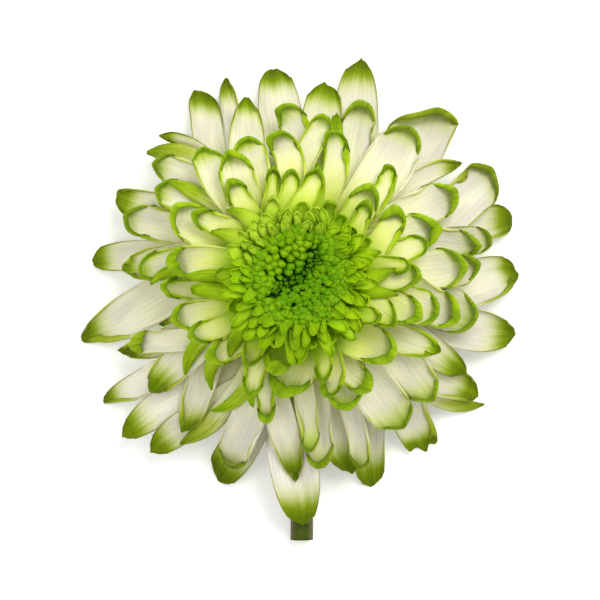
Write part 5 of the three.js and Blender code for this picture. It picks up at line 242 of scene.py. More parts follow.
    ("inner_florets_1", "C", 9.3, 7.08, 28.2, 20.84, 7.97, 39.78, 35.67, 6.51, 19.56, 43.77, 9.65, 20.01, 13.19, 40, 36, 12, 12, 140.72, 1.9, 1.73, 0.7, 2.6, 0.6, 0.32, 0.34, 74.1, 75.09, 0.6, 1.03, 0.48, 0, 0),
    ("inner_florets_1", "N", 2.23, 15.61, 28.2, 5.22, 26.67, 34.01, 9.86, 37.65, 17.42, 9.88, 49.1, 16.56, 8.4, 75, 85, 6, 30, 25, 1.9, 1.4, 0.75, 1.5, 0.6, 0.32, 0.06, 35.15, 20.95, 0.5, 0.34, 0, 0, 0),
    ("cupped_floret_21", "C", 9.23, 12.64, 26, 19.1, 19.17, 38.37, 30.43, 23.64, 19.61, 40.93, 29.1, 14.15, 12.56, 40, 36, 12, 12, 189.03, 1.75, 0.82, 0.72, 2.6, 0.6, 0.32, 0.34, 130.79, 117.4, 1.32, 0.71, 0.5, -0.04, 0),
    ("cupped_floret_20", "C", -10.46, 11.46, 26, -21.28, 16.9, 33.88, -34.62, 9.79, 15.85, -46.7, 8.98, 14.12, 10.64, 40, 62, 12, 12, 38, 1.9, 1.4, 0.76, 2.55, 0.68, 0.32, 0.2, 75.93, 113.87, 1.07, 0.71, 0.15, -0.04, 0),
    ("cupped_floret_19", "C", -7.06, -2.82, 26, -14.57, -12.98, 38.64, -32.25, -9.81, 24.73, -44.67, -12.14, 13.81, 7.91, 40, 36, 12, 12, 198.49, 1.38, 2.8, 0.73, 2.6, 0.6, 0.32, 0.34, 92.92, 76.48, 0.66, 1.04, 0.5, 0.07, 0),
    ("cupped_floret_18", "C", -0.32, -5.06, 26, -0.36, -16.86, 31.9, 1.8, -28.97, 17.63, 2.84, -40.73, 19.81, 7.25, 40, 36, 12, 12, 135.66, 1.06, 0.5, 0.72, 2.6, 0.6, 0.32, 0.34, 97.05, 136.07, 0.69, 1.3, 0.51, -0.1, 0),
    ("cupped_floret_17", "C", 11.24, 6.49, 24.3, 23.39, 6.65, 36.57, 36.85, 4.61, 16.49, 47.87, 9.71, 15.66, 10.58, 40, 36, 12, 12, 164.89, 1.45, 0.68, 0.73, 2.6, 0.6, 0.32, 0.34, 119.72, 96.97, 1.1, 0.77, 0.52, 0.01, 0),
    ("cupped_floret_16", "C", -8.77, 14.12, 24.3, -17.86, 22.45, 36.58, -26.82, 35.79, 18.91, -39.1, 36.8, 13.83, 9.92, 40, 36, 12, 12, 175.85, 1.08, 0.51, 0.76, 2.6, 0.6, 0.32, 0.34, 136.49, 104.65, 1.13, 1.26, 0.48, -0.03, 0),
    ("cupped_floret_15", "C", 10.98, 4.52, 26, 23.16, 2.55, 31.21, 35.29, -1.53, 14.94, 47.26, -4.51, 12.67, 15.35, 40, 36, 12, 80, 153.43, 1.57, 0.74, 0.75, 2.6, 0.6, 0.32, 0.34, 97.1, 88.6, 0.74, 0.69, 0.52, 0.04, 0),
    ("cupped_floret_14", "C", 5.5, -3.62, 24.3, 11.61, -14.16, 36.43, 20.79, -24.51, 16.95, 27.98, -34.34, 12.83, 15.73, 40, 36, 60, 12, 183.07, 0.74, 0.35, 0.73, 2.6, 0.6, 0.32, 0.34, 78.29, 133.35, 0.91, 0.61, 0.48, 0.02, 0),
    ("cupped_floret_13", "C", 8.42, 13.9, 24.3, 18.29, 22.48, 36.56, 34.76, 15.27, 14.91, 47.84, 14.93, 13.43, 9.92, 40, 36, 12, 12, 163.29, 1.68, 0.88, 0.71, 2.6, 0.6, 0.32, 0.34, 126.69, 131.48, 0.85, 1.33, 0.53, -0.04, 0),
    ("cupped_floret_12", "C", 10.38, 1.96, 24.3, 21.99, -2.82, 31.75, 27.33, -17.13, 16.94, 35.7, -26.48, 16.85, 14.29, 40, 36, 60, 12, 153.02, 1.26, 0.59, 0.7, 2.6, 0.6, 0.32, 0.34, 140.32, 102.34, 1.14, 1.16, 0.48, 0.08, 0),
    ("cupped_floret_11", "C", 7.14, 15.01, 26, 15.34, 24.59, 37.6, 25.25, 34.68, 14.46, 28.74, 46.8, 12.21, 17.18, 40, 36, 12, 60, 160.13, 1.34, 0.63, 0.67, 2.6, 0.6, 0.32, 0.34, 89.8, 150, 0.84, 1.4, 0.48, -0.05, 0),
    ("cupped_floret_10", "C", -10.43, 11.78, 24.3, -21.48, 17.69, 29.34, -34.82, 18.96, 14.36, -46.84, 22.51, 11.71, 12.62, 40, 36, 100, 12, 160.28, 1.59, 0.75, 0.72, 2.6, 0.6, 0.32, 0.34, 140, 92.08, 1.8, 1.36, 0.51, 0.02, 0),
    ("outer_floret_25", "O", -8.74, 13.98, 26, -18.52, 22.82, 34.02, -13.6, 39.94, 14.26, -14.65, 53.07, 11.34, 10.43, 20, 32, 6, 6, 38, 3.2, 1.2, 0.72, 2.15, 0.68, 0.32, 0.14, 52.88, 68.83, 0.52, 0.81, 0.15, 0.06, 0),
    ("cupped_floret_09", "C", -9.59, -0.23, 26, -19.96, -7.54, 38, -31.8, -13.39, 18.87, -39.31, -23.62, 15.97, 11.32, 40, 62, 12, 12, 38, 1.9, 1.4, 0.75, 2.55, 0.68, 0.32, 0.3, 95.78, 91.86, 1.03, 0.84, 0.15, -0.04, 0),
    ("cupped_floret_08", "C", 6.73, 15.49, 24.3, 14.57, 25.72, 31.9, 13.89, 40.26, 14.09, 17.48, 52.64, 11.17, 12.14, 40, 36, 12, 60, 163.78, 1.9, 0.89, 0.7, 2.6, 0.6, 0.32, 0.34, 103.58, 142.34, 1.31, 1.05, 0.52, 0.03, 0),
    ("outer_floret_24", "O", 10.61, 2.22, 22.6, 22.85, -2.42, 27.44, 32.56, -11.92, 17.65, 43.58, -18.99, 11.47, 8.93, 20, 32, 40, 6, 27, 3.2, 1.2, 0.75, 2.15, 0.68, 0.32, 0.2, 40.65, 57.11, 0.37, 0.66, 0.15, -0.02, 0),
    ("cupped_floret_07", "C", 1.95, -4.96, 24.3, 4.54, -18.08, 29.09, 4.37, -31.56, 14.14, 5.58, -44.88, 15.55, 9.28, 40, 36, 12, 12, 151.15, 1.59, 1.51, 0.74, 2.6, 0.6, 0.32, 0.34, 107.26, 84.65, 0.84, 1.22, 0.44, -0.11, 0),
    ("cupped_floret_06", "C", -10.93, 1.97, 24.3, -23.9, -3.34, 35.91, -25.36, -21.75, 13.3, -31.31, -34.43, 15.4, 10.04, 40, 62, 12, 12, 38, 1.9, 1.4, 0.77, 2.55, 0.68, 0.32, 0.2, 82.03, 134.51, 0.65, 1.18, 0.15, -0.06, 0),
    ("outer_floret_23", "O", 2.85, 17.56, 22.6, 6.4, 30.27, 27.28, 5.53, 43.82, 13.06, 6.88, 56.95, 9.38, 12.56, 20, 32, 6, 70, 36, 3.2, 1.2, 0.71, 3.2, 0.68, 0.32, 0.3, 55.73, 63.91, 0.55, 0.47, 0.15, 0.01, 0),
    ("cupped_floret_05", "C", -10.81, 1.4, 22.6, -22.87, -4.26, 34.28, -34.56, -12.15, 13, -47.78, -13.76, 9.22, 9.07, 40, 62, 12, 12, 38, 1.9, 1.4, 0.75, 2.55, 0.68, 0.32, 0.12, 76.18, 140.69, 1, 1.26, 0.15, -0.07, 0),
    ("cupped_floret_04", "C", 11.08, 8.92, 22.6, 24.14, 11.88, 27.27, 38.42, 16.6, 13.27, 51.8, 15.86, 9.25, 10.72, 40, 36, 12, 60, 167.66, 1.01, 0.47, 0.73, 2.6, 0.6, 0.32, 0.34, 70.27, 136.95, 0.7, 1.34, 0.46, 0.06, 0),
    ("rolled_floret_04", "N", -8.31, 14.93, 20.9, -17.91, 25.17, 32.68, -27.53, 41.93, 12.88, -41.52, 40.83, 8.68, 11.58, 75, 85, 6, 6, 25, 1.3, 0.48, 0.75, 1.9, 0.8, 0.34, 0.06, 33.34, 29.6, 0.65, 0.58, 0, 0, 0),
    ("outer_floret_22", "O", -7.58, 15.26, 24.3, -16.33, 25.94, 28.93, -23.24, 41.03, 12.67, -36.48, 44.94, 8.43, 6.28, 20, 32, 90, 6, 27, 3.2, 1.2, 0.77, 2.15, 0.68, 0.33, 0.12, 150, 49.57, 2.6, 0.71, 0.15, 0.02, 0),
    ("rolled_floret_03", "O", 8.62, 13.85, 22.6, 19.29, 22.84, 28.61, 29.4, 34.92, 12.66, 43.1, 37.55, 8.34, 7.86, 70, 80, 12, 12, 38, 1.6, 0.8, 0.74, 2.15, 0.68, 0.32, 0.11, 120, 61.51, 1, 0.43, 0.15, 0.06, 0),
    ("cupped_floret_03", "C", -3.9, -4.59, 24.3, -8.26, -17.77, 35.73, -14.23, -31.89, 21.2, -19.14, -44.87, 7.6, 11.64, 40, 36, 12, 12, 185.58, 1.06, 0.5, 0.72, 2.6, 0.6, 0.32, 0.34, 131.25, 75.89, 1.39, 0.62, 0.45, 0.06, 0),
    ("cupped_floret_02", "C", 3.86, -4.53, 22.6, 8.87, -17.68, 28.46, 17.07, -31.5, 11.98, 16.66, -45.57, 9.31, 7.95, 40, 36, 70, 12, 171.3, 1.1, 0.52, 0.77, 2.6, 0.6, 0.32, 0.34, 96.58, 69.61, 1.18, 0.87, 0.49, 0.1, 0),
    ("outer_floret_21", "O", -6.99, 15.86, 22.6, -15.24, 27.55, 27.01, -38.6, 22.99, 10.78, -48.31, 27.58, 7.03, 9.88, 20, 32, 6, 6, 38, 3.2, 1.2, 0.75, 4, 0.68, 0.32, 0.58, 49.32, 130, 0.76, 1.2, 0.15, -0.2, 0),
    ("outer_floret_20", "O", 1.89, -5.21, 20.9, 4.44, -18.78, 25.12, 9.56, -31.72, 11.79, 13.4, -44.98, 6.92, 13.92, 20, 32, 6, 40, 38, 3.2, 1.2, 0.67, 2.15, 0.68, 0.32, 0.24, 41.78, 50.8, 0.41, 0.74, 0.15, 0, 0),
    ("cupped_floret_01", "C", -6.47, -3.65, 20.9, -14.28, -16.24, 32.43, -3.57, -32.82, 18.58, -1.48, -47.49, 12.91, 10.07, 40, 62, 12, 12, 38, 1.9, 1.4, 0.72, 1.95, 0.68, 0.32, 0.13, 83.75, 111.77, 1.36, 0.81, 0.15, 0.01, 0),
    ("rolled_floret_02", "N", -6.09, -3.74, 22.6, -13.44, -16.49, 28.46, -18.77, -32.51, 19.72, -31.92, -39.12, 12.36, 8.6, 75, 85, 6, 60, 25, 1.6, 0.8, 0.76, 1.9, 0.8, 0.32, 0.06, 31.51, 23, 0.57, 0.34, 0, 0, 0),
    ("outer_floret_19", "O", -11.92, 8.03, 20.9, -26.29, 10.1, 25.14, -41.46, 14.18, 7.18, -55.7, 11.36, 0.62, 8.99, 20, 32, 6, 6, 22.5, 3.2, 1.2, 0.73, 3.4, 0.68, 0.32, 0.36, 59.74, 46.05, 0.61, 0.59, 0.15, 0.06, 0),
    ("outer_floret_18", "O", -0.98, 18.08, 20.9, -1.86, 32.76, 24.97, -4.94, 47.57, 7.43, -6.9, 62.14, 0.59, 12.59, 20, 32, 6, 6, 27, 3.2, 1.2, 0.67, 3.4, 0.68, 0.32, 0.32, 67.06, 49.46, 0.64, 0.52, 0.15, 0.07, 0),
    ("outer_floret_17", "O", -10.32, 12.47, 20.9, -23.37, 20.43, 24.97, -25.19, 44.15, 6.26, -27.28, 55.43, 0.63, 9.6, 20, 32, 6, 6, 38, 3.2, 1.2, 0.73, 4.2, 0.68, 0.32, 0.6, 90, 46.43, 0.8, 0.47, 0.15, 0.22, 0),
    ("outer_floret_16", "O", -4.81, 17.2, 20.9, -10.58, 31, 24.85, -18.64, 44.76, 7.73, -20.36, 59.63, 0.61, 6.9, 20, 32, 6, 6, 27, 3.2, 1.2, 0.77, 2.15, 0.68, 0.32, 0.1, 68.33, 120, 0.43, 0.9, 0.15, 0.08, 0),
    ("outer_floret_15", "O", 5.92, -3.65, 20.9, 14.04, -16.73, 31.8, 33.04, -17.98, 13.98, 46.64, -25.18, 6.09, 11.79, 20, 32, 6, 60, 36, 3.2, 1.2, 0.75, 2.15, 0.68, 0.32, 0.4, 120, 120, 1.2, 1.2, 0.15, -0.08, 0),
    ("outer_floret_14", "O", 7.59, -2.72, 17.5, 17.5, -14.14, 28.27, 29.88, -24.75, 11.84, 35.26, -38.88, 0.98, 14.72, 20, 32, 140, 6, 31.5, 3.2, 1.2, 0.74, 4, 0.68, 0.32, 0.58, 172, 42.54, 4.6, 0.53, 0.15, -0.03, 3),
    ("outer_floret_13", "O", 11.55, 7.5, 19.2, 26.92, 8.99, 26.2, 44.31, 26.67, 6.94, 52.34, 35.01, 0.68, 15.6, 20, 18, 110, 60, 194.99, 1.35, 0.63, 0.74, 4, 0.6, 0.32, 0.55, 155, 67.67, 2.2, 0.59, 0.47, 0.01, 0),
    ("outer_floret_12", "C", 7.27, 15.37, 20.9, 16.94, 26.95, 27.2, 30.58, 39.84, 6.7, 34.9, 49.5, 0.67, 20.43, 20, 18, 110, 40, 178.04, 2.67, 1.26, 0.72, 4.2, 0.6, 0.32, 0.7, 120, 77.49, 1.2, 1.28, 0.2, -0.34, 0),
    ("outer_floret_11", "O", 10.13, 0.37, 17.5, 24.14, -7.67, 28.53, 42.48, 3.68, 9.03, 58.28, 6.99, 0.67, 15.56, 20, 32, 45, 85, 27, 3.2, 1.2, 0.76, 2.15, 0.68, 0.32, 0.36, 38.66, 155, 0.39, 1.7, 0.15, -0.02, 0),
    ("outer_floret_10", "O", -3.94, -4.83, 20.9, -8.72, -19.4, 31.72, -11.37, -35.76, 12.68, -21.11, -47.62, 0.94, 12.28, 20, 32, 50, 6, 38, 3.2, 1.2, 0.72, 3.8, 0.68, 0.32, 0.5, 54.82, 36.89, 0.63, 0.57, 0.15, 0.12, 0),
    ("outer_floret_09", "O", 8.87, -1.05, 20.9, 21.55, -11.32, 24.97, 17.44, -32.71, 8.94, 19.91, -48.84, 0.64, 10.25, 20, 32, 40, 6, 36, 3.2, 1.2, 0.73, 3.8, 0.68, 0.32, 0.46, 60.77, 67.91, 0.57, 0.69, 0.15, -0.07, 0),
    ("outer_floret_08", "O", 10.08, 12.17, 19.2, 23.94, 19.98, 23.17, 41.32, 18.78, 8.75, 56.88, 22.07, 0.65, 11.53, 20, 32, 6, 80, 27, 3.2, 1.2, 0.76, 3.6, 0.68, 0.32, 0.46, 66.37, 110, 0.45, 0.9, 0.15, -0.02, 0),
    ("outer_floret_07", "O", 11.04, 2.72, 19.2, 26.28, -2.17, 23.19, 41.65, -9.2, 8.76, 57.66, -9.21, 0.65, 13.75, 20, 32, 50, 60, 27, 3.2, 1.2, 0.74, 2.15, 0.68, 0.32, 0.14, 59.33, 42.65, 0.64, 0.37, 0.15, -0.01, 0),
    ("rolled_floret_01", "N", 8.83, -1.29, 19.2, 21.62, -12.02, 23.36, 33.97, -31.29, 8.94, 50.54, -29.23, 0.44, 7.23, 75, 85, 6, 6, 25, 1.3, 0.48, 0.78, 1.9, 0.8, 0.32, 0.06, 39.36, 34.83, 0.49, 0.52, 0, 0, 0),
    ("outer_floret_06", "O", 8.36, 14.5, 19.2, 20.6, 26.05, 23.4, 14.23, 47.77, 9.16, 16.62, 64.43, 0.63, 12.82, 20, 32, 6, 45, 31.5, 3.2, 1.2, 0.72, 2.15, 0.68, 0.32, 0.14, 53.33, 57.66, 0.38, 0.47, 0.15, -0.07, 0),
    ("outer_floret_05", "O", -12.15, 8.1, 17.5, -28.52, 10.52, 21.63, -43.05, -4.07, 9.02, -58.46, -10.11, 0.63, 14.39, 20, 32, 50, 40, 31.5, 3.2, 1.2, 0.66, 2.15, 0.68, 0.32, 0.16, 150, 90, 2.4, 0.8, 0.15, 0.07, 0),
    ("outer_floret_04", "O", -2.35, -5.35, 19.2, -5.3, -22.01, 25.69, -25.87, -29.19, 19.45, -38.81, -40.08, 8.2, 9.69, 20, 32, 45, 6, 38, 3.2, 1.2, 0.78, 2.15, 0.68, 0.32, 0.3, 33.4, 51.35, 0.83, 0.58, 0.15, 0.02, 0),
    ("outer_floret_03", "O", -10.12, -0.51, 17.5, -23.98, -10.17, 28.71, -37.15, -21.78, 16.13, -53, -27.63, 1.31, 9.08, 20, 32, 100, 6, 22.5, 3.2, 1.2, 0.77, 1.75, 0.68, 0.32, 0.14, 155, 67.19, 2.1, 0.63, 0.15, 0.08, 0),
    ("outer_floret_02", "O", -7.05, -3.56, 17.5, -16.72, -17.69, 21.77, -33.55, -25.25, 16.55, -46.78, -36.11, 8.2, 10.95, 20, 32, 50, 6, 31.5, 3.2, 1.2, 0.71, 2.15, 0.68, 0.32, 0.24, 56.54, 66.66, 0.66, 0.53, 0.15, 0.08, 0),
    ("outer_floret_01", "O", -3.76, -5.14, 17.5, -9.1, -22.72, 22.08, -0.81, -41.77, 17.16, 0.65, -60.08, 8.2, 14.05, 20, 32, 6, 6, 19.8, 3.2, 1.2, 0.73, 2.15, 0.68, 0.32, 0.2, 52.58, 33.23, 0.84, 0.62, 0.15, 0.01, 0),
    ("under_2", "O", 9.75, 4.49, 21.5, 16.81, 2.59, 27.95, 22.11, 0.62, 25.91, 27.28, -1.72, 21.86, 8.35, 31.34, 30, 10, 10, 39.87, 2.45, 0.89, 0.66, 2.4, 0.62, 0.45, 0.32, 60, 44.28, 0.8, 0.85, 0.2, 0.1, 0),
    ("under_2", "O", 2.68, -3.42, 21.5, 5.21, -10.2, 28, 7.53, -15.27, 26.01, 10.11, -20.24, 22.01, 9.52, 29.72, 30, 10, 10, 43.18, 2.76, 0.84, 0.66, 2.4, 0.62, 0.45, 0.32, 60, 43.78, 0.8, 0.92, 0.2, -0.03, 0),
    ("under_2", "O", -10.36, 7.91, 21.5, -18.56, 8.55, 28.06, -24.91, 8.47, 26.12, -31.28, 7.96, 22.18, 10.12, 25.83, 30, 10, 10, 35.16, 2.79, 0.77, 0.66, 2.4, 0.62, 0.45, 0.32, 60, 56.51, 0.8, 0.97, 0.2, 0, 0),
    ("under_2", "O", 9.85, 7.51, 21.5, 17.59, 8.93, 27.97, 23.45, 10.48, 25.94, 29.24, 12.36, 21.9, 8.64, 28.55, 30, 10, 10, 36.71, 2.73, 0.62, 0.66, 2.4, 0.62, 0.45, 0.32, 60, 61.49, 0.8, 0.57, 0.2, 0.01, 0),
    ("under_2", "O", 5.25, 14.91, 21.5, 9.45, 21.26, 27.82, 12.74, 26.1, 25.64, 16.09, 30.91, 21.45, 8.39, 25.91, 30, 10, 10, 40.85, 2.87, 0.56, 0.66, 2.4, 0.62, 0.45, 0.32, 60, 45.1, 0.8, 0.79, 0.2, -0.06, 0),
    ("under_2", "O", 2.53, 16.15, 21.5, 4.39, 23.72, 28.19, 5.56, 29.62, 26.39, 6.53, 35.55, 22.58, 8.8, 27.01, 30, 10, 10, 39.39, 2.4, 1.06, 0.66, 2.4, 0.62, 0.45, 0.32, 60, 44.07, 0.8, 0.71, 0.2, -0.06, 0),
    ("under_2", "O", -9.61, 10.47, 21.5, -16.76, 13.54, 28.01, -22.3, 15.82, 26.01, -27.86, 18.05, 22.02, 8.19, 33.35, 30, 10, 10, 37.5, 2.6, 0.48, 0.66, 2.4, 0.62, 0.45, 0.32, 60, 43.17, 0.8, 1.01, 0.2, -0.06, 0),
    ("under_2", "O", -10.36, 4.79, 21.5, -18.01, 3.12, 27.89, -23.8, 1.41, 25.78, -29.52, -0.61, 21.67, 9.77, 25.74, 30, 10, 10, 35.55, 2.92, 0.5, 0.66, 2.4, 0.62, 0.45, 0.32, 60, 53.32, 0.8, 0.6, 0.2, 0.01, 0),
    ("under_2", "O", -2.84, 16.21, 21.5, -4.77, 23.86, 28.03, -6.22, 29.74, 26.06, -7.65, 35.64, 22.09, 9.76, 28.41, 30, 10, 10, 42.86, 2.35, 1.03, 0.66, 2.4, 0.62, 0.45, 0.32, 60, 57.24, 0.8, 0.89, 0.2, -0.09, 0),
    ("under_2", "O", -3.59, -3.31, 21.5, -6.79, -10.59, 28, -9.79, -15.95, 26.01, -13.19, -21.12, 22.01, 9.97, 34.33, 30, 10, 10, 42.08, 2.64, 0.98, 0.66, 2.4, 0.62, 0.45, 0.32, 60, 60.66, 0.8, 0.78, 0.2, -0.02, 0),
    ("under_2", "O", 8.92, 10.75, 21.5, 15.46, 14.3, 27.8, 20.33, 17.34, 25.6, 25.08, 20.59, 21.41, 11.26, 31.82, 30, 10, 10, 36.98, 2.8, 0.92, 0.66, 2.4, 0.62, 0.45, 0.32, 60, 51.29, 0.8, 0.86, 0.2, -0.01, 0),
    ("under_2", "O", 7.33, 13.13, 21.5, 12.34, 18.52, 28.17, 15.75, 23.07, 26.34, 18.83, 27.91, 22.51, 10.33, 32.66, 30, 10, 10, 34.29, 2.28, 1.04, 0.66, 2.4, 0.62, 0.45, 0.32, 60, 59.88, 0.8, 0.8, 0.2, -0.07, 0),
    ("under_2", "O", 7.46, -0.31, 21.5, 13.97, -5.39, 28.08, 19.21, -9.02, 26.16, 24.61, -12.43, 22.24, 10.03, 26.58, 30, 10, 10, 40.7, 2.96, 0.59, 0.66, 2.4, 0.62, 0.45, 0.32, 60, 61.66, 0.8, 0.76, 0.2, 0.01, 0),
    ("under_2", "O", 5.3, -2.2, 21.5, 9.11, -9.01, 28.05, 11.63, -14.48, 26.1, 13.83, -20.11, 22.15, 9.36, 33.95, 30, 10, 10, 39.4, 2.6, 0.63, 0.66, 2.4, 0.62, 0.45, 0.32, 60, 56.67, 0.8, 0.65, 0.2, 0.09, 0),
    ("under_2", "O", -8.18, 12.79, 21.5, -13.95, 18.39, 28.13, -17.96, 23.15, 26.27, -21.62, 28.22, 22.4, 10.42, 32.37, 30, 10, 10, 37.96, 2.29, 0.59, 0.66, 2.4, 0.62, 0.45, 0.32, 60, 63.35, 0.8, 0.91, 0.2, 0.08, 0),
    ("under_2", "O", -8.26, -0.01, 21.5, -14.16, -5.37, 27.99, -18.37, -9.84, 25.99, -22.34, -14.56, 21.98, 9.43, 27.85, 30, 10, 10, 43.98, 2.82, 0.52, 0.66, 2.4, 0.62, 0.45, 0.32, 60, 49.58, 0.8, 0.6, 0.2, 0.05, 0),
    ("under_2", "O", -0.54, 16.54, 21.5, -1.27, 24.73, 27.87, -2.32, 31, 25.74, -3.73, 37.22, 21.61, 8.09, 28.72, 30, 10, 10, 43.53, 2.95, 0.49, 0.66, 2.4, 0.62, 0.45, 0.32, 60, 58.15, 0.8, 0.64, 0.2, 0.01, 0),
    ("under_2", "O", -5.93, -2.15, 21.5, -10.14, -9.07, 28.13, -13.13, -14.55, 26.27, -15.92, -20.14, 22.4, 9.42, 32.49, 30, 10, 10, 37.88, 2.71, 0.6, 0.66, 2.4, 0.62, 0.45, 0.32, 60, 62.34, 0.8, 0.96, 0.2, -0.01, 0),
    ("under_2", "O", -6.13, 14.69, 21.5, -10.59, 21.2, 28.17, -13.95, 26.25, 26.35, -17.27, 31.33, 22.52, 8.74, 32.73, 30, 10, 10, 42.08, 2.18, 0.99, 0.66, 2.4, 0.62, 0.45, 0.32, 60, 52.8, 0.8, 0.97, 0.2, -0.03, 0),
    ("under_2", "O", -9.72, 2.49, 21.5, -17.31, -1.37, 27.97, -22.86, -4.92, 25.94, -28.15, -8.9, 21.92, 9.33, 30.71, 30, 10, 10, 36.77, 2.28, 0.81, 0.66, 2.4, 0.62, 0.45, 0.32, 60, 65.95, 0.8, 0.8, 0.2, -0.03, 0),
    ("under_2", "O", -0.66, -3.85, 21.5, -0.23, -11.3, 27.83, 0.71, -17.01, 25.67, 2.11, -22.66, 21.5, 10.76, 29.58, 30, 10, 10, 35.81, 2.13, 0.92, 0.66, 2.4, 0.62, 0.45, 0.32, 60, 52.63, 0.8, 1.02, 0.2, 0.01, 0),
    ("under_2", "O", 9.01, 2.13, 21.5, 16.12, -1.14, 27.98, 21.56, -3.71, 25.95, 26.99, -6.31, 21.93, 10.5, 32.24, 30, 10, 10, 37.69, 2.22, 0.76, 0.66, 2.4, 0.62, 0.45, 0.32, 60, 47.6, 0.8, 0.85, 0.2, 0.09, 0),
    ("under_1", "O", -0.2, -3.16, 17, -0.83, -12.31, 19.2, -2.27, -23.03, 14.89, -4.4, -32.58, 9.59, 11.37, 18.99, 22, 10, 10, 31.83, 3.22, 0.73, 0.66, 2.4, 0.62, 0.45, 0.32, 50, 41.14, 0.7, 0.52, 0.15, 0.08, 0),
    ("under_1", "O", 4.59, 14.49, 17, 9.38, 22.21, 18.86, 15.12, 31.21, 14.21, 20.44, 39.21, 8.57, 10.24, 22.6, 22, 10, 10, 32.15, 2.89, 0.99, 0.66, 2.4, 0.62, 0.45, 0.32, 50, 50.95, 0.7, 0.77, 0.15, -0.05, 0),
    ("under_1", "O", 2.2, 15.51, 17, 4.02, 24.28, 18.98, 5.65, 34.71, 14.47, 6.49, 44.2, 8.95, 12.05, 19.81, 22, 10, 10, 26.84, 3.44, 0.71, 0.66, 2.4, 0.62, 0.45, 0.32, 50, 42.62, 0.7, 0.51, 0.15, 0.03, 0),
    ("under_1", "O", 8.02, 1.71, 17, 14.8, -2.31, 18.81, 22.69, -7.22, 14.13, 29.66, -11.84, 8.44, 12.47, 21.51, 22, 10, 10, 31.97, 2.86, 0.67, 0.66, 2.4, 0.62, 0.45, 0.32, 50, 52.65, 0.7, 0.65, 0.15, 0, 0),
    ("under_1", "O", 8.86, 3.76, 17, 16.34, 1.44, 19.03, 25.08, -1.47, 14.57, 32.88, -4.31, 9.1, 11.1, 20.63, 22, 10, 10, 30.42, 3.07, 1, 0.66, 2.4, 0.62, 0.45, 0.32, 50, 42.27, 0.7, 0.59, 0.15, 0.01, 0),
    ("under_1", "O", 8.96, 8.57, 17, 17.2, 10.94, 19.15, 26.81, 14.07, 14.79, 35.33, 17.3, 9.44, 13.09, 23.71, 22, 10, 10, 28.38, 2.98, 0.94, 0.66, 2.4, 0.62, 0.45, 0.32, 50, 40.41, 0.7, 0.85, 0.15, 0.08, 0),
    ("under_1", "O", -9.52, 4.15, 17, -18.51, 1.78, 19.12, -29.03, -1.22, 14.75, -38.41, -4.19, 9.37, 10.13, 25.11, 22, 10, 10, 25.77, 2.99, 1.08, 0.66, 2.4, 0.62, 0.45, 0.32, 50, 41.38, 0.7, 0.82, 0.15, 0.1, 0),
    ("under_1", "O", 6.41, -0.4, 17, 12.05, -6.01, 18.87, 18.72, -12.58, 14.25, 24.77, -18.44, 8.62, 11.96, 20.49, 22, 10, 10, 30.3, 3.47, 0.96, 0.66, 2.4, 0.62, 0.45, 0.32, 50, 46.41, 0.7, 0.79, 0.15, -0.03, 0),
    ("under_1", "O", 7.94, 11.1, 17, 15.08, 14.88, 18.92, 23.61, 19.09, 14.34, 31.44, 22.57, 8.76, 10.61, 21.74, 22, 10, 10, 29.58, 2.78, 0.99, 0.66, 2.4, 0.62, 0.45, 0.32, 50, 49.53, 0.7, 0.85, 0.15, -0.05, 0),
    ("under_1", "O", -5.06, -1.87, 17, -9.61, -8.48, 19.08, -15.43, -15.95, 14.66, -21.21, -22.25, 9.24, 9.36, 19.29, 22, 10, 10, 31.54, 3.29, 1.03, 0.66, 2.4, 0.62, 0.45, 0.32, 50, 51.03, 0.7, 0.59, 0.15, 0, 0),
    ("under_1", "O", -9.78, 6.11, 17, -18.12, 6.13, 18.88, -27.92, 6.37, 14.26, -36.75, 6.84, 8.63, 11.94, 20.57, 22, 10, 10, 27.49, 3.48, 0.83, 0.66, 2.4, 0.62, 0.45, 0.32, 50, 49.88, 0.7, 0.87, 0.15, -0.05, 0),
    ("under_1", "O", 6.36, 13.14, 17, 11.91, 19.46, 18.96, 18.14, 27.18, 14.43, 23.34, 34.45, 8.89, 11.66, 24.63, 22, 10, 10, 29.18, 3.42, 1.03, 0.66, 2.4, 0.62, 0.45, 0.32, 50, 50.77, 0.7, 0.86, 0.15, 0.04, 0),
    ("under_1", "O", -9.42, 8.93, 17, -17.94, 11.3, 18.92, -27.96, 14.05, 14.35, -37, 16.5, 8.77, 10.64, 19.28, 22, 10, 10, 26.16, 2.81, 0.62, 0.66, 2.4, 0.62, 0.45, 0.32, 50, 36.25, 0.7, 0.82, 0.15, 0, 0),
    ("under_1", "O", -2.89, -2.8, 17, -5.75, -10.69, 18.91, -9.61, -19.79, 14.32, -13.72, -27.73, 8.72, 12.25, 23.52, 22, 10, 10, 25.53, 2.8, 0.65, 0.66, 2.4, 0.62, 0.45, 0.32, 50, 50.83, 0.7, 0.7, 0.15, -0.01, 0),
    ("under_1", "O", -7.09, 12.97, 17, -13.26, 19.1, 18.99, -20.46, 26.39, 14.48, -26.87, 33.02, 8.97, 10.75, 20.58, 22, 10, 10, 31.29, 3.3, 0.58, 0.66, 2.4, 0.62, 0.45, 0.32, 50, 50.21, 0.7, 0.82, 0.15, 0.05, 0),
    ("under_1", "O", -0.58, 15.84, 17, -0.37, 23.96, 19.14, 0.28, 33.5, 14.79, 1.38, 42.07, 9.43, 10.79, 21.22, 22, 10, 10, 29.78, 3.09, 0.82, 0.66, 2.4, 0.62, 0.45, 0.32, 50, 45.46, 0.7, 0.88, 0.15, -0.05, 0),
    ("under_1", "O", -8.44, 11.2, 17, -15.83, 14.89, 19.16, -24.76, 18.74, 14.82, -33.08, 21.58, 9.48, 11.73, 19.62, 22, 10, 10, 26.53, 2.93, 0.55, 0.66, 2.4, 0.62, 0.45, 0.32, 50, 45.24, 0.7, 0.6, 0.15, -0.08, 0),
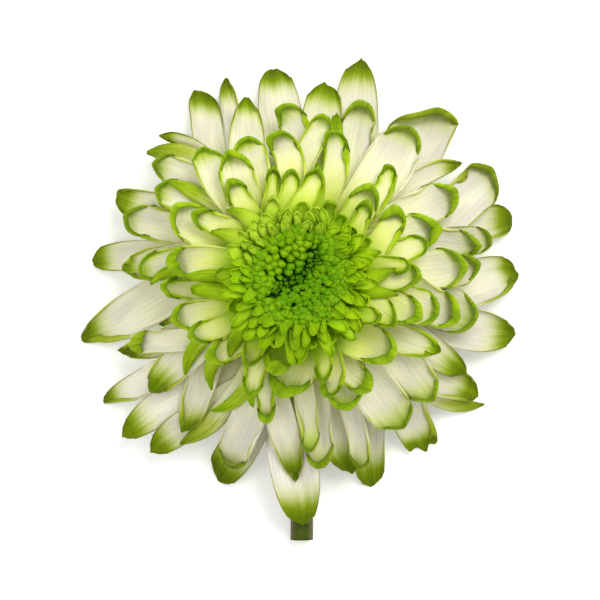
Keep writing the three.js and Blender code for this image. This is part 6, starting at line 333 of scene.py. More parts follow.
    ("under_1", "O", 4.59, -1.82, 17, 8.66, -9.99, 19.15, 12.86, -19.89, 14.81, 15.89, -29.14, 9.46, 11.19, 22.55, 22, 10, 10, 27.17, 3, 1.02, 0.66, 2.4, 0.62, 0.45, 0.32, 50, 54.58, 0.7, 0.77, 0.15, 0.08, 0),
    ("under_1", "O", 9.21, 6, 17, 17.43, 5.03, 19.09, 27.03, 3.27, 14.68, 35.54, 0.92, 9.27, 10.14, 19.04, 22, 10, 10, 27.77, 3.25, 0.68, 0.66, 2.4, 0.62, 0.45, 0.32, 50, 46.67, 0.7, 0.52, 0.15, 0.07, 0),
    ("under_1", "O", -8.58, 1.72, 17, -16.37, -3.39, 18.96, -25.16, -9.97, 14.42, -32.59, -16.55, 8.87, 9.85, 24.88, 22, 10, 10, 31.18, 2.6, 0.9, 0.66, 2.4, 0.62, 0.45, 0.32, 50, 39.53, 0.7, 0.71, 0.15, 0, 0),
    ("under_1", "O", -2.97, 15.45, 17, -5.88, 23.22, 19.07, -9.83, 32.16, 14.64, -14.03, 39.94, 9.21, 9.62, 23.86, 22, 10, 10, 25.76, 3.08, 0.76, 0.66, 2.4, 0.62, 0.45, 0.32, 50, 48.81, 0.7, 0.82, 0.15, -0.09, 0),
    ("under_1", "O", -6.83, -0.54, 17, -13.34, -7.17, 19.04, -21.1, -14.88, 14.57, -28.21, -21.69, 9.11, 11.88, 21.31, 22, 10, 10, 29.96, 3, 0.58, 0.66, 2.4, 0.62, 0.45, 0.32, 50, 52.09, 0.7, 0.64, 0.15, -0.08, 0),
    ("under_1", "O", 2.5, -2.74, 17, 5.74, -11.39, 18.81, 10.07, -21.37, 14.13, 14.59, -30.09, 8.44, 9.51, 25.17, 22, 10, 10, 31.19, 3.49, 0.96, 0.66, 2.4, 0.62, 0.45, 0.32, 50, 53.12, 0.7, 0.8, 0.15, 0.08, 0),
    ("under_1", "O", -5.1, 14.53, 17, -9.76, 22.12, 18.86, -15.39, 30.97, 14.22, -20.62, 38.82, 8.58, 9.93, 21.75, 22, 10, 10, 32.85, 3.44, 0.92, 0.66, 2.4, 0.62, 0.45, 0.32, 50, 44.26, 0.7, 0.88, 0.15, 0.05, 0),
]


def rng(seed):
    return np.random.RandomState(seed)


def smooth(a, b, x):
    t = np.clip((np.asarray(x, float) - a) / (b - a), 0, 1)
    return t * t * (3 - 2 * t)


def unit(v):
    v = np.asarray(v, float)
    return v / np.maximum(np.linalg.norm(v, axis=-1, keepdims=True), 1e-9)


def grid_normals(S):
    du = np.empty_like(S)
    du[1:-1] = S[2:] - S[:-2]
    du[0] = S[1] - S[0]
    du[-1] = S[-1] - S[-2]
    dv = np.empty_like(S)
    dv[:, 1:-1] = S[:, 2:] - S[:, :-2]
    dv[:, 0] = S[:, 1] - S[:, 0]
    dv[:, -1] = S[:, -1] - S[:, -2]
    return unit(np.cross(du, dv))


def shell(S, half, extra, uvs, flip=False):
    """A closed body round the middle surface S (rows, columns, 3), with half thickness per point. extra: per grid point attributes."""
    R, C = S.shape[:2]
    N = grid_normals(S)
    top = (S + N * half[..., None]).reshape(-1, 3)
    low = (S - N * half[..., None]).reshape(-1, 3)
    V = np.vstack([top, low])
    F = []
    o = R * C
    for i in range(R - 1):
        for j in range(C - 1):
            a, b, c, d = i * C + j, (i + 1) * C + j, (i + 1) * C + j + 1, i * C + j + 1
            F.append((a, b, c, d))
            F.append((o + a, o + d, o + c, o + b))
    for i in range(R - 1):
        a, b = i * C, (i + 1) * C
        F.append((o + a, o + b, b, a))
        a, b = i * C + C - 1, (i + 1) * C + C - 1
        F.append((a, b, o + b, o + a))
    for j in range(C - 1):
        F.append((j, j + 1, o + j + 1, o + j))
        a = (R - 1) * C + j
        F.append((o + a, o + a + 1, a + 1, a))
    A = {k: np.concatenate([x.ravel(), x.ravel()]) for k, x in extra.items()}
    A["side"] = np.concatenate([np.full(o, 1.0 if flip else 0.0), np.full(o, 0.0 if flip else 1.0)])
    A["rad"] = np.hypot(V[:, 0] - AXIS[0], V[:, 1] - AXIS[1])
    # the green heart isn't round: towards the top and the upper left it is painted paler, as light, and at the foot
    # greener and darker, as shade
    way = np.degrees(np.arctan2(V[:, 1] - AXIS[1], V[:, 0] - AXIS[0])) % 360
    shift = np.interp(way, [0, 45, 75, 100, 135, 160, 185, 230, 270, 315, 360], [-0.3, 0.0, 0.0, 0.0, 0.0, 0.0, -1.0, -2.0, -3.0, -0.6, -0.3])
    A["light_tilt"] = np.interp(way, [0, 45, 75, 100, 135, 160, 185, 230, 270, 315, 360], [-0.1, 0.1, 0.7, 1.0, 1.0, 0.5, -0.2, -0.6, -1.0, -0.2, -0.1]) * (1 - smooth(19.0, 27.0, A["rad"]))
    A["rad"] = A["rad"] + shift * (1 - smooth(24.0, 32.0, A["rad"])) * smooth(4.0, 10.0, A["rad"])
    uv = np.vstack([uvs.reshape(-1, 2), uvs.reshape(-1, 2) * np.array([1.0, -1.0]) + np.array([0.0, 1.0])])
    return V, F, A, uv


# ------------------------------------------------------------------ petals
FINE = 72
FINE_A = (np.arange(FINE) + 0.5) / FINE


def half_section(cup, roll, lip, a_lip, at):
    """Half of a unit-wide cross-section: across and up at the arc positions at (0 the midrib, 1 the rim)."""
    ph = cup * FINE_A + roll * np.maximum(0.0, (FINE_A - 0.55) / 0.45) ** 1.2 + lip * smooth(a_lip, 0.5 + 0.5 * a_lip, FINE_A)
    y = np.r_[0, np.cumsum(0.5 / FINE * np.cos(ph))]
    z = np.r_[0, np.cumsum(0.5 / FINE * np.sin(ph))]
    k = at * FINE
    return np.interp(k, np.arange(FINE + 1), y), np.interp(k, np.arange(FINE + 1), z)


def petal(row, index, nmain=26, ncurl=14, inner_cols=8, lip_cols=5):
    """row: name, kind, then the numbers listed over the table. Returns the petal's middle surface and its attributes.

    The rim is folded in along both sides, and the tip curls in along a rounded line: the columns at the sides start to
    curl before the one in the middle, so that the folded cap is a crescent.
    """
    kind, x = row[1], row[2:]
    P = [np.array(x[3 * i : 3 * i + 3], float) for i in range(4)]
    W, cup, tipcup, rl, rr, curl, rc, ext, um, pw, qw, fb, tipw, lip_l, lip_r, wide_l, wide_r, bow, slant, teeth = x[12:]
    cup, tipcup, rl, rr, curl, lip_l, lip_r = (math.radians(v) for v in (cup, tipcup, rl, rr, curl, lip_l, lip_r))
    strap = kind == "N"
    rnd = rng(100 + index)
    t = np.linspace(0, 1, 161)[:, None]
    C = (1 - t) ** 3 * P[0] + 3 * t * (1 - t) ** 2 * P[1] + 3 * t * t * (1 - t) * P[2] + t**3 * P[3]
    T = unit(3 * (1 - t) ** 2 * (P[1] - P[0]) + 6 * t * (1 - t) * (P[2] - P[1]) + 3 * t * t * (P[3] - P[2]))
    run_c = np.r_[0, np.cumsum(np.linalg.norm(np.diff(C, axis=0), axis=1))]
    main = run_c[-1]
    arc = rc * curl
    total = arc + ext
    L = main + total
    R = nmain + ncurl + 1
    cols = 2 * (inner_cols + lip_cols) + 1
    S = np.zeros((R, cols, 3))
    V = np.zeros((R, cols))
    w_all = np.zeros((R, cols))
    RUN = np.zeros((R, cols))
    CREST = np.zeros((R, cols))
    ph = rnd.uniform(0, 6.28, 8)
    fr = rnd.uniform(1.2, 2.8, 8)
    tw = rnd.uniform(-0.12, 0.12)
    hooded = curl > 1.9

    def width(u):
        q = np.clip((u - um) / (1 - um), 0, 1)
        grow = fb + (1 - fb) * np.sin(math.pi / 2 * np.clip(u / um, 0, 1)) ** 0.95
        return W * np.where(u <= um, grow, tipw + (1 - tipw) * (1 - q**pw) ** qw)

    wf = float(width(main / L))
    back = min(bow * wf, 0.45 * main)
    point = rnd.uniform(0.0, 0.30)
    asym = rnd.uniform(-0.55, 0.55)
    rag = rnd.uniform(0, 6.28, 3)
    lean = slant * wf
    for i in range(R):
        u0 = min(i / nmain, 1.0) * main / L if i <= nmain else (main + (i - nmain) / ncurl * total) / L
        claw = 1 - float(smooth(0, 0.35, u0))
        cp = cup * (1 - claw) + 0.9 * claw
        cp = cp + (tipcup - cup) * float(smooth(um, 1.0, u0))
        am = float(smooth(0.22, 0.5, u0) * (1 - 0.35 * smooth(0.9, 1.0, u0)))
        w0 = float(width(u0))
        grow = float(smooth(0.40, 0.82, u0))
        uf = main / L
        fade = 1 - float(smooth(uf - 0.10, uf + 0.06, u0)) * (0.80 if hooded else 0.30)
        widen = 0.25 + 0.80 * float(smooth(0.45, 0.92, u0))
        halves = []
        for side, (roll, lip, lw) in enumerate(((rl, lip_l, wide_l), (rr, lip_r, wide_r))):
            noise = 1 + 0.22 * math.sin(6.28 * fr[side] * u0 + ph[side]) + 0.10 * math.sin(6.28 * 3.1 * fr[side] * u0 + ph[side + 2])
            al = 1 - min(0.62, max(0.08, lw * widen * noise / (w0 / 2)))
            at = np.r_[np.linspace(0, 1, inner_cols + 1) * al, al + (1 - al) * np.linspace(0, 1, lip_cols + 1)[1:]]
            y, z = half_section(cp, roll * am, lip * grow * fade * (0.85 + 0.15 * noise), al, at)
            halves.append((at, y, z))
        at_l, yl, zl = halves[0]
        at_r, yr, zr = halves[1]
        y = np.r_[-yr[::-1], yl[1:]]
        z = np.r_[zr[::-1], zl[1:]]
        v = np.r_[-at_r[::-1], at_l[1:]]
        V[i] = v
        if strap:
            z = -z
        # where each column starts to curl, and how far along it this row is
        bend = (1 - point) * (1 - np.sqrt(np.clip(1 - 0.94 * v * v, 0, 1))) / (1 - math.sqrt(0.06)) + point * np.abs(v) ** 1.7
        start = main - back * (1 + 0.3 * point) * bend + lean * v + 0.022 * wf * np.sin(6 * v + rag[0])
        start = np.minimum(start, main * 1.06)
        cap = (1 - 0.60 * np.abs(v) ** 1.6) * (1 + asym * v + 0.14 * np.sin(4 * v + rag[1]) + 0.06 * np.sin(10 * v + rag[2]))
        rcv = rc * (1 + 0.30 * asym * v) * (1 - 0.30 * v * v)
        if i <= nmain:
            run = start * (i / nmain)
        else:
            run = start + (i - nmain) / ncurl * (rcv * curl + ext * cap)
        w = width(run / L)
        w_all[i] = w
        CREST[i] = (np.where(v > 0, halves[0][0][inner_cols], halves[1][0][inner_cols]) - np.abs(v)) * w / 2
        RUN[i] = run
        flat = np.minimum(run, start)
        a = np.clip((run - start) / rcv, 0, curl)
        over = np.maximum(0.0, run - start - rcv * curl)
        m = np.minimum(flat, main)
        c = np.stack([np.interp(m, run_c, C[:, d]) for d in range(3)], -1)
        tt = unit(np.stack([np.interp(m, run_c, T[:, d]) for d in range(3)], -1))
        c = c + tt * np.maximum(0.0, flat - main)[:, None]
        n = unit(np.stack([-tt[:, 1], tt[:, 0], np.zeros(cols)], -1))
        b = np.cross(tt, n)
        ta = np.cos(a)[:, None] * tt + np.sin(a)[:, None] * b
        ba = -np.sin(a)[:, None] * tt + np.cos(a)[:, None] * b
        c = c + rcv[:, None] * (np.sin(a)[:, None] * tt + (1 - np.cos(a))[:, None] * b) + over[:, None] * ta
        # inside the curl the section stays lower than the curl's own radius
        if total > 0.5 and curl > 0.9:
            top = w0 * float(np.max(np.abs(z)))
            k = min(1.0, 0.80 * rc / max(top, 1e-6))
            z = z * (1 - (1 - k) * smooth(-0.10 * L, 0.02 * L, run - start))
        groove = 0.06 * np.cos(v * math.pi * 4.0 + ph[4]) * float(smooth(0.12, 0.45, u0) * (1 - smooth(0.85, 1.0, u0))) * min(1.0, W / 8.0)
        wave = 0.022 * W * np.abs(v) ** 2.2 * np.where(v > 0, math.sin(6.28 * fr[5] * u0 + ph[5]), math.sin(6.28 * fr[6] * u0 + ph[6])) * float(smooth(0.2, 0.6, u0))
        tws = tw * float(smooth(0.3, 1.0, u0))
        n2 = math.cos(tws) * n + math.sin(tws) * ba
        b2 = -math.sin(tws) * n + math.cos(tws) * ba
        S[i] = c + (w * y)[:, None] * n2 + (w * z + groove + wave)[:, None] * b2
        if teeth:
            k = float(smooth(0.90, 1.0, u0))
            S[i] += (0.05 * W * k * (np.cos(v * math.pi * teeth + 0.6 * ph[7]) - 0.5) * np.clip(w / W / 0.35, 0, 1))[:, None] * ta
    one = np.ones((R, cols))
    ends = RUN[-1][None, :]
    half = np.full((R, cols), THICK / 2)
    half *= 1 - 0.60 * np.abs(V) ** 4
    half *= 1 - 0.45 * smooth(0.9, 1.0, RUN / L)
    half *= 1 + 0.5 * (1 - smooth(0.0, 0.3, RUN / L))
    rtip = math.hypot(P[3][0] - AXIS[0], P[3][1] - AXIS[1])
    tipd = ends - RUN
    rise = math.asin(float(np.clip(T[-1][2], -1, 1)))
    extra = {
        "tipd": tipd,
        "edged": np.minimum(w_all / 2 * (1 - np.abs(V)), tipd + 0.1),
        "crest": np.maximum(CREST, 0.0),
        "inn": min(1.0, max(0.0, (58 - rtip) / 40)) * one,
        "acr": V,
        "alo": RUN / L,
        "seed": (index * 0.137 % 1.0) * one,
        "tint": (rnd.uniform(-0.6, 1.0) + 0.7 * max(0.0, -unit(P[3] - P[0])[1])) * one,
        "strap": (1.0 if strap or max(wide_l, wide_r) >= 1.5 else 0.0) * one,
        "cap": (total - rc * max(0.0, math.pi / 2 - rise)) * one if hooded else 0.0 * one,
    }
    uvs = np.stack([V * 0.5 + 0.5, RUN / L], -1)
    return {"S": S, "half": half, "extra": extra, "uv": uvs, "flip": strap}


CELL = 0.3
MAP_X, MAP_Y = -70.0, -75.0
MAP_N = 480


def cells(x, y):
    i = np.clip(((x - MAP_X) / CELL).astype(int), 1, MAP_N - 2)
    j = np.clip(((y - MAP_Y) / CELL).astype(int), 1, MAP_N - 2)
    return i, j


def dense(G, n=3):
    """The grid's values at n steps between its points, both ways."""
    R, C = G.shape
    r = np.linspace(0, R - 1, (R - 1) * n + 1)
    c = np.linspace(0, C - 1, (C - 1) * n + 1)
    i = np.minimum(r.astype(int), R - 2)
    j = np.minimum(c.astype(int), C - 2)
    fr, fc = (r - i)[:, None], (c - j)[None, :]
    return (G[i][:, j] * (1 - fr) * (1 - fc) + G[i + 1][:, j] * fr * (1 - fc) + G[i][:, j + 1] * (1 - fr) * fc + G[i + 1][:, j + 1] * fr * fc)


def roof_map(profile):
    """The height that nothing below may pass, as a map; it starts as the underside of the eye."""
    x = MAP_X + (np.arange(MAP_N) + 0.5) * CELL
    rr = np.hypot(x[:, None] - AXIS[0], x[None, :] + (MAP_Y - MAP_X) - AXIS[1])
    roof = np.full((MAP_N, MAP_N), 1e3)
    inside = rr < profile[-1][0]
    roof[inside] = np.interp(rr[inside], [p[0] for p in profile], [p[1] for p in profile])
    return roof


def settle(body, roof, gap=0.30, rounds=4):
    """Press a petal down under the ones that lie over it, then add it to the roof."""
    S, half = body["S"], body["half"]
    i, j = cells(S[..., 0], S[..., 1])
    over = np.minimum.reduce([roof[i + a, j + b] for a in (-1, 0, 1) for b in (-1, 0, 1)])
    need = np.minimum(0.0, over - gap - half - S[..., 2])
    drop = need.copy()
    for _ in range(rounds):
        soft = drop.copy()
        soft[1:-1] = (drop[:-2] + drop[1:-1] + drop[2:]) / 3
        soft[:, 1:-1] = (soft[:, :-2] + soft[:, 1:-1] + soft[:, 2:]) / 3
        drop = np.minimum(soft, need)
    S[..., 2] = np.maximum(S[..., 2] + drop, half + 0.02)
    X, Y, Z = dense(S[..., 0]), dense(S[..., 1]), dense(S[..., 2] - half)
    i, j = cells(X, Y)
    np.minimum.at(roof, (i.ravel(), j.ravel()), Z.ravel())
    return float(-drop.min())


# ------------------------------------------------------------------ camera
cam_data = bpy.data.cameras.new("camera")
cam = bpy.data.objects.new("camera", cam_data)
bpy.context.scene.collection.objects.link(cam)
cam_data.sensor_width = 36.0
cam_data.lens = 200.0
cam_data.clip_end = 20.0
cam.location = (SHIFT[0] * 1e-3, SHIFT[1] * 1e-3, 0.9315)
cam.rotation_euler = (0.0, 0.0, 0.0)
bpy.context.scene.camera = cam


# ------------------------------------------------------------------ node helpers
class Graph:
    """A small helper to write a material's node graph as expressions."""

    def __init__(self, name):
        self.mat = bpy.data.materials.new(name)
        self.mat.use_nodes = True
        self.nt = self.mat.node_tree
        self.nt.nodes.clear()
        self.out = self.nt.nodes.new("ShaderNodeOutputMaterial")
        self.bsdf = self.nt.nodes.new("ShaderNodeBsdfPrincipled")
        self.nt.links.new(self.bsdf.outputs[0], self.out.inputs["Surface"])

    def put(self, socket, value):
        if isinstance(value, bpy.types.NodeSocket):
            self.nt.links.new(value, socket)
        else:
            socket.default_value = value

    def attr(self, name):
        n = self.nt.nodes.new("ShaderNodeAttribute")
        n.attribute_type = "GEOMETRY"
        n.attribute_name = name
        return n.outputs["Fac"]

    def math(self, op, a, b=None, c=None, clamp=False):
        n = self.nt.nodes.new("ShaderNodeMath")
        n.operation = op
        n.use_clamp = clamp
        for i, v in enumerate((a, b, c)):
            if v is not None:
                self.put(n.inputs[i], v)
        return n.outputs[0]

    def add(self, a, b):
        return self.math("ADD", a, b)

    def sub(self, a, b):
        return self.math("SUBTRACT", a, b)

    def mul(self, a, b):
        return self.math("MULTIPLY", a, b)

    def div(self, a, b):
        return self.math("DIVIDE", a, b)

    def max(self, a, b):
        return self.math("MAXIMUM", a, b)

    def min(self, a, b):
        return self.math("MINIMUM", a, b)

    def sat(self, a):
        return self.math("ADD", a, 0.0, clamp=True)

    def inv(self, a):
        return self.math("SUBTRACT", 1.0, a)

    def falloff(self, a, scale):
        """exp(-a / scale)"""
        return self.math("EXPONENT", self.mul(a, -1.0 / scale))

    def ramp01(self, a, lo, hi):
        n = self.nt.nodes.new("ShaderNodeMapRange")
        n.interpolation_type = "SMOOTHSTEP"
        self.put(n.inputs["Value"], a)
        n.inputs["From Min"].default_value = lo
        n.inputs["From Max"].default_value = hi
        return n.outputs["Result"]

    def vec(self, x, y, z):
        n = self.nt.nodes.new("ShaderNodeCombineXYZ")
        for i, v in enumerate((x, y, z)):
            self.put(n.inputs[i], v)
        return n.outputs[0]

    def noise(self, vector, scale, detail=2.0, rough=0.5):
        n = self.nt.nodes.new("ShaderNodeTexNoise")
        self.put(n.inputs["Vector"], vector)
        n.inputs["Scale"].default_value = scale
        n.inputs["Detail"].default_value = detail
        n.inputs["Roughness"].default_value = rough
        return n.outputs["Fac"]

    def voronoi(self, vector, scale):
        n = self.nt.nodes.new("ShaderNodeTexVoronoi")
        self.put(n.inputs["Vector"], vector)
        n.inputs["Scale"].default_value = scale
        return n.outputs["Distance"]

    def object_xyz(self):
        return self.nt.nodes.new("ShaderNodeTexCoord").outputs["Object"]

    def mix(self, f, a, b):
        n = self.nt.nodes.new("ShaderNodeMix")
        n.data_type = "RGBA"
        n.clamp_factor = True
        self.put(n.inputs["Factor"], f)
        sa = [s for s in n.inputs if s.name == "A" and s.type == "RGBA"][0]
        sb = [s for s in n.inputs if s.name == "B" and s.type == "RGBA"][0]
        self.put(sa, a)
        self.put(sb, b)
        return [s for s in n.outputs if s.type == "RGBA"][0]

    def ramp(self, f, stops):
        n = self.nt.nodes.new("ShaderNodeValToRGB")
        self.put(n.inputs[0], f)
        cr = n.color_ramp
        cr.interpolation = "LINEAR"
        while len(cr.elements) > 1:
            cr.elements.remove(cr.elements[-1])
        for i, (p, c) in enumerate(stops):
            e = cr.elements[0] if i == 0 else cr.elements.new(p)
            e.position = p
            e.color = (*c, 1.0)
        return n.outputs[0]

    def bump(self, height, distance, strength=1.0):
        n = self.nt.nodes.new("ShaderNodeBump")
        self.put(n.inputs["Height"], height)
        n.inputs["Distance"].default_value = distance
        n.inputs["Strength"].default_value = strength
        self.nt.links.new(n.outputs[0], self.bsdf.inputs["Normal"])

    def finish(self, colour, rough, sss=0.0, radius=(0.002, 0.002, 0.001), spec=0.4, sheen=0.0):
        b = self.bsdf
        self.put(b.inputs["Base Color"], colour)
        self.put(b.inputs["Roughness"], rough)
        b.inputs["Specular IOR Level"].default_value = spec
        b.inputs["Subsurface Weight"].default_value = sss
        b.inputs["Subsurface Radius"].default_value = radius
        b.inputs["Subsurface Scale"].default_value = 1.0
        b.inputs["Sheen Weight"].default_value = sheen
        return self.mat


def c4(r, g, b):
    return (r, g, b, 1.0)


# ------------------------------------------------------------------ materials
def petal_material():
    """White petal with a green tip and rim; the back is green towards the tip and along the rim. Reads the petal's own
    coordinates: tipd, edged (mm to the tip and to the rim), side (0 front, 1 back), rad (mm from the bloom's axis)."""
    g = Graph("petal_skin")
    tipd, edged, side, rad = g.attr("tipd"), g.attr("edged"), g.attr("side"), g.attr("rad")
    crest = g.attr("crest")
    inn, acr, alo, seed, tint, cap = g.attr("inn"), g.attr("acr"), g.attr("alo"), g.attr("seed"), g.attr("tint"), g.attr("cap")
    s17 = g.mul(seed, 37.0)
    streak = g.noise(g.vec(g.mul(acr, 4.5), g.mul(alo, 1.4), s17), 1.0, 3.0, 0.55)
    fine = g.noise(g.vec(g.mul(acr, 15.0), g.mul(alo, 2.2), s17), 1.0, 2.0, 0.6)
    cloud = g.noise(g.vec(g.mul(acr, 1.2), g.mul(alo, 3.0), g.add(s17, 9.0)), 1.0, 2.0, 0.5)
    blob = g.noise(g.vec(g.mul(acr, 2.0), g.mul(alo, 9.0), g.add(s17, 4.0)), 1.0, 2.0, 0.5)
    folded = g.ramp01(cap, 0.1, 0.6)
    # front: the tip
    reach = g.add(g.add(g.add(8.6, g.mul(g.inv(g.ramp01(inn, 0.05, 0.50)), 3.2)), g.mul(tint, g.add(2.2, g.mul(g.inv(inn), 2.2)))), g.mul(inn, -2.6))
    t = g.div(g.max(g.sub(tipd, cap), 0.0), reach)
    young_ = g.ramp01(inn, 0.05, 0.50)
    old_ = g.inv(young_)
    flick = g.mul(g.sub(streak, 0.5), g.sub(0.55, g.mul(old_, 0.27)))
    tipg = g.math("POWER", g.sat(g.sub(g.add(1.02, flick), t)), 1.6)
    tipg = g.mul(tipg, g.sub(1.0, g.mul(folded, 0.42)))
    along = g.add(g.mul(g.ramp01(alo, 0.40, 0.95), young_), g.mul(g.ramp01(alo, 0.60, 1.0), old_))
    # front: the rim
    rimw = g.mul(g.add(0.16, g.mul(blob, 0.55)), g.sub(1.0, g.mul(old_, 0.42)))
    margin = g.mul(g.math("EXPONENT", g.mul(g.div(edged, rimw), -1.0)), g.add(0.18, g.mul(along, 0.62)))
    soft = g.mul(g.add(g.mul(g.falloff(crest, 0.9), 0.55), g.mul(g.falloff(crest, 2.8), 0.33)), g.mul(along, g.add(0.55, g.mul(blob, 0.75))))
    soft = g.mul(soft, g.sub(1.0, g.mul(old_, 0.55)))
    front = g.max(tipg, g.add(margin, soft))
    # back: green over the fold, along the rim and towards the tip
    reach_b = g.add(g.add(g.add(9.0, cap), g.mul(inn, 7.0)), g.mul(g.attr("strap"), 12.0))
    backt = g.sat(g.sub(g.add(1.02, g.mul(g.sub(streak, 0.5), 0.7)), g.div(tipd, reach_b)))
    backt = g.mul(backt, g.add(g.add(g.sub(0.72, g.mul(young_, 0.15)), g.mul(g.falloff(tipd, 0.7), 0.34)), g.add(g.mul(g.sub(blob, 0.5), 0.60), g.mul(g.sub(fine, 0.5), 0.40))))
    backe = g.mul(g.falloff(edged, 1.0), g.add(0.12, g.mul(along, 0.70)))
    back = g.max(g.add(g.mul(backt, 0.86), 0.06), backe)
    back = g.add(back, g.mul(inn, 0.12))
    green = g.sat(g.add(g.mul(front, g.inv(side)), g.mul(back, side)))
    near = g.inv(g.ramp01(rad, 17.0, 25.0))
    calm = g.add(0.30, g.mul(streak, 0.26))
    green = g.add(g.mul(green, g.inv(g.mul(near, 0.72))), g.mul(calm, g.mul(near, 0.72)))
    # ground colour, from the lime centre out to white
    place = g.div(g.add(g.sub(rad, 1.5), g.add(g.mul(tint, 2.6), g.mul(g.sub(cloud, 0.5), 5.0))), 60.0)
    ground = g.ramp(place, [(0.18, (0.15, 0.36, 0.001)), (0.25, (0.27, 0.50, 0.003)), (0.32, (0.54, 0.71, 0.055)), (0.38, (0.76, 0.85, 0.19)), (0.46, (0.87, 0.91, 0.36)), (0.57, (0.93, 0.93, 0.56)), (0.95, (0.90, 0.875, 0.77))])
    outer = g.ramp01(rad, 28.0, 48.0)
    # painted shade: grey-lavender clouds darken the outer petals
    ground = g.mix(g.mul(g.mul(g.ramp01(cloud, 0.32, 0.66), 0.58), outer), ground, c4(0.56, 0.52, 0.50))
    shade = g.mul(g.math("EXPONENT", g.mul(g.max(g.sub(tipd, cap), 0.0), -1.0 / 8.0)), g.add(0.16, g.mul(outer, 0.40)))
    ground = g.mix(shade, ground, c4(0.46, 0.46, 0.29))
    vein = g.math("ABSOLUTE", g.math("SINE", g.add(g.mul(acr, 15.0), g.mul(g.sub(streak, 0.5), 2.5))))
    vein = g.inv(g.ramp01(vein, 0.0, 0.42))
    ground = g.mix(g.mul(vein, 0.17), ground, c4(0.50, 0.50, 0.38))
    ground = g.mix(g.mul(g.ramp01(fine, 0.50, 0.80), 0.26), ground, c4(0.58, 0.56, 0.46))
    ground = g.mix(g.mul(g.ramp01(streak, 0.52, 0.74), 0.26), ground, c4(0.62, 0.62, 0.45))
    lime = g.ramp(green, [(0.0, (0.80, 0.86, 0.42)), (0.22, (0.58, 0.70, 0.10)), (0.45, (0.345, 0.52, 0.006)), (0.66, (0.185, 0.315, 0.001)), (0.84, (0.125, 0.235, 0.0005)), (1.0, (0.080, 0.165, 0.0005))])
    olive = g.ramp(green, [(0.0, (0.78, 0.80, 0.50)), (0.24, (0.54, 0.60, 0.14)), (0.46, (0.30, 0.385, 0.020)), (0.66, (0.165, 0.24, 0.003)), (0.84, (0.105, 0.165, 0.001)), (1.0, (0.065, 0.110, 0.001))])
    ramp = g.mix(g.ramp01(inn, 0.05, 0.45), olive, lime)
    cover = g.add(g.mul(g.ramp01(green, 0.04, 0.40), g.max(young_, side)), g.mul(g.ramp01(green, 0.0, 0.62), g.mul(old_, g.inv(side))))
    colour = g.mix(cover, ground, ramp)
    young = g.ramp(g.add(streak, g.mul(g.sub(tint, 0.2), 0.10)), [(0.30, (0.26, 0.52, 0.001)), (0.55, (0.42, 0.70, 0.002)), (0.75, (0.60, 0.82, 0.012))])
    young = g.mix(g.mul(g.inv(g.ramp01(rad, 13.0, 18.0)), 0.50), young, c4(0.15, 0.40, 0.001))
    colour = g.mix(g.mul(g.inv(g.ramp01(rad, 16.0, 23.0)), g.sub(0.88, g.mul(margin, 0.35))), colour, young)
    # painted light and shade on the green heart: paler lime towards the top and the upper left, darker green at the
    # foot
    light_tilt = g.attr("light_tilt")
    colour = g.mix(g.mul(g.mul(g.ramp01(light_tilt, 0.0, 1.0), 0.46), g.sub(1.0, g.mul(g.falloff(edged, 0.5), 0.6))), colour, c4(0.58, 0.74, 0.075))
    colour = g.mix(g.mul(g.ramp01(g.mul(light_tilt, -1.0), 0.0, 1.0), 0.50), colour, c4(0.150, 0.310, 0.001))
    hair = g.mul(g.sat(g.sub(1.0, g.mul(edged, g.sub(6.0, g.mul(old_, 1.8))))), g.add(g.add(0.25, g.mul(old_, 0.25)), g.mul(along, 0.40)))
    hair = g.mul(hair, g.inv(g.mul(near, 0.7)))
    colour = g.mix(hair, colour, g.mix(old_, c4(0.15, 0.16, 0.012), c4(0.19, 0.125, 0.045)))
    g.bump(g.add(g.add(g.mul(fine, 0.45), g.mul(streak, 0.35)), g.mul(vein, -0.25)), 0.00024, 0.8)
    return g.finish(colour, 0.55, sss=0.30, radius=(0.0016, 0.0018, 0.0006), spec=0.08)


def bud_material():
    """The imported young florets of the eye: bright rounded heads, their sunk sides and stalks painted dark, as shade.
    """
    g = Graph("young_floret_skin")
    h, rad, seed, warm_lit = g.attr("budh"), g.attr("rad"), g.attr("seed"), g.attr("warm_lit")
    xyz = g.object_xyz()
    grain = g.noise(xyz, 2400.0, 3.0, 0.6)
    blotch = g.noise(xyz, 300.0, 2.0, 0.5)
    # budh runs from the foot of a head (0) to its top (1): the low, sunk parts are painted dark, as shade
    cool = g.ramp(h, [(0.0, (0.007, 0.082, 0.002)), (0.35, (0.034, 0.150, 0.001)), (0.70, (0.075, 0.245, 0.001)), (1.0, (0.125, 0.335, 0.001))])
    hot = g.ramp(h, [(0.0, (0.011, 0.088, 0.002)), (0.35, (0.078, 0.200, 0.001)), (0.70, (0.165, 0.345, 0.001)), (1.0, (0.275, 0.475, 0.003))])
    # the brighter, yellower ramp: painted light on the upper-left side of the eye, with the heads' own warmer colour
    # near the rim
    base = g.mix(warm_lit, cool, hot)
    base = g.mix(g.mul(g.mul(g.ramp01(blotch, 0.42, 0.70), 0.30), g.ramp01(h, 0.2, 0.6)), base, c4(0.15, 0.37, 0.001))
    base = g.mix(g.mul(g.mul(g.ramp01(grain, 0.50, 0.78), 0.22), g.ramp01(h, 0.2, 0.6)), base, c4(0.30, 0.54, 0.004))
    g.bump(grain, 0.00016, 0.9)
    return g.finish(base, 0.55, sss=0.15, radius=(0.0008, 0.0012, 0.0002), spec=0.10)


